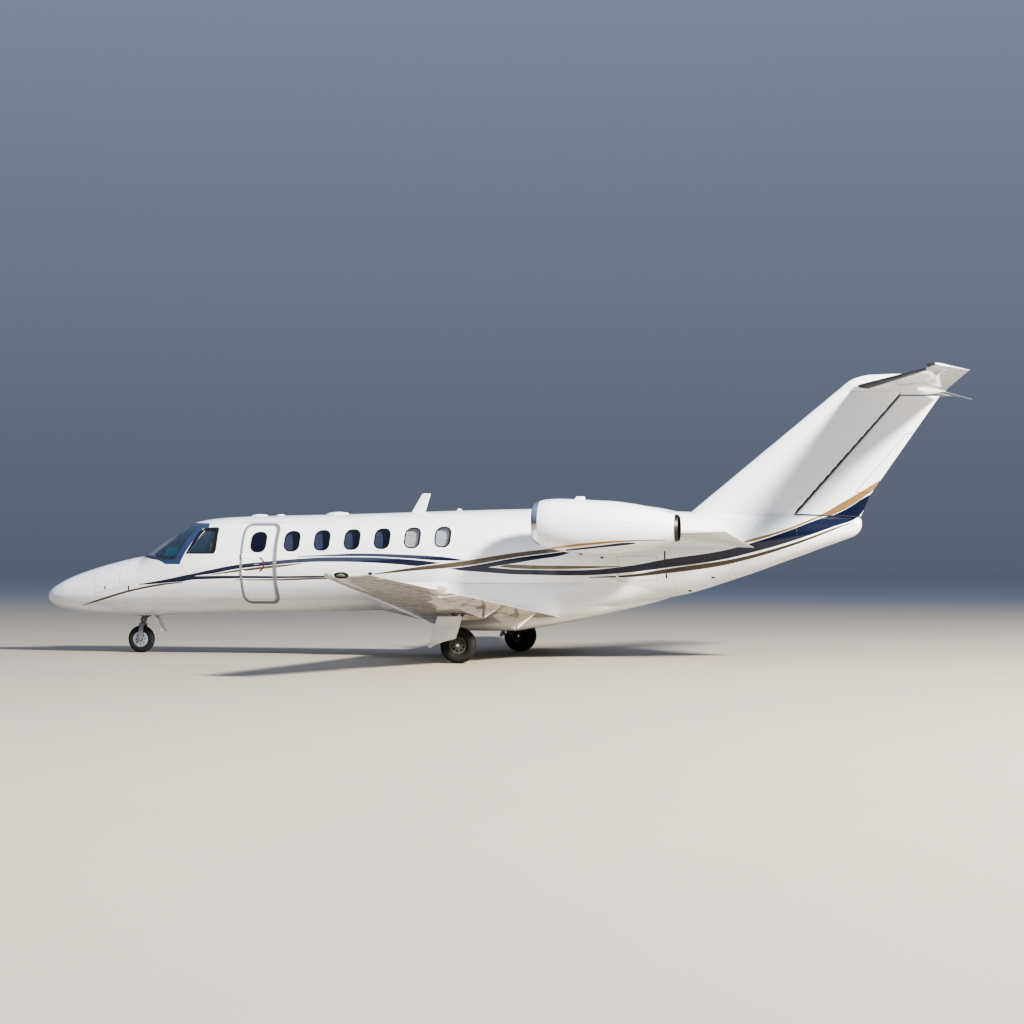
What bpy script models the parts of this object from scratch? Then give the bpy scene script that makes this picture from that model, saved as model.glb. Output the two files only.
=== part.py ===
"""A light twin-engine business jet standing on its landing gear.

Lengths are in metres. Stations run aft from the nose tip, y runs to the right
wing and heights run up from the ground. Every object hangs from one empty,
which carries the station frame to the middle of the length.
"""

import math

import bmesh
import bpy
from mathutils import Matrix, Vector

# Driving dimensions
NOSE_STATION = 0.01
LENGTH = 15.584
HALF_SPAN = 8.13
TAIL_HALF_SPAN = 3.16
NOSE_AXLE_STATION = 1.69
WHEELBASE = 6.11
HALF_TRACK = 2.44
MAIN_TYRE_RADIUS = 0.28
MAIN_TYRE_WIDTH = 0.19
NOSE_TYRE_RADIUS = 0.229
NOSE_TYRE_WIDTH = 0.112
CABIN_WALL = 0.085
DOOR_THICKNESS = 0.055
DOOR_SKIN = 0.012
TAIL_WALL = 0.026
SEAT_GAP = 0.0004
LUG_WIDTH = 0.010
MOVING_GAP = 0.008
HINGE_SIDES = 8

MID_STATION = NOSE_STATION + LENGTH / 2
MAIN_AXLE_STATION = NOSE_AXLE_STATION + WHEELBASE

# Fuselage sections: station, bottom, top, half width, height of the widest line
FUSELAGE = [
    (0.010, 0.955, 0.975, 0.010, 0.965),
    (0.025, 0.890, 1.035, 0.080, 0.964),
    (0.070, 0.842, 1.076, 0.150, 0.964),
    (0.180, 0.779, 1.152, 0.235, 0.967),
    (0.390, 0.724, 1.262, 0.330, 0.980),
    (0.650, 0.680, 1.363, 0.405, 1.002),
    (1.080, 0.640, 1.495, 0.505, 1.055),
    (1.570, 0.620, 1.614, 0.602, 1.125),
    (1.780, 0.622, 1.655, 0.642, 1.165),
    (2.000, 0.632, 1.800, 0.678, 1.220),
    (2.360, 0.644, 2.050, 0.733, 1.310),
    (2.540, 0.650, 2.165, 0.758, 1.352),
    (2.740, 0.656, 2.240, 0.780, 1.395),
    (3.100, 0.668, 2.295, 0.806, 1.460),
    (3.430, 0.678, 2.317, 0.816, 1.497),
    (5.600, 0.740, 2.372, 0.816, 1.556),
    (7.400, 0.792, 2.428, 0.816, 1.610),
    (8.600, 0.828, 2.456, 0.813, 1.642),
    (9.300, 0.850, 2.462, 0.790, 1.660),
    (10.000, 0.893, 2.452, 0.732, 1.682),
    (10.940, 1.040, 2.412, 0.625, 1.738),
    (11.800, 1.300, 2.385, 0.500, 1.850),
    (12.800, 1.658, 2.354, 0.330, 2.008),
    (13.300, 1.845, 2.340, 0.235, 2.094),
    (13.600, 1.955, 2.334, 0.170, 2.150),
    (13.760, 2.020, 2.325, 0.130, 2.180),
    (13.850, 2.105, 2.305, 0.085, 2.205),
    (13.872, 2.165, 2.270, 0.045, 2.215),
]
RADOME_AFT = 0.650
NOSE_AFT = 1.600
COCKPIT_AFT = 3.430
CABIN_AFT = 8.600

# Belly fairing sections: station, bottom, how far the section has run out into the hull
FAIRING = [
    (6.050, 0.740, 0.00),
    (6.500, 0.640, 0.00),
    (7.000, 0.510, 0.00),
    (7.400, 0.436, 0.00),
    (8.200, 0.438, 0.00),
    (8.500, 0.480, 0.00),
    (8.900, 0.545, 0.00),
    (9.300, 0.625, 0.05),
    (9.950, 0.775, 0.35),
    (10.500, 0.920, 0.80),
    (10.900, 1.045, 1.00),
]
FAIRING_TOP = 1.220
FAIRING_LIP = 0.012
FAIRING_SHARPNESS = 3.0

# Wing sections: y, leading edge, trailing edge, thickness as a part of the chord
WING = [
    (0.350, 6.665, 9.128, 0.140),
    (2.440, 6.811, 8.794, 0.135),
    (5.000, 6.990, 8.384, 0.125),
    (7.600, 7.172, 7.968, 0.115),
    (8.000, 7.235, 7.915, 0.100),
    (8.110, 7.320, 7.900, 0.070),
    (HALF_SPAN, 7.400, 7.880, 0.040),
]
WING_ROOT_HEIGHT = 0.672
WING_ROOT_Y = 0.500
DIHEDRAL = 0.0964
FLAP_SPAN = (0.950, 4.930)
FLAP_CHORDS = (0.420, 0.360)
FLAP_PIVOT_DROPS = (0.294, 0.111)
FLAP_PIVOT_BACK = 0.080
AILERON_SPAN = (5.000, 7.620)
AILERON_CHORDS = (0.270, 0.190)
FLAP_FIN_PLACES = (1.700, 3.180, 4.400)
FLAP_FIN_THICKNESS = 0.030

# Tail surfaces. Fin rows: height, leading edge, hinge line, thickness
FIN = [
    (2.150, 10.813, 12.586, 0.270),
    (2.483, 11.215, 12.882, 0.255),
    (4.000, 13.047, 14.227, 0.180),
    (4.330, 13.445, 14.520, 0.165),
]
RUDDER_HINGE_LOW = (12.894, 2.373)
RUDDER_HINGE_HIGH = (14.520, 4.255)
RUDDER_KINK = (14.000, 2.670)
RUDDER_TRAIL_HIGH = (15.100, 4.255)
RUDDER_TRAIL_LOW = (13.860, 2.373)
RUDDER_NOSE_LOW = 0.085
RUDDER_NOSE_HIGH = 0.058
RUDDER_FOOT_FALL = 0.040
RUDDER_GAP = 0.014

# Stabilizer rows: y, leading edge, hinge line, trailing edge, height, half thickness
STABILIZER = [
    (0.000, 13.715, 14.785, 15.180, 4.410, 0.062),
    (2.850, 14.952, 15.259, 15.557, 4.466, 0.026),
]
STABILIZER_TIP = (TAIL_HALF_SPAN, 15.085, 15.312, 15.600, 4.472, 0.022)
ELEVATOR_ROOT_Y = 0.145
ELEVATOR_DROOP = math.radians(12.0)

# Nacelle sections: station, outer radius, height of the centre
NACELLE_Y = 1.400
NACELLE = [
    (8.785, 0.292, 2.200),
    (8.800, 0.318, 2.199),
    (8.870, 0.350, 2.196),
    (9.000, 0.388, 2.187),
    (9.250, 0.418, 2.166),
    (9.600, 0.429, 2.140),
    (10.000, 0.422, 2.128),
    (10.360, 0.385, 2.124),
    (10.600, 0.342, 2.122),
    (10.850, 0.284, 2.121),
    (11.110, 0.200, 2.120),
]
# Duct sections: station, inner radius, height of the centre
INTAKE = [
    (8.780, 0.288, 2.200),
    (8.820, 0.272, 2.198),
    (8.950, 0.264, 2.180),
    (9.200, 0.282, 2.140),
    (9.300, 0.300, 2.130),
    (10.200, 0.300, 2.121),
    (10.600, 0.280, 2.120),
    (10.850, 0.238, 2.120),
    (11.115, 0.186, 2.120),
]
FAN_STATION = 9.340
FAN_RADIUS = 0.290
FAN_CENTRE_HEIGHT = 2.128
FAN_BLADES = 12

# Openings in the hull, seen from the side: station and height
WINDOW_STATIONS = (4.000, 4.575, 5.090, 5.602, 6.114, 6.625, 7.136)
WINDOW_FIRST_HEIGHT = 1.885
WINDOW_RISE = 0.0292
WINDOW_WIDTH = 0.265
WINDOW_HEIGHT = 0.335
DOOR_FRONT, DOOR_BACK = 3.745, 4.262
DOOR_BOTTOM, DOOR_TOP = 0.905, 2.155
DOOR_HINGE_OUT = 0.829
WINDSHIELD = [(1.62, 1.665), (2.310, 1.560), (2.585, 1.575), (2.960, 2.155), (2.30, 2.190)]
COCKPIT_WINDOW = [(2.745, 1.690), (3.005, 2.085), (3.235, 2.095), (3.262, 1.735), (3.215, 1.690)]
CENTRE_POST = 0.030


def clear_scene():
    for old in list(bpy.data.objects):
        bpy.data.objects.remove(old, do_unlink=True)


def row_at(table, place):
    """The table's row at a place between its rows, on a smooth curve that never overshoots."""
    rows = sorted(table)
    if place <= rows[0][0]:
        return rows[0]
    if place >= rows[-1][0]:
        return rows[-1]
    i = max(k for k in range(len(rows) - 1) if rows[k][0] <= place)
    span = rows[i + 1][0] - rows[i][0]
    t = (place - rows[i][0]) / span
    found = [place]
    for column in range(1, len(rows[0])):
        slopes = [slope_at(rows, k, column) for k in (i, i + 1)]
        start, end = rows[i][column], rows[i + 1][column]
        found.append(
            (2 * t**3 - 3 * t**2 + 1) * start
            + (t**3 - 2 * t**2 + t) * span * slopes[0]
            + (3 * t**2 - 2 * t**3) * end
            + (t**3 - t**2) * span * slopes[1]
        )
    return tuple(found)


def slope_at(rows, k, column):
    """The slope of a column at row k: the harmonic mean of the slopes on its two sides."""
    steps = [
        (rows[j + 1][column] - rows[j][column]) / (rows[j + 1][0] - rows[j][0])
        for j in (k - 1, k)
        if 0 <= j < len(rows) - 1
    ]
    if len(steps) == 1:
        return steps[0]
    if steps[0] * steps[1] <= 0:
        return 0.0
    return 2 * steps[0] * steps[1] / (steps[0] + steps[1])


def stations_between(table, start, end):
    """The table's own stations inside a range, with the two ends."""
    inner = [row[0] for row in table if start + 0.02 < row[0] < end - 0.02]
    return [start, *inner, end]


def fuselage_half_width(station, height, inset=0.0):
    """Distance from the centre plane to the hull's side at a height."""
    _, bottom, top, half_width, widest = row_at(FUSELAGE, station)
    reach = (top if height > widest else bottom) - widest
    reach -= math.copysign(inset, reach)
    level = min(1.0, abs((height - widest) / reach))
    return (half_width - inset) * math.sqrt(1 - level**2)


def fuselage_ring(station, inset=0.0, sides=28):
    _, bottom, top, half_width, widest = row_at(FUSELAGE, station)
    half_width = max(half_width - inset, 0.004)
    up = max(top - inset - widest, 0.004)
    down = max(widest - bottom - inset, 0.004)
    ring = []
    for k in range(sides):
        turn = 2 * math.pi * k / sides
        reach = up if math.sin(turn) > 0 else down
        ring.append(Vector((station, half_width * math.cos(turn), widest + reach * math.sin(turn))))
    return ring


def new_object(name, mesh):
    made = bpy.data.objects.new(name, mesh)
    bpy.context.scene.collection.objects.link(made)
    return made


def mesh_from(bm, name):
    bmesh.ops.recalc_face_normals(bm, faces=bm.faces)
    mesh = bpy.data.meshes.new(name)
    bm.to_mesh(mesh)
    bm.free()
    return mesh


def loft(name, rings):
    """A closed solid through rings of points, with flat ends."""
    bm = bmesh.new()
    rows = [[bm.verts.new(point) for point in ring] for ring in rings]
    sides = len(rows[0])
    for low, high in zip(rows, rows[1:]):
        for k in range(sides):
            after = (k + 1) % sides
            bm.faces.new((low[k], low[after], high[after], high[k]))
    bmesh.ops.triangulate(bm, faces=bm.faces[:])
    bm.faces.new(rows[0])
    bm.faces.new(reversed(rows[-1]))
    return new_object(name, mesh_from(bm, name))


def hull_solid(name, start, end, inset=0.0):
    return loft(name, [fuselage_ring(s, inset) for s in stations_between(FUSELAGE, start, end)])


def prism(name, outline, low, high, axis="Y"):
    """An outline of two coordinates pushed along the third axis, from low to high."""
    order = {"X": lambda a, b, c: (c, a, b), "Y": lambda a, b, c: (a, c, b), "Z": lambda a, b, c: (a, b, c)}[axis]
    return loft(name, [[Vector(order(a, b, c)) for a, b in outline] for c in (low, high)])


def box(name, low, high):
    outline = [(low[0], low[2]), (high[0], low[2]), (high[0], high[2]), (low[0], high[2])]
    return prism(name, outline, low[1], high[1])


def cylinder(name, start, end, radius, end_radius=None, sides=12):
    """A round bar or cone between two points."""
    start, end = Vector(start), Vector(end)
    turn = (end - start).to_track_quat("Z", "Y")
    rings = []
    for centre, size in ((start, radius), (end, radius if end_radius is None else end_radius)):
        angles = [2 * math.pi * (k + 0.5) / sides for k in range(sides)]
        rings.append([centre + turn @ Vector((size * math.cos(a), size * math.sin(a), 0)) for a in angles])
    return loft(name, rings)


def turned(name, profile, centre, axis="Y", sides=24):
    """A solid of revolution. The profile runs (place along the axis, radius) round a closed loop."""
    bm = bmesh.new()
    rows = []
    for k in range(sides):
        turn = 2 * math.pi * k / sides - math.pi / 2
        row = []
        for along, radius in profile:
            across = (radius * math.cos(turn), radius * math.sin(turn))
            point = (across[0], along, across[1]) if axis == "Y" else (along, across[0], across[1])
            row.append(bm.verts.new(Vector(point) + Vector(centre)))
        rows.append(row)
    count = len(profile)
    for k in range(sides):
        here, there = rows[k], rows[(k + 1) % sides]
        for j in range(count):
            bm.faces.new((here[j], here[(j + 1) % count], there[(j + 1) % count], there[j]))
    bmesh.ops.remove_doubles(bm, verts=bm.verts, dist=1e-6)
    return new_object(name, mesh_from(bm, name))


def rounded_outline(low, high, radius, corner_points=3):
    """A rectangle with round corners, as (first, second) coordinates."""
    centres = [
        (high[0] - radius, high[1] - radius, 0),
        (low[0] + radius, high[1] - radius, 90),
        (low[0] + radius, low[1] + radius, 180),
        (high[0] - radius, low[1] + radius, 270),
    ]
    outline = []
    for x, z, first in centres:
        for k in range(corner_points + 1):
            turn = math.radians(first + 90 * k / corner_points)
            outline.append((x + radius * math.cos(turn), z + radius * math.sin(turn)))
    return outline


def grown(outline, by):
    """The outline moved outwards by a distance, corner by corner."""
    points = [Vector(p) for p in outline]
    area = sum(a.x * b.y - b.x * a.y for a, b in zip(points, points[1:] + points[:1]))
    side = 1 if area > 0 else -1
    moved = []
    for k, here in enumerate(points):
        before = (here - points[k - 1]).normalized()
        after = (points[(k + 1) % len(points)] - here).normalized()
        normals = [Vector((d.y, -d.x)) * side for d in (before, after)]
        both = normals[0] + normals[1]
        moved.append(tuple(here + both * (2 * by / both.length_squared)))
    return moved


def combine(target, other, operation, keep_other=False):
    """A Boolean, applied to the target's mesh."""
    cut = target.modifiers.new("cut", "BOOLEAN")
    cut.operation = operation
    cut.solver = "EXACT"
    cut.object = other
    graph = bpy.context.evaluated_depsgraph_get()
    result = bpy.data.meshes.new_from_object(target.evaluated_get(graph))
    target.modifiers.clear()
    target.data = result
    if not keep_other:
        bpy.data.objects.remove(other, do_unlink=True)
    return target


def cut(target, other, keep_other=False):
    return combine(target, other, "DIFFERENCE", keep_other)


def join(target, *others):
    for other in others:
        combine(target, other, "UNION")
    return target


def overlap(target, other, keep_other=False):
    return combine(target, other, "INTERSECT", keep_other)


def mirrored(source, name):
    """A copy of a left-hand piece, reflected to the right."""
    mesh = source.data.copy()
    mesh.transform(Matrix.Scale(-1, 4, Vector((0, 1, 0))))
    mesh.flip_normals()
    return new_object(name, mesh)


def lug_hinge(fixed, moving, point, axis, nose, reach, forward=(-1, 0, 0)):
    """A plate on the fixed piece that runs in a slot through the moving piece's nose.

    The slot is coaxial with the hinge, so the plate stays beside its walls through the swing.
    """
    point, axis = Vector(point), Vector(axis).normalized()
    forward = Vector(forward)
    forward = (forward - axis * forward.dot(axis)).normalized()
    half = LUG_WIDTH / 2
    slot_ends = [point + axis * side * (half + SEAT_GAP) for side in (-1, 1)]
    cut(moving, cylinder("slot", *slot_ends, nose + 0.014, sides=HINGE_SIDES))
    side = axis.cross(forward)
    plate = cylinder("plate", point - axis * half, point + axis * half, nose * 0.70, sides=HINGE_SIDES)
    corners = []
    for along, across in ((0, -0.5), (reach, -0.5), (reach, 0.5), (0, 0.5)):
        corners.append(point + forward * along + side * across * nose)
    arm = loft("arm", [[c + axis * offset for c in corners] for offset in (-half + 0.0002, half - 0.0002)])
    return join(fixed, join(plate, arm))


def knuckle_hinge(fixed, moving, point, axis, into_fixed, into_moving, radius=0.009, reach=0.030, width=0.030):
    """Two barrels end to end on the hinge line, one on each piece, with a web to each."""
    point, axis = Vector(point), Vector(axis).normalized()
    start = SEAT_GAP / 2
    for piece, other, way, into in ((fixed, moving, -1, into_fixed), (moving, fixed, 1, into_moving)):
        into = Vector(into)
        into = (into - axis * into.dot(axis)).normalized()
        thick = axis.cross(into)
        far = point + axis * way * (width + 0.005)
        cut(other, cylinder("clearance", point, far, radius + 0.006, sides=HINGE_SIDES))
        ends = [point + axis * way * place for place in (start, width)]
        barrel = cylinder("barrel", *ends, radius, sides=HINGE_SIDES)
        corners = []
        for along, across in ((0.001, -0.7), (reach, -0.7), (reach, 0.7), (0.001, 0.7)):
            corners.append(point + into * along + thick * across * radius)
        web = loft("web", [[c + axis * way * end for c in corners] for end in (start + 0.0003, width - 0.0017)])
        join(piece, join(barrel, web))


def make_symmetric(piece):
    """Replaces the right half of a piece with a reflection of its left half."""
    overlap(piece, box("left_half", (-1, -9, -1), (17, 0, 7)))
    return join(piece, mirrored(piece, "right_half"))


def hang_hatch(hull, hatch, frame, length, reach, drop=0.35):
    """Two knuckle hinges near the ends of a hatch's hinge line, with webs that drop to the skin."""
    turn = frame.to_3x3()
    along, into_hull, into_hatch = [turn @ Vector(v) for v in ((1, 0, 0), (0, -1, -drop), (0, 1, -drop))]
    for part in (-0.32, 0.32):
        point = frame.translation + along * part * length
        knuckle_hinge(hull, hatch, point, along, into_hull, into_hatch, 0.008, reach)


def set_origin(piece, origin):
    """Moves the object's origin to a joint's axis, with the shape left in place."""
    piece.data.transform(Matrix.Translation(-Vector(origin)))
    piece.location = origin
    return piece


def finish_material(name, colour, roughness, metallic=0.0):
    material = bpy.data.materials.new(name)
    material.use_nodes = True
    shader = material.node_tree.nodes["Principled BSDF"]
    shader.inputs["Base Color"].default_value = (*colour, 1)
    shader.inputs["Roughness"].default_value = roughness
    shader.inputs["Metallic"].default_value = metallic
    return material


# Fuselage


def skin_panel(name, start, end, thickness, cutter, lift=0.0):
    """A piece of the hull's own skin inside a cutter, such as a pane or a door."""
    panel = hull_solid(name, start, end, -lift)
    panel = cut(panel, hull_solid("inside", start - 0.05, end + 0.05, thickness))
    return overlap(panel, cutter)


def side_cutter(outline, inner=0.02, outer=1.3):
    """A cutter through the left side, from near the centre plane outwards."""
    return prism("cutter", outline, -outer, -inner)


def window_outline(station):
    height = WINDOW_FIRST_HEIGHT + WINDOW_RISE * (station - WINDOW_STATIONS[0])
    half = (WINDOW_WIDTH / 2, WINDOW_HEIGHT / 2)
    low = (station - half[0], height - half[1])
    high = (station + half[0], height + half[1])
    return rounded_outline(low, high, 0.110, 2)


def make_radome():
    return hull_solid("radome", NOSE_STATION, RADOME_AFT - SEAT_GAP)


def make_nose_section():
    nose = hull_solid("nose_section", RADOME_AFT, NOSE_AFT - SEAT_GAP)
    return cut(nose, hull_solid("hollow", RADOME_AFT + 0.06, NOSE_AFT - 0.05, 0.040))


def make_cockpit_section():
    cockpit = hull_solid("cockpit_section", NOSE_AFT, COCKPIT_AFT - SEAT_GAP)
    cut(cockpit, hull_solid("hollow", NOSE_AFT + 0.05, COCKPIT_AFT + 0.2, CABIN_WALL))
    for outline, inner in ((WINDSHIELD, CENTRE_POST), (COCKPIT_WINDOW, 0.3)):
        left = side_cutter(outline, inner)
        cut(cockpit, mirrored(left, "right"))
        cut(cockpit, left)
    return cut(cockpit, box("gear_slot", (1.66, -0.125, 0.4), (2.02, 0.125, 0.86)))


def make_windscreens():
    panes = []
    for name, outline, inner, start, end in (
        ("windshield", WINDSHIELD, CENTRE_POST, NOSE_AFT + 0.01, 3.2),
        ("cockpit_window", COCKPIT_WINDOW, 0.3, 2.5, COCKPIT_AFT - 0.01),
    ):
        smaller = grown(outline, -SEAT_GAP)
        pane = skin_panel(name + "_left", start, end, 0.022, side_cutter(smaller, inner + SEAT_GAP))
        panes += [pane, mirrored(pane, name + "_right")]
    return panes


def door_outline(margin=0.0):
    low = (DOOR_FRONT - margin, DOOR_BOTTOM - margin)
    high = (DOOR_BACK + 1.5 * margin, DOOR_TOP + margin)
    return rounded_outline(low, high, 0.090 + margin)


def make_cabin_section():
    """The cabin's tube, closed at the back, with its windows and doorway cut."""
    cabin = hull_solid("cabin_section", COCKPIT_AFT, CABIN_AFT - SEAT_GAP)
    cut(cabin, hull_solid("hollow", COCKPIT_AFT - 0.2, CABIN_AFT - 0.06, CABIN_WALL))
    for number, station in enumerate(WINDOW_STATIONS):
        left = side_cutter(window_outline(station), 0.3)
        cut(cabin, mirrored(left, "right"))
        if number:
            cut(cabin, left)
        else:
            bpy.data.objects.remove(left, do_unlink=True)
    return cut(cabin, side_cutter(door_outline(MOVING_GAP), 0.1))


def make_cabin_door():
    """A thin outer skin, and a smaller thick frame behind it that swings clear of the doorway."""
    door = skin_panel("cabin_door", 3.6, 4.4, DOOR_SKIN, side_cutter(door_outline(), 0.1))
    low = (DOOR_FRONT + 0.012, DOOR_BOTTOM + 0.020)
    frame_outline = rounded_outline(low, (DOOR_BACK - 0.065, DOOR_TOP - 0.020), 0.080)
    frame = hull_solid("frame", 3.6, 4.4, DOOR_SKIN / 2)
    cut(frame, hull_solid("inside", 3.5, 4.5, DOOR_THICKNESS))
    join(door, overlap(frame, side_cutter(frame_outline, 0.1)))
    cut(door, side_cutter(window_outline(WINDOW_STATIONS[0]), 0.3))
    inside_step = box("stair", (3.84, -0.690, 1.10), (4.17, -0.62, 1.16))
    return join(door, inside_step)


def make_door_window():
    outline = grown(window_outline(WINDOW_STATIONS[0]), -SEAT_GAP)
    pane = skin_panel("door_window", 3.7, 4.3, 0.018, side_cutter(outline, 0.3))
    return set_origin(pane, (DOOR_FRONT, -DOOR_HINGE_OUT, (DOOR_BOTTOM + DOOR_TOP) / 2))


def hatch_frame(corner, along, outward):
    """The frame of a hatch: its hinge line, the way across the skin from it, and outwards."""
    along = Vector(along).normalized()
    outward = Vector(outward)
    outward = (outward - along * outward.dot(along)).normalized()
    across = outward.cross(along).normalized()
    return Matrix.Translation(Vector(corner)) @ Matrix((along, across, outward)).transposed().to_4x4()


def hatch_cutter(frame, length, width, margin):
    """A block over the hatch: from the hinge line across the skin, in the hatch's own frame."""
    outline = rounded_outline((-length / 2 - margin, 0.004 - margin), (length / 2 + margin, width + margin), 0.03)
    block = prism("hatch_cutter", outline, -0.16, 0.12, "Z")
    block.data.transform(frame)
    if frame.determinant() < 0:
        block.data.flip_normals()
    return block


# Hatches: name, hinge middle (station, height), hinge direction, length, width
NOSE_HATCH = {"station": 1.240, "height": 1.400, "length": 0.500, "width": 0.360}
TAIL_HATCH = {"station": 10.020, "low": 1.260, "high": 1.660, "length": 0.400, "width": 0.640}
HATCH_THICKNESS = 0.018
TAIL_HATCH_HINGE_OUT = 0.036


def nose_hatch_frame():
    """Hinged along its top edge, which follows the nose's taper."""
    ends = []
    for step in (-0.5, 0.5):
        station = NOSE_HATCH["station"] + step * NOSE_HATCH["length"]
        height = NOSE_HATCH["height"] + 0.20 * step * NOSE_HATCH["length"]
        ends.append(Vector((station, -fuselage_half_width(station, height) - 0.004, height)))
    middle = (ends[0] + ends[1]) / 2
    return hatch_frame(middle, ends[0] - ends[1], (0, -0.75, 0.66))


def tail_hatch_frame():
    """Hinged along its front edge, which leans with the hull's side."""
    station = TAIL_HATCH["station"]
    low, high = [
        Vector((station, -fuselage_half_width(station, height) - TAIL_HATCH_HINGE_OUT, height))
        for height in (TAIL_HATCH["low"], TAIL_HATCH["high"])
    ]
    return hatch_frame((low + high) / 2, low - high, (0.12, -1, -0.3))


def make_nose_hatches(nose):
    frame = nose_hatch_frame()
    size = (NOSE_HATCH["length"], NOSE_HATCH["width"])
    cut(nose, hatch_cutter(frame, *size, MOVING_GAP))
    left = skin_panel("nose_hatch_left", 0.9, 1.59, HATCH_THICKNESS, hatch_cutter(frame, *size, 0))
    hang_hatch(nose, left, frame, NOSE_HATCH["length"], 0.028)
    make_symmetric(nose)
    right = mirrored(left, "nose_hatch_right")
    middle = frame.translation.copy()
    set_origin(left, middle)
    return [left, set_origin(right, (middle.x, -middle.y, middle.z))]


def make_tail_section():
    tail = hull_solid("tail_section", CABIN_AFT, FUSELAGE[-1][0])
    cut(tail, hull_solid("hollow", CABIN_AFT + 0.03, 13.3, TAIL_WALL))
    hole = hatch_cutter(tail_hatch_frame(), TAIL_HATCH["length"], TAIL_HATCH["width"], MOVING_GAP)
    return cut(tail, hole)


def make_tail_hatch(tail):
    frame = tail_hatch_frame()
    cutter = hatch_cutter(frame, TAIL_HATCH["length"], TAIL_HATCH["width"], 0)
    hatch = skin_panel("tail_hatch", 9.8, 10.9, HATCH_THICKNESS, cutter)
    hang_hatch(tail, hatch, frame, TAIL_HATCH["length"], 0.066, 0.75)
    return set_origin(hatch, frame.translation)


# Wing and its fairing


def wing_height(y):
    return WING_ROOT_HEIGHT + DIHEDRAL * (abs(y) - WING_ROOT_Y)


def wing_row(y):
    """The wing's leading edge, trailing edge and thickness at a place on the span."""
    rows = WING
    for low, high in zip(rows, rows[1:]):
        if y <= high[0] or high is rows[-1]:
            t = (y - low[0]) / (high[0] - low[0])
            return [a + (b - a) * t for a, b in zip(low, high)][1:]
    return None


def half_thickness(part, ratio):
    """Half the section's thickness, as a part of the chord."""
    return max(
        0.0018,
        5 * ratio * (0.2969 * math.sqrt(part) - 0.126 * part - 0.3516 * part**2 + 0.2843 * part**3 - 0.1036 * part**4),
    )


SECTION_PARTS = (1.0, 0.85, 0.68, 0.48, 0.30, 0.16, 0.07, 0.02)


def wing_ring(y, lead, trail, ratio, height, grow=0.0):
    """A wing section, left of the centre plane."""
    chord = trail - lead
    upper = [(lead + part * chord, half_thickness(part, ratio) * chord + grow) for part in SECTION_PARTS]
    ring = [Vector((x, -y, height + z)) for x, z in upper]
    ring.append(Vector((lead - grow, -y, height)))
    ring += [Vector((x, -y, height - 0.8 * z)) for x, z in reversed(upper)]
    return ring


def line_at(places, values, y):
    return values[0] + (values[1] - values[0]) * (y - places[0]) / (places[1] - places[0])


def flap_lead(y):
    return wing_row(y)[1] - line_at(FLAP_SPAN, FLAP_CHORDS, y)


def aileron_lead(y):
    return wing_row(y)[1] - line_at(AILERON_SPAN, AILERON_CHORDS, y)


def surface_nose(y, lead):
    """The radius of a flap's or an aileron's round nose: just inside the wing's section there."""
    front, trail, ratio = wing_row(y)
    chord = trail - front
    return 0.9 * half_thickness((lead(y) - front) / chord, ratio) * chord


def surface_gap_cutter(span, lead, gap):
    """Clears the wing behind a flap's or an aileron's nose."""
    low, high = span[0] - gap, span[1] + gap
    outline = [(lead(low) - 0.03, -low), (lead(high) - 0.03, -high), (9.6, -high), (9.6, -low)]
    return prism("behind", outline, 0.2, 1.8, "Z")


def control_ring(y, nose, trail, height, radius):
    """A control surface's section: a round nose on the hinge line and straight sides."""
    ring = []
    for k in range(7):
        turn = math.pi / 2 + math.pi * k / 6
        ring.append(Vector((nose + radius * math.cos(turn), y, height + radius * math.sin(turn))))
    ring.append(Vector((trail, y, height - 0.002)))
    ring.append(Vector((trail, y, height + 0.002)))
    return ring


def wing_surface(name, span, lead):
    """A flap or an aileron on the left wing, as a loft between its ends."""
    rings = []
    for y in span:
        radius = surface_nose(y, lead)
        rings.append(control_ring(-y, lead(y) + radius, wing_row(y)[1], wing_height(y), radius))
    return loft(name, rings)


def flap_fin(y, fixed):
    """Half of the thin fin that covers a flap's pivot: the wing's half, or the flap's."""
    (pivot, _, low), base = flap_pivot(y), wing_height(y)
    low -= 0.020
    if fixed:
        ahead = flap_lead(y) - 0.045
        under = base - surface_nose(y, flap_lead) - 0.020
        outline = [(pivot - 0.44, base - 0.06), (pivot - 0.036, low), (pivot - 0.040, under), (ahead, under)]
        outline += [(ahead, base - 0.02), (pivot - 0.30, base)]
    else:
        trail = wing_row(y)[1]
        outline = [(pivot, low), (trail - 0.03, base - 0.012), (trail - 0.06, base), (pivot + 0.03, base)]
    return prism("fin", outline, -y - FLAP_FIN_THICKNESS / 2, -y + FLAP_FIN_THICKNESS / 2)


def hang_flap(wing, flap):
    """Fin halves at each pivot, joined by a plate of the wing's in a slot of the flap's."""
    ends = [flap_pivot(y) for y in FLAP_SPAN]
    axis = (ends[0] - ends[1]).normalized()
    for y in FLAP_FIN_PLACES:
        t = (y - FLAP_SPAN[0]) / (FLAP_SPAN[1] - FLAP_SPAN[0])
        pivot = ends[0].lerp(ends[1], t)
        half = FLAP_FIN_THICKNESS / 2
        moving = join(flap_fin(y, False), cylinder("boss", pivot - axis * (half - 0.003), pivot + axis * (half - 0.003), 0.022))
        fixed = flap_fin(y, True)
        lug_hinge(fixed, moving, pivot, axis, 0.022, 0.075)
        join(flap, moving)
        join(wing, fixed)


def hinge_line(wing_span, lead):
    """The two ends of an aileron's hinge line, on the left wing."""
    ends = []
    for y in wing_span:
        radius = surface_nose(y, lead)
        ends.append((Vector((lead(y) + radius, -y, wing_height(y))), radius))
    return ends


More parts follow.
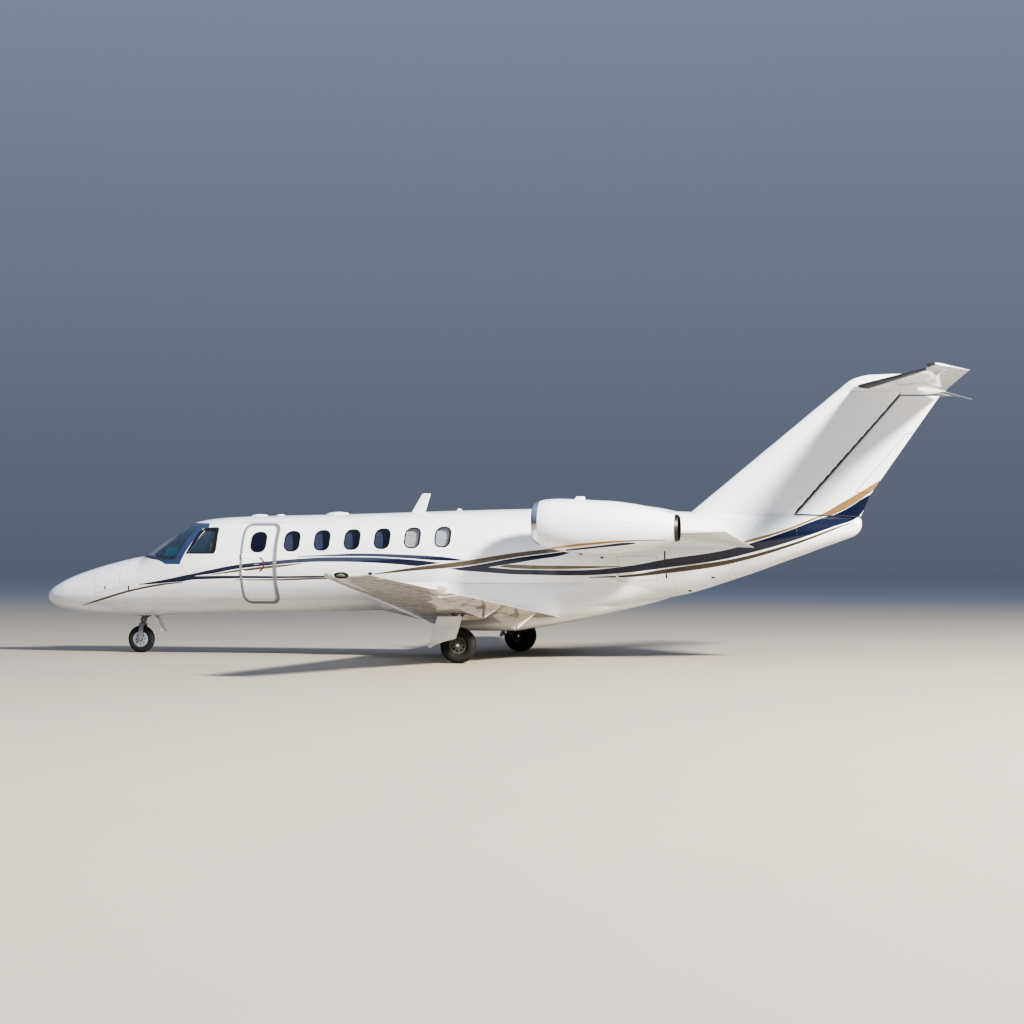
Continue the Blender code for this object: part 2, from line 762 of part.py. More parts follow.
def hang_surface(fixed, moving, ends, places, forward=(-1, 0, 0), reach=0.050):
    """Lug hinges at some parts of the way along a control surface's hinge line."""
    (start, start_radius), (end, end_radius) = ends
    for t in places:
        nose = start_radius + (end_radius - start_radius) * t
        lug_hinge(fixed, moving, start.lerp(end, t), end - start, nose, nose + reach, forward)


def flap_pivot(y):
    return Vector((flap_lead(y) + FLAP_PIVOT_BACK, -y, wing_height(y) - line_at(FLAP_SPAN, FLAP_PIVOT_DROPS, y)))


GEAR_BAY_ROOF = 0.815


def make_wing(fairing_keep):
    wing = loft("wing_left", [wing_ring(*row, wing_height(row[0])) for row in WING])
    cut(wing, surface_gap_cutter((FLAP_SPAN[0], AILERON_SPAN[0] - 0.030), flap_lead, 0.012))
    cut(wing, surface_gap_cutter((AILERON_SPAN[0] - 0.020, AILERON_SPAN[1]), aileron_lead, 0.012))
    cut(wing, cylinder("wheel_bay", (7.78, -1.72, 0.3), (7.78, -1.72, GEAR_BAY_ROOF), 0.31, sides=24))
    cut(wing, box("leg_bay", (7.62, -2.56, 0.3), (7.92, -1.70, GEAR_BAY_ROOF + 0.0008)))
    return cut(wing, fairing_keep, keep_other=True)


def fairing_ring(station, grow=0.0):
    _, bottom, run_out = row_at(FAIRING, station)
    half_width = fuselage_half_width(station, FAIRING_TOP) + FAIRING_LIP + grow
    depth = FAIRING_TOP - bottom + grow
    ring = []
    steps = 16
    for k in range(steps + 1):
        turn = math.pi * k / steps
        along = math.copysign(abs(math.cos(turn)) ** (2 / FAIRING_SHARPNESS), math.cos(turn))
        down = abs(math.sin(turn)) ** (2 / FAIRING_SHARPNESS)
        height = FAIRING_TOP - depth * down
        hull_half_width = fuselage_half_width(station, height, FAIRING_LIP)
        side = half_width * abs(along)
        side += run_out * (min(side, hull_half_width) - side)
        ring.append(Vector((station, math.copysign(side, along), height)))
    return ring


def fairing_solid(name, grow=0.0):
    stations = [row[0] for row in FAIRING]
    stations[0] -= grow
    stations[-1] += grow
    return loft(name, [fairing_ring(s, grow) for s in stations])


def make_fairing():
    fairing = fairing_solid("belly_fairing")
    hull = hull_solid("hull", 5.0, 12.0, -SEAT_GAP)
    return cut(fairing, hull)


# Tail


def fin_row(height):
    for low, high in zip(FIN, FIN[1:]):
        if height <= high[0] or high is FIN[-1]:
            t = (height - low[0]) / (high[0] - low[0])
            return [a + (b - a) * t for a, b in zip(low, high)][1:]
    return None


def rudder_hinge_at(height):
    (x0, z0), (x1, z1) = RUDDER_HINGE_LOW, RUDDER_HINGE_HIGH
    return x0 + (x1 - x0) * (height - z0) / (z1 - z0)


def rudder_nose_at(height):
    places = (RUDDER_HINGE_LOW[1], RUDDER_HINGE_HIGH[1])
    return line_at(places, (RUDDER_NOSE_LOW, RUDDER_NOSE_HIGH), height)


def fin_ring(height):
    """A level section through the fin, cut off square ahead of the rudder's nose."""
    lead, _, thickness = fin_row(height)
    back = rudder_hinge_at(height) - rudder_nose_at(height) - RUDDER_GAP
    full = (back - lead) / 0.62
    sides = []
    for part in (0.62, 0.45, 0.28, 0.14, 0.05, 0.012):
        sides.append((lead + part * full, half_thickness(part, thickness / full) * full))
    ring = [Vector((x, -y, height)) for x, y in sides]
    ring.append(Vector((lead, 0, height)))
    ring += [Vector((x, y, height)) for x, y in reversed(sides)]
    return ring


def make_fin():
    fin = loft("vertical_fin", [fin_ring(row[0]) for row in FIN])
    return cut(fin, hull_solid("hull", 9.0, FUSELAGE[-1][0], -SEAT_GAP))


def rudder_trail_at(height):
    points = [RUDDER_TRAIL_LOW, RUDDER_KINK, RUDDER_TRAIL_HIGH]
    for (x0, z0), (x1, z1) in zip(points, points[1:]):
        if height <= z1:
            return x0 + (x1 - x0) * (height - z0) / (z1 - z0)
    return points[-1][0]


def make_rudder():
    """The rudder: its foot falls towards the back, along the top of the tail cone."""
    rings = []
    low, high = RUDDER_HINGE_LOW[1], RUDDER_HINGE_HIGH[1]
    for height in (low, RUDDER_KINK[1], high):
        radius = rudder_nose_at(height)
        hinge = rudder_hinge_at(height)
        nose = []
        for k in range(7):
            turn = math.pi / 2 + math.pi * k / 6
            nose.append(Vector((hinge + radius * math.cos(turn), radius * math.sin(turn), height)))
        trail = rudder_trail_at(height)
        back = height - (RUDDER_FOOT_FALL if height == low else 0.0)
        rings.append(nose + [Vector((trail, -0.003, back)), Vector((trail, 0.003, back))])
    return loft("rudder", rings)


def rudder_hinge_line():
    ends = []
    for (station, height), radius in ((RUDDER_HINGE_LOW, RUDDER_NOSE_LOW), (RUDDER_HINGE_HIGH, RUDDER_NOSE_HIGH)):
        ends.append((Vector((station, 0, height)), radius))
    return ends


def stabilizer_ring(y, lead, hinge, trail, height, half):
    """A tailplane section, cut off square ahead of the elevator's nose."""
    back = hinge - 0.02 - 0.55 * half
    ring = []
    shape = ((1.0, 0.72), (0.7, 0.95), (0.4, 1.0), (0.15, 0.78), (0.04, 0.45))
    for part, thick in shape:
        ring.append(Vector((lead + part * (back - lead), y, height + half * thick)))
    ring.append(Vector((lead, y, height)))
    for part, thick in reversed(shape):
        ring.append(Vector((lead + part * (back - lead), y, height - half * thick)))
    return ring


def make_stabilizer():
    centre, tip = STABILIZER
    rings = [stabilizer_ring(side * row[0], *row[1:]) for side, row in ((-1, tip), (1, centre), (1, tip))]
    return loft("stabilizer", rings)


def elevator_axis():
    root, tip = STABILIZER
    return Vector((tip[2] - root[2], root[0] - tip[0], tip[4] - root[4])).normalized()


def stabilizer_between(y):
    root, tip = STABILIZER
    t = (y - root[0]) / (tip[0] - root[0])
    return [a + (b - a) * t for a, b in zip(root, tip)]


def make_elevator():
    """The left elevator, with the balance horn at its tip, hanging at its parked droop."""
    rings = []
    for row in (stabilizer_between(ELEVATOR_ROOT_Y), list(STABILIZER[1]), list(STABILIZER_TIP)):
        y, _, hinge, trail, height, half = row
        rings.append(control_ring(-y, hinge, trail, height, half * 0.55))
    elevator = loft("elevator_left", rings)
    horn_rings = []
    for row in (stabilizer_between(2.872), list(STABILIZER_TIP)):
        y, lead, hinge, _, height, half = row
        shape = ((1.0, 0.50), (0.6, 0.85), (0.25, 0.85), (0.06, 0.50))
        front, back = lead, hinge + 0.02
        ring = [Vector((front + part * (back - front), -y, height + half * thick)) for part, thick in shape]
        ring.append(Vector((front, -y, height)))
        ring += [Vector((front + part * (back - front), -y, height - half * thick)) for part, thick in reversed(shape)]
        horn_rings.append(ring)
    return join(elevator, loft("horn", horn_rings))


def elevator_hinge_line():
    ends = []
    for row in (stabilizer_between(ELEVATOR_ROOT_Y), STABILIZER[1]):
        ends.append((Vector((row[2], -row[0], row[4])), row[5] * 0.55))
    return ends


def droop_elevator(elevator):
    """Turns the elevator about its hinge line to where it hangs when parked."""
    set_origin(elevator, elevator_hinge_line()[0][0])
    elevator.data.transform(Matrix.Rotation(-ELEVATOR_DROOP, 4, elevator_axis()))


FIN_CAP = [
    (13.420, 4.285, 4.308, 0.008),
    (13.520, 4.275, 4.391, 0.036),
    (13.660, 4.275, 4.505, 0.064),
    (13.760, 4.275, 4.555, 0.078),
    (14.000, 4.275, 4.608, 0.090),
    (14.500, 4.275, 4.620, 0.092),
    (14.950, 4.285, 4.590, 0.070),
    (15.200, 4.330, 4.500, 0.025),
]


def make_fin_cap(fin, stabilizer):
    """The fairing on top of the fin. Rows of FIN_CAP: station, bottom, top, half width."""
    rings = []
    for station, bottom, top, half in FIN_CAP:
        middle = (bottom + top) / 2
        reach = (top - bottom) / 2
        angles = [2 * math.pi * k / 16 for k in range(16)]
        rings.append([Vector((station, half * math.cos(a), middle + reach * math.sin(a))) for a in angles])
    cap = loft("fin_cap", rings)
    slot_rows = []
    for side, row in ((-1, STABILIZER[1]), (1, STABILIZER[0]), (1, STABILIZER[1])):
        y, lead, hinge, trail, height, half = row
        slot_rows.append((side * y, lead - SEAT_GAP, hinge + 2 * SEAT_GAP, trail, height, half + SEAT_GAP))
    cut(cap, loft("slot", [stabilizer_ring(*row) for row in slot_rows]))
    cut(cap, loft("fin_top", [fin_ring_grown(h) for h in (4.0, 4.3304)]))
    return cap


def fin_ring_grown(height):
    middle = sum((p.x for p in fin_ring(height)), 0.0) / 13
    grown_ring = []
    for point in fin_ring(height):
        x = point.x + math.copysign(SEAT_GAP, point.x - middle)
        y = point.y + (math.copysign(SEAT_GAP, point.y) if point.y else 0)
        grown_ring.append(Vector((x, y, point.z)))
    return grown_ring


# Engines


def nacelle_ring(station, radius, height, sides=24):
    angles = [2 * math.pi * k / sides for k in range(sides)]
    return [Vector((station, -NACELLE_Y + radius * math.cos(a), height + radius * math.sin(a))) for a in angles]


def nacelle_solid(name, grow=0.0):
    return loft(name, [nacelle_ring(s, r + grow, z) for s, r, z in NACELLE])


def make_nacelle():
    nacelle = nacelle_solid("nacelle_left")
    return cut(nacelle, loft("duct", [nacelle_ring(s, r, z) for s, r, z in INTAKE]))


# Engine profile: station, radius
ENGINE = [
    (9.420, 0.110),
    (9.480, 0.150),
    (9.520, 0.150),
    (9.521, 0.292),
    (9.600, 0.292),
    (9.601, 0.225),
    (10.450, 0.215),
    (10.700, 0.150),
    (10.960, 0.030),
]


def duct_centre(station):
    return row_at(INTAKE, station)[2]


def make_engine():
    """One plain block with its vane ring and exhaust cone, seated in the duct."""
    rings = [nacelle_ring(s, r, FAN_CENTRE_HEIGHT, 20) for s, r in ENGINE]
    engine = loft("engine_left", rings)
    feet = []
    for k in range(3):
        turn = math.radians(90 + 120 * k)
        reach = 0.31
        tip = (9.560, -NACELLE_Y + reach * math.cos(turn), FAN_CENTRE_HEIGHT + reach * math.sin(turn))
        feet.append(cylinder("foot", (9.560, -NACELLE_Y, FAN_CENTRE_HEIGHT), tip, 0.018, sides=8))
    join(engine, *feet)
    bore = loft("bore", [nacelle_ring(s, r - SEAT_GAP, z) for s, r, z in INTAKE])
    overlap(engine, bore)
    shaft = cylinder("shaft", (9.385, -NACELLE_Y, FAN_CENTRE_HEIGHT), (9.45, -NACELLE_Y, FAN_CENTRE_HEIGHT), 0.045)
    return join(engine, shaft)


def make_fan():
    """Spinner, hub and twisted blades as one turning piece."""
    hub = turned(
        "fan_left",
        [(-0.155, 0.0), (-0.120, 0.040), (-0.060, 0.078), (0.000, 0.098), (0.040, 0.100), (0.0445, 0.0)],
        (FAN_STATION, -NACELLE_Y, FAN_CENTRE_HEIGHT),
        axis="X",
        sides=16,
    )
    for k in range(FAN_BLADES):
        rings = []
        for reach, twist, chord in ((0.085, 25, 0.050), (FAN_RADIUS, 58, 0.062)):
            lean = math.radians(twist)
            corners = []
            for along, thick in ((-0.5, -0.5), (0.5, -0.5), (0.5, 0.5), (-0.5, 0.5)):
                x = along * chord * math.cos(lean) - thick * 0.006 * math.sin(lean)
                y = along * chord * math.sin(lean) + thick * 0.006 * math.cos(lean)
                corners.append(Vector((x, y, reach)))
            rings.append(corners)
        blade = loft("blade", rings)
        blade.data.transform(Matrix.Rotation(2 * math.pi * k / FAN_BLADES, 4, "X"))
        blade.data.transform(Matrix.Translation((FAN_STATION, -NACELLE_Y, FAN_CENTRE_HEIGHT)))
        join(hub, blade)
    return set_origin(hub, (FAN_STATION, -NACELLE_Y, FAN_CENTRE_HEIGHT))


# Pylon ends: y, height, leading edge, trailing edge, half thickness
PYLON = [
    (0.400, 1.812, 9.350, 12.200, 0.085),
    (1.190, 2.072, 9.750, 11.816, 0.060),
]


def make_pylon():
    """The stub that carries the engine, running on behind it to a sharp tail."""
    rings = []
    for y, height, lead, trail, half in PYLON:
        sides = [(1.0, 0.05), (0.8, 0.25), (0.5, 0.65), (0.25, 1.0), (0.08, 0.65)]
        ring = [Vector((lead + p * (trail - lead), -y, height + t * half)) for p, t in sides]
        ring.append(Vector((lead, -y, height)))
        ring += [Vector((lead + p * (trail - lead), -y, height - t * half)) for p, t in reversed(sides)]
        rings.append(ring)
    pylon = loft("pylon_left", rings)
    cut(pylon, hull_solid("hull", 8.8, 13.0, -SEAT_GAP))
    return cut(pylon, nacelle_solid("nacelle", SEAT_GAP))


# Landing gear

AXLE_RADIUS = 0.026


def tyre_profile(radius, width, rim):
    half = width / 2
    return [
        (-0.40 * half * 2 * 0.8, rim),
        (-half, rim + 0.30 * (radius - rim)),
        (-half, rim + 0.62 * (radius - rim)),
        (-0.78 * half, rim + 0.90 * (radius - rim)),
        (-0.36 * half, radius),
        (0.36 * half, radius),
        (0.78 * half, rim + 0.90 * (radius - rim)),
        (half, rim + 0.62 * (radius - rim)),
        (half, rim + 0.30 * (radius - rim)),
        (0.40 * half * 2 * 0.8, rim),
    ]


def make_wheel(side_name, centre, radius, width, rim):
    tyre = turned(side_name + "_tyre", tyre_profile(radius, width, rim), centre)
    inner, edge, half = AXLE_RADIUS + 0.0006, rim - SEAT_GAP, 0.64 * width / 2
    web, lip = 0.35 * half, edge - 0.022
    profile = [(-half, edge), (half, edge), (half, lip), (web, lip - 0.012), (web, inner)]
    profile += [(-web, inner), (-web, lip - 0.012), (-half, lip)]
    rim_piece = turned(side_name + "_rim", profile, centre)
    return [set_origin(tyre, centre), set_origin(rim_piece, centre)]


def make_main_leg():
    """Leg, trailing arm, shock strut, axle and side brace, all fixed together."""
    y, hub = -HALF_TRACK, MAIN_TYRE_RADIUS
    inboard = y + 0.175
    leg = cylinder("main_leg_left", (7.70, inboard, GEAR_BAY_ROOF), (7.70, inboard, 0.52), 0.052)
    parts = [
        cylinder("lower", (7.70, inboard, 0.54), (7.585, inboard, 0.345), 0.046, 0.040),
        cylinder("knuckle", (7.585, inboard - 0.05, 0.345), (7.585, inboard + 0.05, 0.345), 0.050),
        cylinder("arm", (7.585, inboard, 0.345), (MAIN_AXLE_STATION, inboard, hub), 0.040, 0.045),
        cylinder("axle", (MAIN_AXLE_STATION, inboard + 0.03, hub), (MAIN_AXLE_STATION, y - 0.062, hub), AXLE_RADIUS),
        cylinder("shock", (7.765, inboard, 0.300), (7.715, inboard, 0.640), 0.028, 0.036),
        cylinder("trunnion", (7.6204, inboard, 0.782), (7.9196, inboard, 0.782), 0.026),
        cylinder("brace", (7.70, inboard, 0.560), (7.72, -1.74, 0.760), 0.022, 0.026),
        cylinder("brace_end", (7.6204, -1.76, 0.775), (7.80, -1.76, 0.775), 0.022),
    ]
    return join(leg, *parts)


# Main gear door, seen from the side: station, height
MAIN_DOOR = [
    (7.526, 0.735),
    (7.913, 0.735),
    (7.868, 0.551),
    (7.812, 0.388),
    (7.640, 0.345),
    (7.500, 0.300),
    (7.407, 0.243),
    (7.369, 0.262),
    (7.440, 0.458),
]
MAIN_DOOR_Y = -2.690


def make_main_door():
    """The panel that hangs outboard of the leg, and the two arms that hold it."""
    door = prism("main_door_left", MAIN_DOOR, MAIN_DOOR_Y - 0.012, MAIN_DOOR_Y + 0.012)
    inboard = -HALF_TRACK + 0.175
    arms = [cylinder("arm", (7.70, MAIN_DOOR_Y, z), (7.70, inboard, z), 0.014) for z in (0.600, 0.655)]
    leg = cylinder("leg", (7.70, inboard, 0.9), (7.70, inboard, 0.50), 0.052 + SEAT_GAP)
    return cut(join(door, *arms), leg)


# Nose gear

NOSE_RAKE = math.radians(8.0)


def nose_axis_point(height):
    return NOSE_AXLE_STATION - 0.012 + math.tan(NOSE_RAKE) * (height - NOSE_TYRE_RADIUS)


def make_nose_leg():
    """The fixed upper cylinder, its cross-shaft in the bay's sides and the drag brace."""
    low, high = 0.5300, 0.700
    leg = cylinder("nose_leg", (nose_axis_point(low), 0, low), (nose_axis_point(high), 0, high), 0.040)
    parts = [
        cylinder("shaft", (1.742, -0.1246, 0.668), (1.742, 0.1246, 0.668), 0.022),
        cylinder("brace", (1.735, 0, 0.570), (1.895, 0, 0.672), 0.016),
        cylinder("brace_shaft", (1.885, -0.1246, 0.668), (1.885, 0.1246, 0.668), 0.018),
        cylinder("collar", (nose_axis_point(0.585), 0, 0.585), (nose_axis_point(0.533), 0, 0.533), 0.054),
    ]
    return join(leg, *parts)


def make_nose_fork():
    """The steered part: crown, two fork blades and the axle."""
    crown_x = nose_axis_point(0.478)
    fork = box("nose_fork", (crown_x - 0.045, -0.094, 0.466), (crown_x + 0.045, 0.094, 0.500))
    neck = cylinder("neck", (nose_axis_point(0.490), 0, 0.490), (nose_axis_point(0.5296), 0, 0.5296), 0.040)
    parts = [neck]
    for side in (-1, 1):
        y = side * 0.082
        outline = [
            (crown_x - 0.045, 0.470),
            (crown_x + 0.045, 0.470),
            (NOSE_AXLE_STATION + 0.030, NOSE_TYRE_RADIUS - 0.02),
            (NOSE_AXLE_STATION, NOSE_TYRE_RADIUS - 0.038),
            (NOSE_AXLE_STATION - 0.030, NOSE_TYRE_RADIUS - 0.02),
        ]
        parts.append(prism("blade", outline, y - 0.011, y + 0.011))
    hub = (NOSE_AXLE_STATION, NOSE_TYRE_RADIUS)
    parts.append(cylinder("axle", (hub[0], -0.085, hub[1]), (hub[0], 0.085, hub[1]), AXLE_RADIUS))
    join(fork, *parts)
    return set_origin(fork, (nose_axis_point(0.530), 0, 0.530))


def make_nose_gear_door():
    """The single door behind the nose leg, hanging from the back of its bay."""
    outline = [(1.935, 0.640), (1.960, 0.640), (2.112, 0.372), (2.090, 0.366)]
    door = prism("nose_gear_door", outline, -0.095, 0.095)
    hangers = [box("hanger", (1.942, y - 0.009, 0.630), (2.02 - SEAT_GAP, y + 0.009, 0.665)) for y in (-0.06, 0.06)]
    return join(door, *hangers)


# Inside the cabin

FLOOR_TOP = 0.985
FLOOR_THICKNESS = 0.035
ENTRY_PLATE = {"start": 3.500, "end": 4.620, "half_width": 0.420, "height": 0.003}


def make_floor():
    """The floor, wedged between the hull's inner sides, with a raised plate inside the doorway."""
    floor = box("cabin_floor", (1.70, -1.0, FLOOR_TOP - FLOOR_THICKNESS), (CABIN_AFT - 0.07, 1.0, FLOOR_TOP))
    overlap(floor, hull_solid("inside", NOSE_AFT + 0.06, CABIN_AFT, CABIN_WALL + SEAT_GAP))
    half, under = ENTRY_PLATE["half_width"], FLOOR_TOP - FLOOR_THICKNESS / 2
    low = (ENTRY_PLATE["start"], -half, under)
    return join(floor, box("entry_plate", low, (ENTRY_PLATE["end"], half, FLOOR_TOP + ENTRY_PLATE["height"])))


SEAT_Y = 0.360


def seat_boxes(station, side, facing):
    """One seat: pedestal, cushion and back. Facing is -1 towards the nose, 1 towards the tail."""
    back = station - facing * 0.245
    y = side * SEAT_Y
    foot = sorted((side * 0.210, side * 0.385))
    low = FLOOR_TOP + 0.012
    return [
        box("pedestal", (station - 0.14, foot[0], low), (station + 0.14, foot[1], low + 0.24)),
        box("cushion", (station - 0.25, y - 0.215, low + 0.22), (station + 0.25, y + 0.215, low + 0.35)),
        box("back", (back - 0.055, y - 0.215, low + 0.32), (back + 0.055, y + 0.215, low + 0.88)),
    ]


# Seats: station, side, the way they face
CABIN_SEATS = [(s, side, f) for s, f in ((4.95, 1), (6.25, -1), (7.35, -1)) for side in (-1, 1)]
COCKPIT_SEATS = [(2.90, side, -1) for side in (-1, 1)]


def make_seats(name, seats, start, end):
    """Seats on the tracks that run along the floor, with one cross-member between the tracks."""
    low = FLOOR_TOP + SEAT_GAP
    track = box(name, (start, -0.33, low), (end, -0.28, low + 0.022))
    pieces = [box("track", (start, 0.28, low), (end, 0.33, low + 0.022))]
    pieces.append(box("cross", (start, -0.30, low), (start + 0.05, 0.30, low + 0.020)))
    for station, side, facing in seats:
        pieces += seat_boxes(station, side, facing)
    return join(track, *pieces)


def make_instrument_panel():
    """The panel and its glare shield, standing on the floor ahead of the pilots."""
    panel = box("instrument_panel", (2.28, -0.56, 1.16), (2.38, 0.56, 1.50))
    parts = [
        box("glare_shield", (2.06, -0.50, 1.47), (2.36, 0.50, 1.50)),
        box("pedestal", (2.30, -0.12, FLOOR_TOP + SEAT_GAP), (2.62, 0.12, 1.22)),
    ]
    return join(panel, *parts)


# Assembly


def smooth(piece):
    piece.data.shade_smooth()
    piece.data.set_sharp_from_angle(angle=math.radians(32))


def main():
    clear_scene()
    white = finish_material("white_paint", (0.80, 0.81, 0.83), 0.25)
    grey = finish_material("grey_paint", (0.42, 0.43, 0.44), 0.45)
    metal = finish_material("bare_metal", (0.62, 0.63, 0.65), 0.30, 1.0)
    glass = finish_material("tinted_glass", (0.05, 0.07, 0.10), 0.08)
    rubber = finish_material("tyre_rubber", (0.03, 0.03, 0.03), 0.80)
    leather = finish_material("seat_leather", (0.55, 0.50, 0.42), 0.60)
    trim = finish_material("cabin_trim", (0.22, 0.22, 0.24), 0.70)

    nose = make_nose_section()
    hatches = make_nose_hatches(nose)
    fairing = make_fairing()
    fairing_outer = fairing_solid("fairing_outer", SEAT_GAP)
    wing = make_wing(fairing_outer)
    bpy.data.objects.remove(fairing_outer, do_unlink=True)
    aileron = wing_surface("aileron_left", AILERON_SPAN, aileron_lead)
    flap = wing_surface("flap_left", FLAP_SPAN, flap_lead)
    hang_flap(wing, flap)
    hang_surface(wing, aileron, hinge_line(AILERON_SPAN, aileron_lead), (0.08, 0.5, 0.92))
    fin = make_fin()
    stabilizer = make_stabilizer()
    nacelle, pylon, engine, fan = make_nacelle(), make_pylon(), make_engine(), make_fan()
    elevator, rudder = make_elevator(), make_rudder()
    hang_surface(stabilizer, elevator, elevator_hinge_line(), (0.05, 0.5, 0.94))
    droop_elevator(elevator)
    make_symmetric(stabilizer)
    hang_surface(fin, rudder, rudder_hinge_line(), (0.07, 0.5, 0.93), reach=0.075)
    set_origin(rudder, rudder_hinge_line()[0][0])
    cabin, cabin_door = make_cabin_section(), make_cabin_door()
    for height in (1.380, 1.660):
        point = (DOOR_FRONT, -DOOR_HINGE_OUT, height)
        knuckle_hinge(cabin, cabin_door, point, (0, 0, 1), (-1, 0.7, 0), (1, 0.7, 0), 0.010, 0.052, 0.035)
    set_origin(cabin_door, (DOOR_FRONT, -DOOR_HINGE_OUT, (DOOR_BOTTOM + DOOR_TOP) / 2))
    tail = make_tail_section()
    tail_hatch = make_tail_hatch(tail)
    leg, door = make_main_leg(), make_main_door()
    wheel_centre = (MAIN_AXLE_STATION, -HALF_TRACK, MAIN_TYRE_RADIUS)
    tyre, rim = make_wheel("main_left", wheel_centre, MAIN_TYRE_RADIUS, MAIN_TYRE_WIDTH, 0.140)
    nose_centre = (NOSE_AXLE_STATION, 0, NOSE_TYRE_RADIUS)
    nose_wheel = make_wheel("nose", nose_centre, NOSE_TYRE_RADIUS, NOSE_TYRE_WIDTH, 0.112)

    finishes = {
        white: [make_radome(), nose, *hatches, make_cockpit_section(), cabin, tail],
        grey: [],
        metal: [],
        glass: [*make_windscreens(), make_door_window()],
        rubber: [nose_wheel[0]],
        leather: [
            make_seats("cabin_seats", CABIN_SEATS, 4.70, 7.62),
            make_seats("cockpit_seats", COCKPIT_SEATS, 2.70, 3.20),
        ],
        trim: [make_floor(), make_instrument_panel()],
    }
    finishes[white] += [cabin_door, tail_hatch, fairing, fin, stabilizer, rudder]
    finishes[white] += [make_fin_cap(fin, stabilizer), make_nose_gear_door()]
    finishes[metal] += [make_nose_leg(), make_nose_fork(), nose_wheel[1]]
    pairs = (
        (white, (wing, aileron, flap, elevator, nacelle, pylon, door)),
        (metal, (engine, fan, leg, rim)),
        (rubber, (tyre,)),
    )
    for material, lefts in pairs:
        for left in lefts:
            right = mirrored(left, left.name.replace("left", "right"))
            right.location = (left.location.x, -left.location.y, left.location.z)
            finishes[material] += [left, right]
    for moving, origin in (
        (aileron, Vector((aileron_lead(AILERON_SPAN[0]), -AILERON_SPAN[0], wing_height(AILERON_SPAN[0])))),
        (flap, flap_pivot(FLAP_SPAN[0])),
    ):
        twin = bpy.data.objects[moving.name.replace("left", "right")]
        set_origin(moving, origin)
        set_origin(twin, (origin.x, -origin.y, origin.z))

    datum = bpy.data.objects.new("datum", None)
    bpy.context.scene.collection.objects.link(datum)
    datum.location = (-MID_STATION, 0, 0)
    for material, pieces in finishes.items():
        for piece in pieces:
            piece.data.materials.clear()
            piece.data.materials.append(material)
            piece.parent = datum
            smooth(piece)


main()
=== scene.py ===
# %% [markdown]
# # The looks of a light business jet
# The solids of the aircraft come in as a fixed frame. This lesson dresses them: it models each
# surface again with a finer mesh, paints it with node-based finishes, and hangs every piece on
# the body that moves it. Lengths are in metres. The shapes are worked out in stations, which
# run aft from the nose, with y towards the right wing and z up from the ground.

# %% Load the frame
import math

import bmesh
import bpy
import numpy as np
from mathutils import Matrix, Vector


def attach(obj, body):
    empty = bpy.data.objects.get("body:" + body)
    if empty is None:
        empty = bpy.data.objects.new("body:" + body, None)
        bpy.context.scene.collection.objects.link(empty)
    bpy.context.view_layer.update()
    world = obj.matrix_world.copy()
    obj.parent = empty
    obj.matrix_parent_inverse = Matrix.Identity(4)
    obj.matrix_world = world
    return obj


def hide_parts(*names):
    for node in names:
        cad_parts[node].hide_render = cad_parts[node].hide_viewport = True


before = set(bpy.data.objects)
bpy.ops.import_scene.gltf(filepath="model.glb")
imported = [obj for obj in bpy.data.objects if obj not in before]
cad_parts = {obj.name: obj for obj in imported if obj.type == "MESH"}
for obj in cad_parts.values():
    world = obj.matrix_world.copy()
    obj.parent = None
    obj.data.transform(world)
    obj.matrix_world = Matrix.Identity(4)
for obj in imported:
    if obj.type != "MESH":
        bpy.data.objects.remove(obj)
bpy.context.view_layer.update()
MID_STATION = 0.010 + 15.584 / 2

# %% [markdown]
# The camera comes first, because every later choice is judged through it. The photograph was
# taken from about 38 m away with a long lens, so the wings hardly converge. Its place, its
# turn towards the nose, its slight upward tilt and its roll were fitted to known lengths of
# the aircraft. The matrix is built from three angles, so that each can be read by itself.

# %% Camera
def shown(name, data):
    """A new object in the scene."""
    made = bpy.data.objects.new(name, data)
    bpy.context.scene.collection.objects.link(made)
    return made


CAMERA_PLACE = Vector((8.061, -37.702, 1.632))
CAMERA_YAW, CAMERA_PITCH, CAMERA_ROLL = (math.radians(a) for a in (11.5774, 1.1440, 0.2590))
IMAGE_SIZE = 1024
FOCAL_LENGTH_IN_PIXELS = 2325.62
SENSOR_WIDTH = 36.0


def camera_matrix():
    forward = Vector((-math.sin(CAMERA_YAW) * math.cos(CAMERA_PITCH),
                      math.cos(CAMERA_YAW) * math.cos(CAMERA_PITCH), math.sin(CAMERA_PITCH)))
    level = Vector((math.cos(CAMERA_YAW), math.sin(CAMERA_YAW), 0))
    above = level.cross(forward)
    right = level * math.cos(CAMERA_ROLL) + above * math.sin(CAMERA_ROLL)
    up = above * math.cos(CAMERA_ROLL) - level * math.sin(CAMERA_ROLL)
    return Matrix.Translation(CAMERA_PLACE) @ Matrix((right, up, -forward)).transposed().to_4x4()


camera_data = bpy.data.cameras.new("photo_camera")
camera_data.sensor_width = SENSOR_WIDTH
camera_data.lens = FOCAL_LENGTH_IN_PIXELS * SENSOR_WIDTH / IMAGE_SIZE
camera_data.clip_end = 500
camera = shown("photo_camera", camera_data)
camera.matrix_world = camera_matrix()
bpy.context.scene.camera = camera
print("lens", round(camera_data.lens, 2), "mm")

# %% [markdown]
# A studio for an aircraft is a large pale floor, one big soft lamp high behind the left wing,
# where the sun stood, and a weak cool sky that fills the shade. Towards its rim the floor gets
# darker, and so does the sky towards the horizon, so that the white tail stands out, as it does
# in the photograph. A wall would do the same, but it would hide the aircraft from the far side.
# A sun lamp would be simpler, but its hard edge is not soft studio light, so an area lamp is
# used. The floor has a faint grain, so that it doesn't look like empty paper.


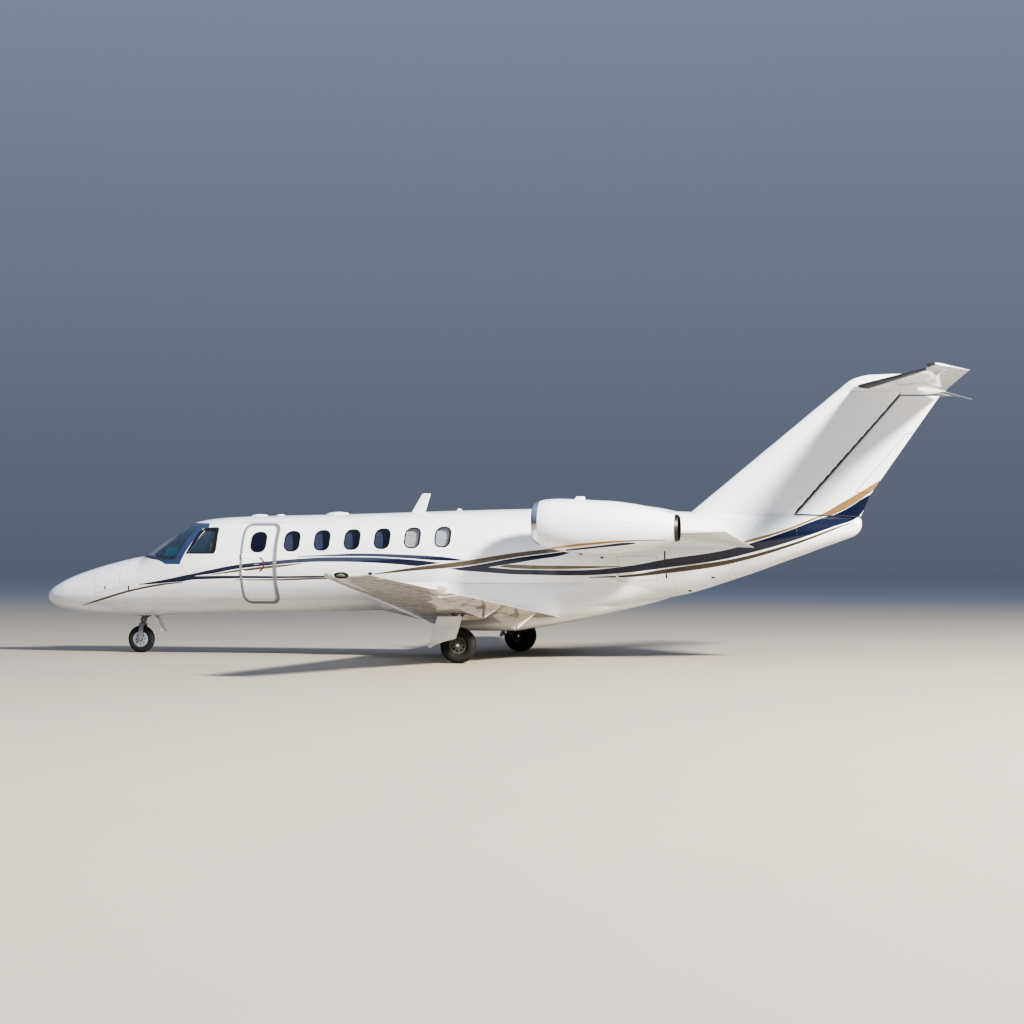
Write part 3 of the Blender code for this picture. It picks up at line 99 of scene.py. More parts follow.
# %% Node helpers
def add(tree, kind, inputs=None, **settings):
    """A node with its settings; each input is a value or another node's socket."""
    made = tree.nodes.new(kind)
    for name, value in settings.items():
        setattr(made, name, value)
    for name, value in (inputs or {}).items():
        if isinstance(value, bpy.types.NodeSocket):
            tree.links.new(value, made.inputs[name])
        else:
            made.inputs[name].default_value = value
    return made


def calc(tree, operation, *values):
    """A Math node's result."""
    return add(tree, "ShaderNodeMath", dict(enumerate(values)), operation=operation).outputs[0]


def mix_colours(tree, share, first, second, blend="MIX"):
    inputs = {0: share, 6: first, 7: second}
    return add(tree, "ShaderNodeMix", inputs, data_type="RGBA", blend_type=blend).outputs[2]


def shaded(tree, colour, shade):
    """A colour made a little darker or lighter."""
    return mix_colours(tree, 1.0, colour, shade, "MULTIPLY")


def ranged(tree, value, low, high, start=0.0, end=1.0):
    """A value between start and end, turned into one between low and high."""
    return add(tree, "ShaderNodeMapRange", {0: value, 1: start, 2: end, 3: low, 4: high}).outputs[0]


def noise(tree, place, scale, detail):
    return add(tree, "ShaderNodeTexNoise", {"Vector": place, "Scale": scale, "Detail": detail}).outputs[0]


def feed(tree, node, **results):
    """Links results to a node's inputs. An underscore in a name stands for a space."""
    for label, result in results.items():
        tree.links.new(result, node.inputs[label.replace("_", " ")])


def new_group(name, inputs, outputs):
    """An empty shader node group. Inputs and outputs: name, kind, and an input's first value."""
    tree = bpy.data.node_groups.new(name, "ShaderNodeTree")
    for label, kind, value in inputs:
        socket = tree.interface.new_socket(label, in_out="INPUT", socket_type="NodeSocket" + kind)
        if value is not None:
            socket.default_value = value
    for label, kind in outputs:
        tree.interface.new_socket(label, in_out="OUTPUT", socket_type="NodeSocket" + kind)
    return tree, tree.nodes.new("NodeGroupInput"), tree.nodes.new("NodeGroupOutput")


def rgb(red, green, blue):
    """A colour as it looks on a screen, from 0 to 255, turned into the renderer's own scale."""
    linear = []
    for value in (red, green, blue):
        part = value / 255
        linear.append(part / 12.92 if part <= 0.04045 else ((part + 0.055) / 1.055) ** 2.4)
    return (*linear, 1.0)


def new_material(name, **values):
    """A material with a Principled BSDF whose plain values are set on its own sockets."""
    material = bpy.data.materials.new(name)
    material.use_nodes = True
    shader = material.node_tree.nodes["Principled BSDF"]
    for label, value in values.items():
        shader.inputs[label.replace("_", " ")].default_value = value
    return material, material.node_tree, shader


def object_coordinates(tree):
    return tree.nodes.new("ShaderNodeTexCoord").outputs["Object"]


print("node helpers ready")

# %% Floor, sky and light
FLOOR_COLOUR = rgb(164, 157, 146)
RIM_COLOUR = rgb(140, 143, 150)
FLOOR_RADIUS, FADE_FROM, FADE_TO = 240.0, 22.0, 70.0
SKY_COLOUR = rgb(178, 189, 212)
SKY_STRENGTH = 0.62
SKY_FROM, SKY_TO, SKY_LOW, SKY_HIGH = -0.1, 0.9, 0.30, 1.50
KEY_LIGHT = {"place": (35.0, -24.0, 27.0), "size": 6.0, "watts": 62000.0, "colour": (1.0, 0.955, 0.885)}
FILL_LIGHT = {"place": (-16.0, -34.0, 9.0), "size": 16.0, "watts": 1200.0, "colour": (0.86, 0.92, 1.0)}
LAMPS_POINT_AT = Vector((0.5, 0, 1.5))


def make_floor():
    bm = bmesh.new()
    bmesh.ops.create_circle(bm, cap_ends=True, segments=96, radius=FLOOR_RADIUS)
    mesh = bpy.data.meshes.new("studio_floor")
    bm.to_mesh(mesh)
    bm.free()
    return shown("studio_floor", mesh)


def make_floor_material():
    material, tree, shader = new_material("pale_floor", Roughness=0.85)
    place = object_coordinates(tree)
    away = add(tree, "ShaderNodeVectorMath", {0: place}, operation="LENGTH").outputs["Value"]
    reach = {0: away, 1: FADE_FROM, 2: FADE_TO}
    fade = add(tree, "ShaderNodeMapRange", reach, interpolation_type="SMOOTHSTEP").outputs[0]
    paper = mix_colours(tree, fade, FLOOR_COLOUR, RIM_COLOUR)
    grain = ranged(tree, noise(tree, place, 0.35, 6.0), 0.97, 1.03)
    feed(tree, shader, Base_Color=shaded(tree, paper, grain))
    return material


def make_lamp(name, place, size, watts, colour):
    data = bpy.data.lights.new(name, "AREA")
    data.shape = "DISK"
    data.size = size
    data.energy = watts
    data.color = colour
    lamp = shown(name, data)
    lamp.location = place
    lamp.rotation_euler = (LAMPS_POINT_AT - Vector(place)).to_track_quat("-Z", "Y").to_euler()


def make_sky():
    """An even cool sky, a little brighter towards the top, that fills the shade."""
    world = bpy.data.worlds.new("soft_sky")
    bpy.context.scene.world = world
    world.use_nodes = True
    tree = world.node_tree
    background = tree.nodes["Background"]
    way = tree.nodes.new("ShaderNodeTexCoord").outputs["Generated"]
    height = add(tree, "ShaderNodeSeparateXYZ", {0: way}).outputs[2]
    lift = ranged(tree, height, SKY_LOW, SKY_HIGH, SKY_FROM, SKY_TO)
    feed(tree, background, Color=shaded(tree, SKY_COLOUR, lift))
    background.inputs["Strength"].default_value = SKY_STRENGTH


floor = make_floor()
floor.data.materials.append(make_floor_material())
make_lamp("key_lamp", **KEY_LIGHT)
make_lamp("fill_lamp", **FILL_LIGHT)
make_sky()
bpy.context.scene.view_settings.look = "AgX - High Contrast"
print("floor and lamps made")

# %% [markdown]
# ## Shapes
# The hull, its fairing and the engine pods are lofts: a few sections joined by smooth curves.
# The tables are the frame's own, so the fine skin lies on the solid that it covers. Between two
# sections a cubic curve is used whose slopes are harmonic means, because it never overshoots
# and so can't put a wave into the skin. Splines or subdivision would be quicker to set up, but
# they would pull the skin inwards at the tight radii of the nose.


# %% Smooth curves and lofts
def smooth_curve(rows):
    """A function that gives a table's other columns at any place along its first one."""
    table = np.array(rows, float)
    places, values = table[:, 0], table[:, 1:]
    steps = np.diff(values, axis=0) / np.diff(places)[:, None]
    both = steps[:-1] + steps[1:]
    product = steps[:-1] * steps[1:]
    middle = np.where(product > 0, 2 * product / np.where(both == 0, 1, both), 0)
    slopes = np.vstack([steps[:1], middle, steps[-1:]])

    def at(place):
        where = np.clip(np.asarray(place, float), places[0], places[-1])
        k = np.clip(np.searchsorted(places, where, side="right") - 1, 0, len(places) - 2)
        span = (places[k + 1] - places[k])[..., None]
        t = (where - places[k])[..., None] / span
        start, end = values[k], values[k + 1]
        bend = (t**3 - 2 * t**2 + t) * slopes[k] + (t**3 - t**2) * slopes[k + 1]
        return (2 * t**3 - 3 * t**2 + 1) * start + (3 * t**2 - 2 * t**3) * end + span * bend

    return at


def straight_curve(rows):
    """The same with straight lines between the rows, for wings."""
    table = np.array(rows, float)

    def at(place):
        columns = [np.interp(place, table[:, 0], table[:, k]) for k in range(1, table.shape[1])]
        return np.stack(columns, axis=-1)

    return at


def steps_between(start, end, size, extra=()):
    """Places from start to end in even steps, with some more that matter."""
    even = np.linspace(start, end, max(2, round((end - start) / size) + 1))
    inner = [p for p in extra if start + size / 4 < p < end - size / 4]
    return np.unique(np.round(np.concatenate([even, inner]), 6))


print("curves ready")

# %% [markdown]
# Every shape becomes a mesh from its own points and faces. A loft joins rings of points with
# triangles, because four points on a curved skin don't lie in a plane, and a four-sided face
# would be split in a way that can't be foreseen.

# %% Meshes from points
def whole_turn(steps):
    """Angles in even steps round a circle."""
    return 2 * np.pi * np.arange(steps) / steps


def make_object(name, points, faces):
    """An object from points in stations. Its mesh is moved to the frame's own origin."""
    mesh = bpy.data.meshes.new(name)
    points = np.asarray(points, float) - (MID_STATION, 0, 0)
    mesh.from_pydata(points.tolist(), [], [tuple(int(k) for k in face) for face in faces])
    mesh.update()
    return shown(name, mesh)


def outwards(made):
    """Turns all of an object's faces outwards."""
    bm = bmesh.new()
    bm.from_mesh(made.data)
    bmesh.ops.recalc_face_normals(bm, faces=bm.faces)
    bm.to_mesh(made.data)
    bm.free()
    return made


def loft(name, rings, closed=False):
    """A skin through rings of points. Closed joins the last ring to the first one."""
    rings = np.asarray(rings, float)
    count, sides = rings.shape[:2]
    faces = []
    for i in range(count if closed else count - 1):
        low, high = i * sides, (i + 1) % count * sides
        for k in range(sides):
            after = (k + 1) % sides
            faces.append((low + k, low + after, high + after))
            faces.append((low + k, high + after, high + k))
    if not closed:
        faces.append(tuple(range(sides)))
        faces.append(tuple(range(count * sides - 1, (count - 1) * sides - 1, -1)))
    return outwards(make_object(name, rings.reshape(-1, 3), faces))


def join_objects(name, pieces):
    """Several objects as one, with their materials kept."""
    with bpy.context.temp_override(
        active_object=pieces[0], selected_editable_objects=pieces, selected_objects=pieces
    ):
        bpy.ops.object.join()
    pieces[0].name = name
    pieces[0].data.name = name
    return pieces[0]


print("meshes ready")

# %% [markdown]
# The left side is modelled and the right side is its reflection. Openings are cut by exact
# Booleans. These are slower than the fast kind, but they leave no torn edges in thin walls.

# %% Copies and cuts
def copied(source, name):
    """A copy of a piece, with a mesh of its own."""
    twin = source.copy()
    twin.data = source.data.copy()
    twin.name = name
    twin.data.name = name
    bpy.context.scene.collection.objects.link(twin)
    return twin


def mirrored(source, name):
    """A copy of a left-hand piece, reflected to the right."""
    twin = copied(source, name)
    twin.data.transform(Matrix.Scale(-1, 4, Vector((0, 1, 0))))
    twin.data.flip_normals()
    return twin


def moved_to_right(source, name):
    """The same, without the left-hand piece."""
    twin = mirrored(source, name)
    bpy.data.objects.remove(source, do_unlink=True)
    return twin


def applied(piece):
    """Makes a piece's modifiers part of its mesh."""
    result = bpy.data.meshes.new_from_object(piece.evaluated_get(bpy.context.evaluated_depsgraph_get()))
    piece.modifiers.clear()
    piece.data = result
    return piece


def combine(target, others, operation):
    """An exact Boolean, applied. The cutters' faces keep their own material numbers."""
    for other in others:
        cutter = target.modifiers.new("cut", "BOOLEAN")
        cutter.operation = operation
        cutter.solver = "EXACT"
        cutter.material_mode = "INDEX"
        cutter.object = other
    applied(target)
    for other in others:
        bpy.data.objects.remove(other, do_unlink=True)
    return target


def cut(target, *others):
    return combine(target, others, "DIFFERENCE")


def overlap(target, *others):
    return combine(target, others, "INTERSECT")


print("cuts ready")

# %% [markdown]
# The fittings are built from a few plain bodies: an outline pushed along an axis, a block, a
# round bar or cone, and a profile turned about an axis.

# %% Plain bodies
def prism(name, outline, low, high, axis="Y"):
    """An outline of two coordinates, pushed along the third axis from low to high."""
    order = {"X": (2, 0, 1), "Y": (0, 2, 1), "Z": (0, 1, 2)}[axis]
    rings = []
    for level in (low, high):
        rows = np.column_stack([np.asarray(outline, float), np.full(len(outline), level)])
        rings.append(rows[:, order])
    return loft(name, rings)


def block(name, low, high):
    (x0, y0, z0), (x1, y1, z1) = low, high
    return prism(name, [(x0, z0), (x1, z0), (x1, z1), (x0, z1)], y0, y1)


def bar(name, start, end, radius, end_radius=None, sides=24):
    """A round bar or cone between two points."""
    start, end = Vector(start), Vector(end)
    turn = (end - start).to_track_quat("Z", "Y")
    rings = []
    for centre, size in ((start, radius), (end, radius if end_radius is None else end_radius)):
        round_it = [Vector((size * math.cos(a), size * math.sin(a), 0)) for a in whole_turn(sides)]
        rings.append([centre + turn @ point for point in round_it])
    return loft(name, rings)


def turned(name, profile, centre, sides, axis="Y"):
    """A closed profile of (place along the axis, radius), turned about an axis."""
    rings = []
    for turn in whole_turn(sides):
        c, s = math.cos(turn), math.sin(turn)
        if axis == "Y":
            rings.append([(r * c, along, r * s) for along, r in profile])
        else:
            rings.append([(along, r * c, r * s) for along, r in profile])
    made = loft(name, np.array(rings) + np.array(centre), closed=True)
    bm = bmesh.new()
    bm.from_mesh(made.data)
    bmesh.ops.remove_doubles(bm, verts=bm.verts, dist=1e-6)
    bmesh.ops.dissolve_degenerate(bm, edges=bm.edges, dist=1e-7)
    bmesh.ops.recalc_face_normals(bm, faces=bm.faces)
    bm.to_mesh(made.data)
    bm.free()
    return made


def rounded_outline(low, high, radius, corner_points=9):
    """A rectangle with round corners, as pairs of coordinates."""
    centres = [
        (high[0] - radius, high[1] - radius, 0),
        (low[0] + radius, high[1] - radius, 90),
        (low[0] + radius, low[1] + radius, 180),
        (high[0] - radius, low[1] + radius, 270),
    ]
    outline = []
    for x, z, first in centres:
        for k in range(corner_points + 1):
            turn = math.radians(first + 90 * k / corner_points)
            outline.append((x + radius * math.cos(turn), z + radius * math.sin(turn)))
    return outline


def grown(outline, by):
    """The outline moved outwards by a distance."""
    points = np.asarray(outline, float)
    before = points - np.roll(points, 1, axis=0)
    after = np.roll(points, -1, axis=0) - points
    turned_area = np.sum(points[:, 0] * np.roll(points[:, 1], -1) - np.roll(points[:, 0], -1) * points[:, 1])
    side = 1 if turned_area > 0 else -1
    before, after = (d / np.linalg.norm(d, axis=1)[:, None] for d in (before, after))
    normals = [np.column_stack([d[:, 1], -d[:, 0]]) * side for d in (before, after)]
    both = normals[0] + normals[1]
    return (points + both * (2 * by / np.sum(both**2, axis=1))[:, None]).tolist()


print("plain bodies ready")

# %% [markdown]
# Each piece is told which body carries it and which solids it stands for. It is shaded smooth, and only its
# really sharp edges are kept.

# %% Finishing a piece
def with_materials(piece, *materials):
    for material in materials:
        piece.data.materials.append(material)
    return piece


def finish_piece(piece, body, slot, materials, *nodes, sharp=35):
    """Gives a piece its finish, its body and the solids that it stands for."""
    for material in materials if isinstance(materials, (list, tuple)) else [materials]:
        if not piece.data.materials or material not in piece.data.materials[:]:
            piece.data.materials.append(material)
    piece.data.shade_smooth()
    piece.data.set_sharp_from_angle(angle=math.radians(sharp))
    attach(piece, body)
    if nodes:
        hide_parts(*nodes)
    return piece


print("shape helpers ready")

# %% [markdown]
# The hull is described by five columns. A section isn't round: its widest line lies above the
# middle, so the upper and the lower half are two half ellipses of different height. The true
# outward direction of this surface is known everywhere, and it is written into the mesh after
# the openings are cut. Without that, the long thin triangles that a cut leaves behind would
# show as creases in the paint's reflections.

# %% Hull surface
# Each row: station, bottom, top, half width, height of the widest line
HULL = [
    (0.010, 0.955, 0.975, 0.010, 0.965),
    (0.025, 0.890, 1.035, 0.080, 0.964),
    (0.070, 0.842, 1.076, 0.150, 0.964),
    (0.180, 0.779, 1.152, 0.235, 0.967),
    (0.390, 0.724, 1.262, 0.330, 0.980),
    (0.650, 0.680, 1.363, 0.405, 1.002),
    (1.080, 0.640, 1.495, 0.505, 1.055),
    (1.570, 0.620, 1.614, 0.602, 1.125),
    (1.780, 0.622, 1.655, 0.642, 1.165),
    (2.000, 0.632, 1.800, 0.678, 1.220),
    (2.360, 0.644, 2.050, 0.733, 1.310),
    (2.540, 0.650, 2.165, 0.758, 1.352),
    (2.740, 0.656, 2.240, 0.780, 1.395),
    (3.100, 0.668, 2.295, 0.806, 1.460),
    (3.430, 0.678, 2.317, 0.816, 1.497),
    (5.600, 0.740, 2.372, 0.816, 1.556),
    (7.400, 0.792, 2.428, 0.816, 1.610),
    (8.600, 0.828, 2.456, 0.813, 1.642),
    (9.300, 0.850, 2.462, 0.790, 1.660),
    (10.000, 0.893, 2.452, 0.732, 1.682),
    (10.940, 1.040, 2.412, 0.625, 1.738),
    (11.800, 1.300, 2.385, 0.500, 1.850),
    (12.800, 1.658, 2.354, 0.330, 2.008),
    (13.300, 1.845, 2.340, 0.235, 2.094),
    (13.600, 1.955, 2.334, 0.170, 2.150),
    (13.760, 2.020, 2.325, 0.130, 2.180),
    (13.850, 2.105, 2.305, 0.085, 2.205),
    (13.872, 2.165, 2.270, 0.045, 2.215),
]
HULL_STATIONS = [row[0] for row in HULL]
HULL_SIDES = 112
RADOME_AFT, NOSE_AFT, COCKPIT_AFT, CABIN_AFT = 0.650, 1.600, 3.430, 8.600
SEAM = 0.0012
CABIN_WALL = 0.085
SKIN_TOLERANCE, SKIN_DEPTH, FACING_LIMIT = 0.004, 0.010, 0.9
HULL_STEP, HOLLOW_STEP, PANEL_STEP, RING_STEP = 0.07, 0.14, 0.05, 0.03
CUTTER_REACH = 1.3
LEAST_REACH = 0.004
hull_rows = smooth_curve(HULL)


def hull_rings(stations, inset=0.0):
    bottom, top, half, widest = hull_rows(stations).T[..., None]
    turn = whole_turn(HULL_SIDES)
    reach = np.maximum(np.where(np.sin(turn) > 0, top - widest, widest - bottom) - inset, LEAST_REACH)
    across = np.maximum(half - inset, LEAST_REACH) * np.cos(turn)
    along = np.broadcast_to(np.asarray(stations, float)[:, None], across.shape)
    return np.stack([along, across, widest + reach * np.sin(turn)], axis=-1)


def hull_half_width(station, height, inset=0.0):
    bottom, top, half, widest = np.moveaxis(hull_rows(station), -1, 0)
    reach = np.where(np.asarray(height) > widest, top - widest, widest - bottom) - inset
    level = np.clip((height - widest) / reach, -1, 1)
    return (half - inset) * np.sqrt(1 - level**2)


def hull_level(points):
    bottom, top, half, widest = hull_rows(points[:, 0]).T
    reach = np.where(points[:, 2] > widest, top - widest, widest - bottom)
    return (points[:, 1] / half) ** 2 + ((points[:, 2] - widest) / reach) ** 2 - 1


print("hull formula ready")

# %% [markdown]
# A formula says how far a point lies inside or outside the hull. The way in which it grows
# fastest is the skin's own outward direction, so small steps along each axis measure it.

# %% True directions of the skin
def slope_of(level, points):
    """The direction in which a level grows fastest, and the distance to where it is zero."""
    step = 0.0005
    slopes = []
    for k in range(3):
        move = np.zeros(3)
        move[k] = step
        slopes.append((level(points + move) - level(points - move)) / (2 * step))
    slope = np.stack(slopes, axis=-1)
    size = np.maximum(np.linalg.norm(slope, axis=1), 1e-9)
    return slope / size[:, None], level(points) / size


def all_values(items, label, width=3, kind=float):
    """One property of all of a mesh's items, as an array."""
    values = np.empty(len(items) * width, kind)
    items.foreach_get(label, values)
    return values.reshape(-1, width) if width > 1 else values


def in_stations(items, label):
    return all_values(items, label) + np.array((MID_STATION, 0, 0))


def true_normals(piece, level):
    """Writes the surface's own directions to the faces that lie on it."""
    mesh = piece.data
    direction, distance = slope_of(level, in_stations(mesh.polygons, "center"))
    agree = np.sum(direction * all_values(mesh.polygons, "normal"), axis=1)
    on_skin = (np.abs(distance) < SKIN_TOLERANCE) & (agree > FACING_LIMIT)
    vertex_direction, _ = slope_of(level, in_stations(mesh.vertices, "co"))
    used = np.repeat(on_skin, all_values(mesh.polygons, "loop_total", 1, int))
    at_corners = vertex_direction[all_values(mesh.loops, "vertex_index", 1, int)]
    mesh.normals_split_custom_set(np.where(used[:, None], at_corners, 0.0).tolist())
    return piece


print("skin directions ready")

# %% [markdown]
# The same sections give solids, tubes with a wall, thin panels of skin and rings that lie on
# it. A panel is a whole band round the hull, cut down to an outline that is pushed through it.

# %% Pieces of the hull
def hull_solid(name, start, end, inset=0.0, size=HULL_STEP):
    return loft(name, hull_rings(steps_between(start, end, size, HULL_STATIONS), inset))


def hull_tube(name, start, end, inset, hollow_start, hollow_end):
    """A hull section as one closed wall. A hollow that reaches past an end leaves it open."""
    outer = hull_rings(steps_between(start, end, HULL_STEP, HULL_STATIONS))
    low, high = max(start, hollow_start), min(end, hollow_end)
    inner = hull_rings(steps_between(low, high, HOLLOW_STEP, HULL_STATIONS), inset)[::-1]
    if hollow_start < start:
        return loft(name, np.concatenate([inner, outer]))
    return loft(name, np.concatenate([outer, inner]))


def skin_layer(name, stations, outer, inner):
    """A closed band round the hull between two depths under its surface."""
    rings = [hull_rings(stations, outer), hull_rings(stations, inner)[::-1]]
    return loft(name, np.concatenate(rings), closed=True)


def skin_panel(name, start, end, thickness, cutter, lift=0.0):
    """A piece of the hull's own skin inside a cutter."""
    stations = steps_between(start, end, PANEL_STEP, HULL_STATIONS)
    return overlap(skin_layer(name, stations, -lift, thickness), cutter)


def side_cutter(outline, inner=0.02):
    return prism("cutter", outline, -CUTTER_REACH, -inner)


def on_left_skin(outline, lift=0.0):
    """Points of the left side's skin behind an outline of stations and heights."""
    points = np.asarray(outline, float)
    y = -(hull_half_width(points[:, 0], points[:, 1]) + lift)
    return np.column_stack([points[:, 0], y, points[:, 1]])


def divided(outline, sides):
    """The outline with more points on its long sides, so that it can follow the curved skin."""
    outline = np.asarray(outline, float)
    points = []
    for start, end, side in zip(outline, np.roll(outline, -1, axis=0), sides):
        steps = max(1, math.ceil(side / RING_STEP))
        points += [start + (end - start) * k / steps for k in range(steps)]
    return np.array(points)


def skin_ring(name, inner, outer, low, high):
    """A flat ring on the left side's skin between two outlines with as many points each."""
    sides = np.linalg.norm(np.roll(outer, -1, axis=0) - np.asarray(outer), axis=1)
    inner, outer = (divided(outline, sides) for outline in (inner, outer))
    corners = ((inner, low), (outer, low), (outer, high), (inner, high))
    return loft(name, np.stack([on_left_skin(*corner) for corner in corners], axis=1), closed=True)


print("hull surface ready, widest", round(float(hull_rows(5.6)[2]), 3), "m")

# %% [markdown]
# ## Paint
# The white paint is a clear-coated finish: a slightly warm-grey white base, a smooth coat, a
# faint orange peel in the coat and a little grime that gathers low on the hull. The stripes
# are part of the same paint. They could be decals on a picture, but a picture would fix their
# sharpness, so each stripe is a pair of curves that give its lower and upper edge at every
# station. A Float Curve node holds such an edge, and a band is where the height lies between
# two of them. The painting order is the order of the table.

# %% Stripe tables
# Each row: station, lower edge, upper edge
NOSE_LINE = [
    (0.76, 0.803, 0.803), (1.18, 0.907, 0.929), (1.51, 0.999, 1.021), (1.83, 1.076, 1.096),
    (2.33, 1.164, 1.183), (2.69, 1.209, 1.209),
]
NAVY_UPPER = [
    (1.88, 1.166, 1.166), (2.14, 1.183, 1.207), (2.45, 1.212, 1.262), (2.75, 1.243, 1.325),
    (2.86, 1.307, 1.345), (3.20, 1.361, 1.416), (3.63, 1.441, 1.496), (4.21, 1.507, 1.562),
    (4.78, 1.556, 1.610), (5.25, 1.571, 1.634), (5.76, 1.567, 1.636), (6.41, 1.533, 1.613),
    (6.80, 1.504, 1.584), (7.16, 1.545, 1.545),
]
NAVY_LOWER = [
    (2.75, 1.243, 1.321), (2.86, 1.257, 1.307), (3.34, 1.280, 1.315), (3.71, 1.291, 1.317),
    (4.31, 1.294, 1.316), (5.11, 1.309, 1.325), (5.50, 1.315, 1.315),
]
LINE_ABOVE = [
    (4.69, 1.646, 1.646), (5.25, 1.660, 1.675), (5.76, 1.662, 1.697), (6.63, 1.628, 1.676),
    (7.14, 1.598, 1.647), (7.54, 1.594, 1.594),
]
LINE_BELOW_UPPER = [
    (3.20, 1.342, 1.342), (3.63, 1.391, 1.413), (4.21, 1.457, 1.486), (4.48, 1.490, 1.508),
    (4.78, 1.535, 1.535),
]
LINE_BELOW_LOWER = [(3.61, 1.257, 1.257), (4.31, 1.256, 1.268), (5.14, 1.283, 1.294), (5.58, 1.290, 1.290)]
TAUPE_BAND = [
    (5.98, 1.363, 1.363), (6.62, 1.426, 1.464), (7.54, 1.514, 1.587), (8.33, 1.652, 1.714),
    (9.04, 1.747, 1.799), (9.34, 1.789, 1.837),
]
NAVY_ARM_UPPER = [
    (7.25, 1.467, 1.467), (7.58, 1.431, 1.508), (7.93, 1.495, 1.568), (8.33, 1.558, 1.631),
    (8.77, 1.633, 1.696), (9.10, 1.686, 1.738), (9.24, 1.727, 1.727),
]
NAVY_MAIN = [
    (7.58, 1.431, 1.508), (7.94, 1.406, 1.479), (8.32, 1.382, 1.450), (8.76, 1.374, 1.442),
    (9.09, 1.368, 1.439), (9.51, 1.372, 1.443), (10.25, 1.428, 1.521), (10.80, 1.501, 1.625),
    (11.65, 1.628, 1.757), (12.12, 1.743, 1.880), (12.67, 1.899, 2.069), (13.27, 2.108, 2.309),
    (13.42, 2.165, 2.360), (13.77, 2.296, 2.546), (14.01, 2.682, 2.682),
]
LINE_BETWEEN = [
    (8.11, 1.501, 1.501), (8.24, 1.487, 1.527), (8.77, 1.467, 1.514), (9.09, 1.470, 1.512),
    (9.51, 1.483, 1.508), (10.07, 1.510, 1.510),
]
LINE_LOWER = [
    (9.56, 1.332, 1.332), (10.24, 1.350, 1.376), (10.79, 1.409, 1.467), (11.64, 1.531, 1.596),
    (11.96, 1.607, 1.657), (12.38, 1.725, 1.766), (12.95, 1.919, 1.948), (13.37, 2.089, 2.107),
    (13.75, 2.245, 2.245),
]
TAIL_LINE_IN_PAINTED_SUN = [
    (11.95, 1.888, 1.888), (12.05, 1.906, 1.923), (12.67, 2.090, 2.114), (13.18, 2.300, 2.332),
    (13.28, 2.339, 2.382), (13.44, 2.374, 2.477), (14.08, 2.775, 2.858), (14.16, 2.834, 2.911),
]
NACELLE_LINE_IN_PAINTED_SUN = [(9.09, 1.786, 1.806), (9.68, 1.848, 1.872), (10.40, 1.911, 1.922), (10.93, 1.927, 1.927)]
NACELLE_NAVY = [(9.33, 1.755, 1.772), (9.85, 1.810, 1.827), (10.40, 1.869, 1.882), (10.46, 1.879, 1.879)]

PAINT_WHITE = rgb(238, 240, 243)
PAINT_NAVY = (0.004, 0.009, 0.036, 1.0)
# The three taupe colours are one metallic taupe paint: the two darker ones are painted shade, and the gold
# one is painted sunlight on the rear stripes.
TAUPE_IN_PAINTED_SHADE = rgb(106, 98, 84)
TAUPE_IN_DEEPER_PAINTED_SHADE = rgb(78, 70, 60)
TAUPE_IN_PAINTED_SUN = rgb(168, 138, 96)
METALLIC_PAINTS = (TAUPE_IN_PAINTED_SHADE, TAUPE_IN_DEEPER_PAINTED_SHADE, TAUPE_IN_PAINTED_SUN)
HULL_BANDS = [
    (NAVY_UPPER, PAINT_NAVY, 0.0),
    (NAVY_LOWER, PAINT_NAVY, 0.0),
    (LINE_ABOVE, PAINT_NAVY, 0.0),
    (NAVY_ARM_UPPER, PAINT_NAVY, 0.0),
    (NAVY_MAIN, PAINT_NAVY, 0.0),
    (NOSE_LINE, TAUPE_IN_PAINTED_SHADE, 0.0),
    (LINE_BELOW_UPPER, TAUPE_IN_PAINTED_SHADE, 0.0),
    (LINE_BELOW_LOWER, TAUPE_IN_PAINTED_SHADE, 0.0),
    (LINE_BETWEEN, TAUPE_IN_PAINTED_SHADE, 0.0),
    (LINE_LOWER, TAUPE_IN_DEEPER_PAINTED_SHADE, 0.0),
    (TAUPE_BAND, TAUPE_IN_PAINTED_SHADE, 0.020),
    (TAIL_LINE_IN_PAINTED_SUN, TAUPE_IN_PAINTED_SUN, 0.014),
]
NACELLE_BANDS = [(NACELLE_NAVY, PAINT_NAVY, 0.0), (NACELLE_LINE_IN_PAINTED_SUN, TAUPE_IN_PAINTED_SUN, 0.0)]
print("stripes", len(HULL_BANDS) + len(NACELLE_BANDS))

# %% Stripe groups
CURVE_LOW, CURVE_HIGH = 0.7, 3.0
EDGE_SOFTNESS = 0.0015
EDGE_SPREAD = 0.0055


def edge_height(tree, station, rows, column):
    """The height of a stripe's edge, from a Float Curve over the stripe's own length."""
    start, end = rows[0][0], rows[-1][0]
    curve = add(tree, "ShaderNodeFloatCurve", {"Value": ranged(tree, station, 0.0, 1.0, start, end)})
    points = curve.mapping.curves[0].points
    for k, row in enumerate(rows):
        place = ((row[0] - start) / (end - start), (row[column] - CURVE_LOW) / (CURVE_HIGH - CURVE_LOW))
        if k in (0, len(rows) - 1):
            points[0 if k == 0 else -1].location = place
        else:
            points.new(*place)
    for point in points:
        point.handle_type = "AUTO_CLAMPED"
    curve.mapping.update()
    return ranged(tree, curve.outputs[0], CURVE_LOW, CURVE_HIGH)


def stripe_mask(tree, station, height, edges, ends, grow):
    """1 between a stripe's edges and ends, grown a little, with a thin soft border."""
    above = calc(tree, "ADD", calc(tree, "SUBTRACT", height, edges[0]), grow)
    below = calc(tree, "ADD", calc(tree, "SUBTRACT", edges[1], height), grow)
    nearest = calc(tree, "MINIMUM", above, below)
    inside = ranged(tree, nearest, 0.0, 1.0, -EDGE_SOFTNESS, EDGE_SOFTNESS)
    past_start = calc(tree, "GREATER_THAN", station, ends[0])
    before_end = calc(tree, "LESS_THAN", station, ends[1])
    return calc(tree, "MULTIPLY", inside, calc(tree, "MULTIPLY", past_start, before_end))


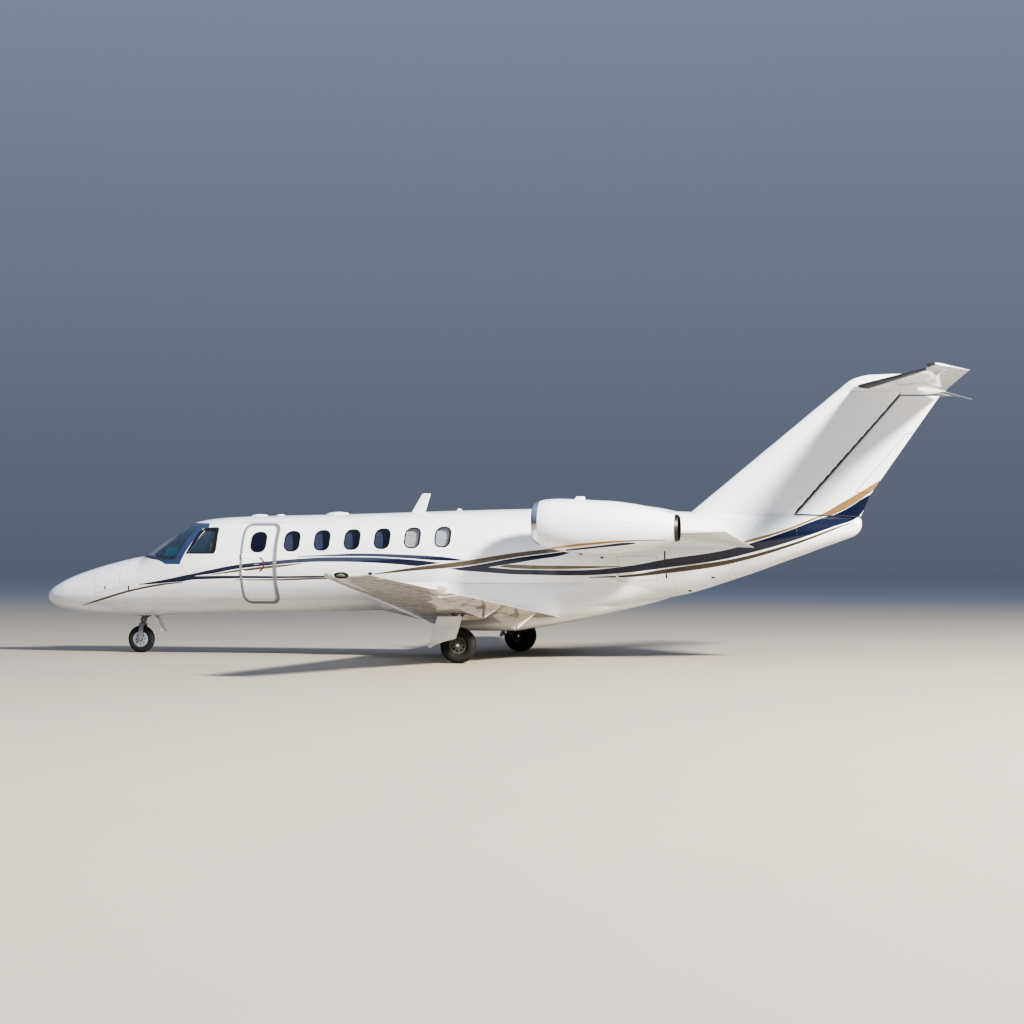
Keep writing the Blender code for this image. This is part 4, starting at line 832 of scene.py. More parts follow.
def stripes_group(name, bands):
    """Position in; the paint's colour, and a mask of the metallic stripes, out."""
    inputs = [("Vector", "Vector", None), ("White", "Color", PAINT_WHITE)]
    tree, given, result = new_group(name, inputs, [("Color", "Color"), ("Metallic", "Float")])
    place = add(tree, "ShaderNodeSeparateXYZ", {0: given.outputs["Vector"]})
    station = calc(tree, "ADD", place.outputs[0], MID_STATION)
    height = place.outputs[2]
    colour, metallic = given.outputs["White"], 0.0
    for rows, paint, border in bands:
        edges = [edge_height(tree, station, rows, column) for column in (1, 2)]
        ends = (rows[0][0], rows[-1][0])
        if border:
            around = stripe_mask(tree, station, height, edges, ends, border)
            colour = mix_colours(tree, around, colour, given.outputs["White"])
        mask = stripe_mask(tree, station, height, edges, ends, EDGE_SPREAD)
        colour = mix_colours(tree, mask, colour, paint)
        shine = 1.0 if paint in METALLIC_PAINTS else 0.0
        metallic = add(tree, "ShaderNodeMix", {0: mask, 2: metallic, 3: shine}, data_type="FLOAT").outputs[0]
    feed(tree, result, Color=colour, Metallic=metallic)
    return tree


def use_group(tree, group, **inputs):
    return add(tree, "ShaderNodeGroup", inputs, node_tree=group)


HULL_STRIPES = stripes_group("hull_stripes", HULL_BANDS)
NACELLE_STRIPES = stripes_group("nacelle_stripes", NACELLE_BANDS)
print("nodes in the hull's stripes", len(HULL_STRIPES.nodes))

# %% [markdown]
# Three effects are shared by all the painted skins. Grime is a soft noise drawn out along the
# airflow, stronger towards the belly. Orange peel is a fine noise in the bump only. Seams are
# thin dark grooves at given places along one axis. Grooves could be modelled, but they are
# 1.5 mm wide on a 16 m aircraft, so they are shading.

# %% Paint effect groups
SEAM_WIDTH, SEAM_DEPTH, SEAM_SHARE = 0.0040, 0.0015, 0.32
SEAM_COLOUR = rgb(70, 70, 72)
GRIME_TINT = rgb(150, 146, 138)
PEEL_SCALE, PEEL_DEPTH = 130.0, 0.00012
FAR_AWAY = 9.0


def grime_group():
    inputs = [("Vector", "Vector", None), ("Low", "Float", 0.6), ("High", "Float", 1.6)]
    tree, given, result = new_group("paint_grime", inputs, [("Mask", "Float")])
    place, low, high = (given.outputs[label] for label in ("Vector", "Low", "High"))
    height = add(tree, "ShaderNodeSeparateXYZ", {0: place}).outputs[2]
    along_air = add(tree, "ShaderNodeMapping", {"Vector": place, "Scale": (0.8, 3.0, 6.0)}).outputs[0]
    patches = ranged(tree, noise(tree, along_air, 1.6, 8.0), 0.0, 1.0, 0.40, 0.72)
    near_ground = ranged(tree, height, 1.0, 0.15, low, high)
    feed(tree, result, Mask=calc(tree, "MULTIPLY", patches, near_ground))
    return tree


def orange_peel_group():
    tree, given, result = new_group("orange_peel", [("Vector", "Vector", None)], [("Height", "Float")])
    feed(tree, result, Height=noise(tree, given.outputs["Vector"], PEEL_SCALE, 2.0))
    return tree


def seams_mask(tree, coordinate, places):
    """1 on thin lines at some places along a coordinate."""
    nearest = FAR_AWAY
    for place in places:
        away = calc(tree, "ABSOLUTE", calc(tree, "SUBTRACT", coordinate, place))
        nearest = calc(tree, "MINIMUM", away, nearest)
    return ranged(tree, nearest, 1.0, 0.0, SEAM_WIDTH * 0.4, SEAM_WIDTH)


GRIME = grime_group()
ORANGE_PEEL = orange_peel_group()
print("paint groups", GRIME.name, ORANGE_PEEL.name)

# %% Painted skins
STRIPE_METALLIC = 0.45
HULL_RING_SEAMS, HULL_LAP_HEIGHT = (1.600, 5.62, 10.92, 11.86, 12.86), 0.935
WING_RIBS = (1.05, 1.95, 2.85, 3.80, 4.97, 6.10, 7.20, 7.66)
WING_SPARS, SPAR_SWEEP = (6.86, 7.34, 7.92), 0.062


def painted_skin(name, stripes=None, white=PAINT_WHITE, seams=None, grime=(0.55, 1.6), grime_share=0.30):
    """A clear-coated paint. Seams is a function that gives their mask from the coordinates."""
    material, tree, shader = new_material(name, IOR=1.5, Coat_Roughness=0.04)
    place = object_coordinates(tree)
    dirt = use_group(tree, GRIME, Vector=place, Low=grime[0], High=grime[1]).outputs[0]
    if stripes:
        painted = use_group(tree, stripes, Vector=place, White=white)
        colour = painted.outputs["Color"]
        feed(tree, shader, Metallic=calc(tree, "MULTIPLY", painted.outputs["Metallic"], STRIPE_METALLIC))
    else:
        colour = shaded(tree, white, ranged(tree, noise(tree, place, 0.9, 3.0), 0.985, 1.01))
    colour = mix_colours(tree, calc(tree, "MULTIPLY", dirt, grime_share), colour, GRIME_TINT, "MULTIPLY")
    height = calc(tree, "MULTIPLY", use_group(tree, ORANGE_PEEL, Vector=place).outputs[0], PEEL_DEPTH)
    if seams:
        lines = seams(tree, place)
        colour = mix_colours(tree, calc(tree, "MULTIPLY", lines, SEAM_SHARE), colour, SEAM_COLOUR)
        height = calc(tree, "SUBTRACT", height, calc(tree, "MULTIPLY", lines, SEAM_DEPTH))
    rough, coat = ranged(tree, dirt, 0.26, 0.50), ranged(tree, dirt, 0.85, 0.35)
    bump = add(tree, "ShaderNodeBump", {"Height": height, "Distance": 1.0, "Strength": 0.6}).outputs[0]
    feed(tree, shader, Base_Color=colour, Roughness=rough, Coat_Weight=coat, Normal=bump)
    return material


def hull_seams(tree, place):
    """Rings round the hull where its sections meet, and long lap joints low on its side."""
    axes = add(tree, "ShaderNodeSeparateXYZ", {0: place})
    rings = seams_mask(tree, calc(tree, "ADD", axes.outputs[0], MID_STATION), HULL_RING_SEAMS)
    return calc(tree, "MAXIMUM", rings, seams_mask(tree, axes.outputs[2], [HULL_LAP_HEIGHT]))


def wing_seams(tree, place):
    """Rib lines across the wing and the spar lines along it."""
    axes = add(tree, "ShaderNodeSeparateXYZ", {0: place})
    across = calc(tree, "ABSOLUTE", axes.outputs[1])
    sweep = calc(tree, "MULTIPLY", across, -SPAR_SWEEP)
    swept = calc(tree, "ADD", calc(tree, "ADD", axes.outputs[0], MID_STATION), sweep)
    return calc(tree, "MAXIMUM", seams_mask(tree, across, WING_RIBS), seams_mask(tree, swept, WING_SPARS))


LIVERY = painted_skin("livery_paint", HULL_STRIPES, seams=hull_seams)
FIN_PAINT = painted_skin("fin_paint", HULL_STRIPES, grime=(1.5, 2.5))
NACELLE_PAINT = painted_skin("nacelle_paint", NACELLE_STRIPES, grime=(1.7, 2.2))
WHITE_SKIN = painted_skin("white_paint_plain", grime=(0.4, 1.2))
# The wing's white is warmer and darker than the hull's white: a painted warm bounce from the ground on a
# shaded underside.
WING_WHITE_WITH_PAINTED_BOUNCE = rgb(226, 221, 212)
WING_PAINT_WITH_PAINTED_BOUNCE = painted_skin("wing_paint", None, WING_WHITE_WITH_PAINTED_BOUNCE, wing_seams, grime=(0.0, 0.9), grime_share=0.09)
print("paints made")

# %% [markdown]
# ## Other finishes
# Each of them starts from what the thing is made of. Glass is thin and tinted, so that the
# cabin shows behind it. Rubber and leather are rough with a grain. Bare metals have a fine
# brushed noise in their roughness. None is a single flat colour, because no real surface is.


# %% Glass
def tinted_glass(name, tint, clear=0.7):
    """Thin glass with a faint smear. Rays that carry light see it as partly open."""
    material, tree, shader = new_material(name, IOR=1.45, Transmission_Weight=0.94)
    ray = tree.nodes.new("ShaderNodeLightPath")
    lighting = calc(tree, "MAXIMUM", ray.outputs["Is Shadow Ray"], ray.outputs["Is Diffuse Ray"])
    opacity = calc(tree, "SUBTRACT", 1.0, calc(tree, "MULTIPLY", lighting, clear))
    smear = noise(tree, object_coordinates(tree), 7.0, 4.0)
    colour = shaded(tree, tint, ranged(tree, smear, 0.94, 1.04))
    feed(tree, shader, Base_Color=colour, Roughness=ranged(tree, smear, 0.03, 0.08, 0.4, 0.8), Alpha=opacity)
    return material


CABIN_GLASS = tinted_glass("cabin_glass", rgb(92, 100, 134))
SHADED_GLASS = tinted_glass("shaded_cabin_glass", rgb(176, 182, 192), 0.8)
WINDSHIELD_GLASS = tinted_glass("windshield_glass", rgb(150, 168, 190), 0.8)
print("glass made")


# %% Rubber, leather, cloth and metal
def grained(name, colour, rough, scale, depth, spread=0.12, metallic=0.0, stretch=(1, 1, 1), coat=0.0):
    """A surface whose grain changes its colour, its roughness and its height a little."""
    material, tree, shader = new_material(name, Metallic=metallic, Coat_Weight=coat)
    place = add(tree, "ShaderNodeMapping", {"Vector": object_coordinates(tree), "Scale": stretch}).outputs[0]
    grain, worn = noise(tree, place, scale, 6.0), noise(tree, place, scale / 14, 3.0)
    tint = ranged(tree, worn, 1 - spread, 1 + spread, 0.3, 0.7)
    roughness = ranged(tree, grain, rough * 0.82, min(1.0, rough * 1.18))
    bump = add(tree, "ShaderNodeBump", {"Height": grain, "Distance": depth, "Strength": 0.8}).outputs[0]
    feed(tree, shader, Base_Color=shaded(tree, colour, tint), Roughness=roughness, Normal=bump)
    return material


FRAME_METAL = grained("windshield_frame_metal", rgb(58, 72, 104), 0.42, 70, 0.0002, metallic=0.1, coat=0.2)
MASK_BLACK = grained("glass_border_black", rgb(34, 38, 46), 0.22, 60, 0.0002, coat=0.6)
# This dark rubber also stands as painted shade: in the fin's and the control surfaces' hinge gaps and behind
# the wheels' holes.
SEAL_RUBBER_AND_PAINTED_SHADE = grained("seal_rubber", rgb(28, 28, 30), 0.62, 180, 0.0004)
TYRE_RUBBER = grained("tyre_rubber", rgb(38, 37, 36), 0.78, 90, 0.0012, spread=0.22)
HOSE_RUBBER = grained("hose_rubber", rgb(22, 22, 22), 0.5, 220, 0.0003)
CARPET = grained("carpet", rgb(96, 88, 78), 0.95, 420, 0.003, spread=0.16)
LINING = grained("cabin_lining", rgb(205, 200, 190), 0.75, 300, 0.0006)
LEATHER = grained("seat_leather", rgb(196, 180, 152), 0.48, 160, 0.0012, spread=0.08)
LEATHER_SEAM = grained("seat_piping", rgb(120, 104, 84), 0.6, 200, 0.0008)
# This black also stands as painted shade, in the door handle's recess and in the tail's slots and vents.
PANEL_BLACK_AND_PAINTED_SHADE = grained("panel_black", rgb(40, 42, 46), 0.6, 140, 0.0004)
SHADE_WHITE = grained("window_shade", rgb(222, 220, 214), 0.7, 90, 0.0004, spread=0.05)
INNER_METAL = grained("bay_primer", rgb(132, 142, 118), 0.6, 80, 0.0004, spread=0.10)
# The gear's grey is darkened as painted shade, for the shade it stands in under the hull and wings.
GEAR_GREY_DARKENED_AS_SHADE = grained("gear_grey_darkened_as_shade", rgb(112, 114, 118), 0.42, 70, 0.0004, spread=0.10, coat=0.3)
WHEEL_METAL = grained("wheel_metal", rgb(116, 114, 106), 0.42, 110, 0.0003, metallic=0.6)
HUB_COVER = grained("nose_hub_cover", rgb(158, 161, 170), 0.36, 110, 0.0003, metallic=0.5)
BARE_METAL = grained("bare_metal", rgb(178, 180, 184), 0.30, 160, 0.0002, metallic=1.0)
CHROME = grained("polished_strut", rgb(214, 216, 220), 0.10, 60, 0.0001, spread=0.03, metallic=1.0)
LIP_METAL = rgb(222, 224, 228)
POLISHED = grained("polished_lip", LIP_METAL, 0.14, 24, 0.0002, spread=0.04, metallic=1.0, stretch=(6, 1, 1))
DOOR_METAL = grained("door_ring_metal", rgb(138, 140, 146), 0.46, 90, 0.0002, metallic=0.3)
BOOT_BLACK = grained("deicing_boot", rgb(24, 26, 34), 0.42, 120, 0.0005)
ENGINE_DARK = grained("engine_metal", rgb(92, 90, 90), 0.5, 90, 0.0004, metallic=0.8)
DUCT_GREY = grained("duct_grey", rgb(120, 124, 130), 0.45, 60, 0.0003, metallic=0.3)
BLADE_METAL = grained("blade_metal", rgb(150, 152, 158), 0.28, 90, 0.0002, metallic=1.0, stretch=(1, 8, 8))
ANTENNA_WHITE = grained("antenna_plastic", rgb(226, 227, 228), 0.4, 120, 0.0002, spread=0.04)
VISOR_GREEN = grained("sun_visor", rgb(36, 120, 128), 0.35, 60, 0.0002)
MARK_RED = grained("handle_arc_red", rgb(120, 24, 30), 0.4, 90, 0.0002)

print("rough finishes made")

# %% [markdown]
# Hot steel is tinted by its oxide, so the tail pipe's colour follows its distance from the hot
# end. A lamp's cover is ribbed plastic that takes up light, with a faint glow of its own.

# %% Heated steel and lamp covers
HEAT_FROM, HEAT_TO = 10.93, 11.11
HEAT_TINTS = [
    (0.0, rgb(176, 174, 170)), (0.4, rgb(160, 146, 128)), (0.7, rgb(118, 108, 104)),
    (1.0, rgb(96, 93, 92)),
]


def heat_tinted_metal():
    """The tail pipe's ring: steel that goes from straw to blue-black towards its hot end."""
    material, tree, shader = new_material("hot_steel", Metallic=1.0)
    place = object_coordinates(tree)
    along = add(tree, "ShaderNodeSeparateXYZ", {0: place}).outputs[0]
    blur = noise(tree, place, 9.0, 5.0)
    heat = calc(tree, "ADD", calc(tree, "ADD", along, MID_STATION), calc(tree, "MULTIPLY", blur, 0.05))
    ramp = add(tree, "ShaderNodeValToRGB", {"Fac": ranged(tree, heat, 0.0, 1.0, HEAT_FROM, HEAT_TO)})
    for k, (spot, colour) in enumerate(HEAT_TINTS):
        stop = ramp.color_ramp.elements[k] if k < 2 else ramp.color_ramp.elements.new(spot)
        stop.position = spot
        stop.color = colour
    feed(tree, shader, Base_Color=ramp.outputs[0], Roughness=ranged(tree, blur, 0.28, 0.5))
    return material


def light_lens(name, colour, glow):
    """A lamp's cover: ribbed coloured plastic with a faint glow of its own."""
    values = {"Roughness": 0.12, "Transmission_Weight": 0.4, "Emission_Strength": glow}
    material, tree, shader = new_material(name, **values)
    ribs = add(tree, "ShaderNodeTexWave", {"Vector": object_coordinates(tree), "Scale": 60.0})
    ribbed = shaded(tree, colour, ranged(tree, ribs.outputs[1], 0.85, 1.1))
    feed(tree, shader, Base_Color=ribbed, Emission_Color=ribbed)
    return material


HOT_STEEL = heat_tinted_metal()
LAMP_LENS = light_lens("lamp_lens", rgb(128, 136, 126), 0.06)
print("finishes", len(bpy.data.materials))

# %% [markdown]
# ## Hull
# The hull comes in five sections, as the real one is split, plus the door and the hatches.
# The windows and the doorway are real openings in a wall as thick as the lining, cut with the same outlines
# as the solids have, only with finer corners. Each window opening gets a seal or a frame that lies on the
# skin, and the doorway a metal ring. Each cabin window gets a thin pane, and all but the first a thin plate
# behind it, a drawn shade or the lining's edge.

# %% Hull openings
WINDOW_STATIONS = (4.000, 4.575, 5.090, 5.602, 6.114, 6.625, 7.136)
WINDOW_FIRST_HEIGHT, WINDOW_RISE = 1.885, 0.0292
WINDOW_WIDTH, WINDOW_HEIGHT, WINDOW_CORNER = 0.265, 0.335, 0.110
DOOR_FRONT, DOOR_BACK = 3.745, 4.262
DOOR_BOTTOM, DOOR_TOP = 0.905, 2.155
DOOR_SKIN, DOOR_THICKNESS, DOOR_HINGE_OUT = 0.012, 0.055, 0.829
MOVING_GAP = 0.008
WINDSHIELD = [(1.62, 1.665), (2.310, 1.560), (2.585, 1.575), (2.960, 2.155), (2.30, 2.190)]
WINDSHIELD_CLEAR = [
    (1.50, 1.720), (2.05, 1.640), (2.171, 1.622), (2.360, 1.580), (2.530, 1.605), (2.655, 1.834),
    (2.815, 2.130), (2.10, 2.250),
]
WINDSHIELD_FRAME = [
    (1.70, 1.672), (2.137, 1.614), (2.335, 1.530), (2.350, 1.513), (2.636, 1.513), (2.645, 1.556),
    (2.718, 1.716), (2.945, 2.112), (3.045, 2.125), (3.024, 2.203), (2.45, 2.215),
]
WINDOW_SEAL = [
    (2.729, 1.687), (2.905, 2.065), (2.981, 2.119), (3.088, 2.131), (3.210, 2.133), (3.247, 2.107),
    (3.268, 1.882), (3.267, 1.742), (3.233, 1.689),
]
WINDOW_CLEAR = [(2.772, 1.705), (2.985, 2.078), (3.186, 2.083), (3.208, 2.000), (3.193, 1.712)]
VISOR = [(2.290, 1.640), (2.348, 1.780), (2.560, 1.790), (2.545, 1.640)]
COCKPIT_WINDOW = [(2.745, 1.690), (3.005, 2.085), (3.235, 2.095), (3.262, 1.735), (3.215, 1.690)]
CENTRE_POST = 0.030
WINDSHIELD_THICKNESS = 0.022
PANE_THICKNESS = 0.008


def window_outline(station, by=0.0):
    height = WINDOW_FIRST_HEIGHT + WINDOW_RISE * (station - WINDOW_STATIONS[0])
    half = (WINDOW_WIDTH / 2 + by, WINDOW_HEIGHT / 2 + by)
    low = (station - half[0], height - half[1])
    return rounded_outline(low, (station + half[0], height + half[1]), WINDOW_CORNER + by)


def door_outline(margin=0.0):
    low = (DOOR_FRONT - margin, DOOR_BOTTOM - margin)
    high = (DOOR_BACK + 1.5 * margin, DOOR_TOP + margin)
    return rounded_outline(low, high, 0.090 + margin)


def pair(left, body, slot, materials, *nodes, level=None):
    """Finishes a left-hand piece and its reflection on the right-hand body."""
    right = mirrored(left, left.name.replace("left", "right"))
    for piece, side in ((left, "left"), (right, "right")):
        names = [node.replace("left", side) for node in nodes]
        finish_piece(piece, body.replace("left", side), slot, materials, *names)
        if level:
            true_normals(piece, level)
    return left, right


def both_sides(cutter):
    return [cutter, mirrored(cutter, "right")]


def hull_piece(piece, body, slot, paint, inner, *nodes):
    """Finishes a piece of the hull. All faces under its outer skin get the second material."""
    piece.data.materials.clear()
    with_materials(piece, paint, inner)
    _, distance = slope_of(hull_level, in_stations(piece.data.polygons, "center"))
    piece.data.polygons.foreach_set("material_index", (distance < -SKIN_DEPTH).astype(int))
    finish_piece(piece, body, slot, [paint, inner], *nodes)
    return true_normals(piece, hull_level)


print("openings", len(WINDOW_STATIONS) * 2 + 4)

# %% Frames of the hatches
NOSE_HATCH = {"station": 1.240, "height": 1.400, "length": 0.500, "width": 0.360}
TAIL_HATCH = {"station": 10.020, "low": 1.260, "high": 1.660, "length": 0.400, "width": 0.640}
HATCH_THICKNESS = 0.018
TAIL_HATCH_HINGE_OUT = 0.036
HATCH_CORNER = 0.03


def hatch_frame(corner, along, outward):
    """A hatch's own frame: its hinge line, the way across the skin from it, and outwards."""
    along = Vector(along).normalized()
    outward = Vector(outward)
    outward = (outward - along * outward.dot(along)).normalized()
    across = outward.cross(along).normalized()
    return Matrix.Translation(Vector(corner)) @ Matrix((along, across, outward)).transposed().to_4x4()


def nose_hatch_frame():
    ends = []
    for step in (-0.5, 0.5):
        station = NOSE_HATCH["station"] + step * NOSE_HATCH["length"]
        height = NOSE_HATCH["height"] + 0.20 * step * NOSE_HATCH["length"]
        ends.append(Vector((station, -float(hull_half_width(station, height)) - 0.004, height)))
    return hatch_frame((ends[0] + ends[1]) / 2, ends[0] - ends[1], (0, -0.75, 0.66))


def tail_hatch_frame():
    station = TAIL_HATCH["station"]
    low, high = [
        Vector((station, -float(hull_half_width(station, height)) - TAIL_HATCH_HINGE_OUT, height))
        for height in (TAIL_HATCH["low"], TAIL_HATCH["high"])
    ]
    return hatch_frame((low + high) / 2, low - high, (0.12, -1, -0.3))


def hatch_outline(size, margin):
    low = (-size["length"] / 2 - margin, 0.004 - margin)
    return rounded_outline(low, (size["length"] / 2 + margin, size["width"] + margin), HATCH_CORNER, 6)


def hatch_cutter(frame_of_hatch, size, margin):
    """A block over the hatch, in the hatch's own frame."""
    made = prism("hatch_cutter", hatch_outline(size, margin), -0.16, 0.12, "Z")
    made.data.transform(Matrix.Translation((MID_STATION, 0, 0)))
    made.data.transform(Matrix.Translation((-MID_STATION, 0, 0)) @ frame_of_hatch)
    return made


print("hatch frames ready")

# %% [markdown]
# A hinge is two barrels end to end on the hinge line, one for each body. Each has a web that
# drops to the skin, so neither body cuts into the other while the hatch swings.

# %% Hinges of the hatches
def knuckle(point, along, into, reach, radius=0.008, width=0.030):
    """Half a hinge: a barrel on the hinge line with a web that drops to the skin."""
    into = Vector(into).normalized()
    thick = along.normalized().cross(into) * radius * 0.7
    corners = [point + into * a + thick * t for a, t in ((0, -1), (reach, -1), (reach, 1), (0, 1))]
    web = loft("web", [[c + along * e for c in corners] for e in (0.0005, width - 0.0017)])
    return [bar("barrel", point + along * 0.0002, point + along * width, radius), web]


def hinge_knuckles(hull_body, hatch_body, hatch_place, length, reach, drop, name):
    """Both halves of the two hinges of a hatch, and of its twin if the name has a side."""
    turn = hatch_place.to_3x3()
    along = turn @ Vector((1, 0, 0))
    finish = pair if "left" in name else finish_piece
    for body, way, into in ((hull_body, -1, (0, -1, -drop)), (hatch_body, 1, (0, 1, -drop))):
        parts = []
        for part in (-0.32, 0.32):
            point = hatch_place.translation + along * part * length
            parts += knuckle(point, along * way, turn @ Vector(into), reach)
        finish(join_objects(name + "_" + body, parts), body, "white_paint", WHITE_SKIN)


print("hinges ready")

# %% [markdown]
# The nose is hollow behind the radome, so an open hatch shows a bay with a primed wall.

# %% Radome and nose section
nose_place = nose_hatch_frame()
radome = hull_solid("radome_skin", HULL[0][0], RADOME_AFT - SEAM, size=0.03)
hull_piece(radome, "airframe", "composite", LIVERY, LINING, "radome")

nose = hull_solid("nose_skin", RADOME_AFT, NOSE_AFT - SEAM)
cut(nose, hull_solid("hollow", RADOME_AFT + 0.06, NOSE_AFT - 0.05, 0.040))
cut(nose, *both_sides(hatch_cutter(nose_place, NOSE_HATCH, MOVING_GAP * 0.6)))
hull_piece(nose, "airframe", "white_paint", LIVERY, INNER_METAL, "nose_section")

for body in ("nose_hatch_left", "nose_hatch_right"):
    hatch = skin_panel(body + "_skin", 0.9, 1.59, HATCH_THICKNESS, hatch_cutter(nose_place, NOSE_HATCH, 0.0))
    if "right" in body:
        hatch = moved_to_right(hatch, body + "_skin_right")
    hull_piece(hatch, body, "white_paint", LIVERY, INNER_METAL, body)
hinge_knuckles(
    "airframe", "nose_hatch_left", nose_place, NOSE_HATCH["length"], 0.028, 0.35, "nose_knuckles_left"
)
print("nose done")

# %% Cockpit section with its glass
cockpit = hull_tube(
    "cockpit_skin", NOSE_AFT, COCKPIT_AFT - SEAM, CABIN_WALL, NOSE_AFT + 0.05, COCKPIT_AFT + 0.2
)
for outline, inner in ((WINDSHIELD, CENTRE_POST), (COCKPIT_WINDOW, 0.3)):
    cut(cockpit, *both_sides(side_cutter(outline, inner)))
cut(cockpit, block("gear_slot", (1.66, -0.125, 0.4), (2.02, 0.125, 0.86)))
hull_piece(cockpit, "airframe", "white_paint", LIVERY, LINING, "cockpit_section")


def make_glass(name, outline, inner, clear, glass, *nodes):
    """A pane in the hull's skin with a dark border that hides its glued edge."""
    opening = side_cutter(grown(outline, -0.0008), inner + 0.001)
    pane = skin_panel(name, NOSE_AFT + 0.01, COCKPIT_AFT - 0.01, WINDSHIELD_THICKNESS, opening)
    border = copied(pane, name + "_border")
    overlap(pane, side_cutter(clear, inner + 0.03))
    cut(border, side_cutter(clear, inner + 0.03))
    for piece, material in ((border, MASK_BLACK), (pane, glass)):
        true_normals(with_materials(piece, material), hull_level)
    right = [mirrored(border, name + "_border_right"), mirrored(pane, name + "_right")]
    for number, (edge, middle) in enumerate(((border, pane), right)):
        side = ("left", "right")[number]
        edge.name = name + "_border_" + side
        middle.name = name + "_glass_" + side
        finish_piece(edge, "airframe", "tinted_glass", MASK_BLACK, nodes[number])
        finish_piece(middle, "airframe", "tinted_glass", glass, nodes[number])


make_glass(
    "windshield", WINDSHIELD, CENTRE_POST, WINDSHIELD_CLEAR, WINDSHIELD_GLASS,
    "windshield_left", "windshield_right",
)
make_glass(
    "side_window", COCKPIT_WINDOW, 0.3, grown(COCKPIT_WINDOW, -0.014), WINDSHIELD_GLASS,
    "cockpit_window_left", "cockpit_window_right",
)


PLATE_DEPTH, PLATE_MARGIN = 0.004, 0.06


def skin_plate(name, outline, holes, lift, material):
    """A thin plate that stands on both sides' skin, inside an outline and round its holes."""
    stations = [point[0] for point in outline]
    start, end = min(stations) - PLATE_MARGIN, max(stations) + PLATE_MARGIN
    plate = skin_panel(name + "_left", start, end, PLATE_DEPTH, side_cutter(outline), lift)
    if holes:
        cut(plate, *[side_cutter(hole, 0.01) for hole in holes])
    return pair(plate, "airframe", "white_paint", material, level=hull_level)


skin_plate("windshield_frame", WINDSHIELD_FRAME, [WINDSHIELD_CLEAR], 0.0022, FRAME_METAL)
skin_plate("side_window_seal", WINDOW_SEAL, [WINDOW_CLEAR], 0.0032, SEAL_RUBBER_AND_PAINTED_SHADE)
visor = skin_layer("sun_visor", steps_between(2.2, 2.7, PANEL_STEP), 0.040, 0.044)
overlap(visor, side_cutter(VISOR, 0.1))
finish_piece(visor, "airframe", "cabin_trim", VISOR_GREEN)
print("cockpit done")

# %% Cabin section, door and windows
cabin = hull_tube(
    "cabin_skin", COCKPIT_AFT, CABIN_AFT - SEAM, CABIN_WALL, COCKPIT_AFT - 0.2, CABIN_AFT - 0.06
)
cutters = []
for number, station in enumerate(WINDOW_STATIONS):
    hole = side_cutter(window_outline(station), 0.3)
    if number:
        cutters += [mirrored(hole, "right_hole"), hole]
    else:
        cutters.append(moved_to_right(hole, "right_hole"))
cutters.append(side_cutter(door_outline(MOVING_GAP * 0.6), 0.1))
cut(cabin, *cutters)
hull_piece(cabin, "airframe", "white_paint", LIVERY, LINING, "cabin_section")


print("cabin wall done")

# %% [markdown]
# The door is a thin skin that fills the doorway, with a smaller and thicker frame behind it.
# Its window is cut through both, and a folded stair hangs on its inside.

# %% Cabin door
def make_door():
    """A thin outer skin with a smaller thick frame behind it, as the solid has."""
    door = skin_panel("cabin_door_skin", 3.6, 4.4, DOOR_SKIN, side_cutter(door_outline(), 0.1))
    low = (DOOR_FRONT + 0.012, DOOR_BOTTOM + 0.020)
    inner_outline = rounded_outline(low, (DOOR_BACK - 0.065, DOOR_TOP - 0.020), 0.080)
    stations = steps_between(3.6, 4.4, PANEL_STEP)
    inner = skin_layer("door_frame", stations, DOOR_SKIN + 0.0005, DOOR_THICKNESS)
    overlap(inner, side_cutter(inner_outline, 0.1))
    for piece in (door, inner):
        cut(piece, side_cutter(window_outline(WINDOW_STATIONS[0]), 0.3))
    hull_piece(door, "cabin_door", "white_paint", LIVERY, LINING, "cabin_door")
    stair = block("door_stair", (3.84, -0.690, 1.10), (4.17, -0.62, 1.16))
    finish_piece(inner, "cabin_door", "white_paint", LINING)
    finish_piece(stair, "cabin_door", "white_paint", CARPET)


print("door functions ready")

# %% [markdown]
# The two rear windows have their shades drawn. Those between them and the first window show the lining's
# bright edge in front of the opening, which is what makes the dark panes look deep.

# %% Cabin windows
def drawn_shade(station):
    """A shade's outline: it hangs in the front three quarters of the opening."""
    return [(x - 0.045 * (x > station), z) for x, z in window_outline(station, -0.002)]


def front_reveal(station):
    """The trim in front of the opening: narrow at its top and wide at its bottom."""
    outline = [point for point in window_outline(station, -0.002) if point[0] < station]
    top, bottom = outline[0], outline[-1]
    for share in (0.12, 0.35, 0.6, 0.85):
        back = station - 0.065 + 0.080 * math.sin(share * math.pi / 2)
        outline.append((back, bottom[1] + (top[1] - bottom[1]) * (1 - share)))
    return outline[:-4] + outline[:-5:-1]


def behind_pane(name, station, outline):
    """A thin plate just behind a pane, bent like the hull."""
    stations = steps_between(station - 0.17, station + 0.17, PANEL_STEP)
    return overlap(skin_layer(name, stations, 0.060, 0.064), side_cutter(outline, 0.3))


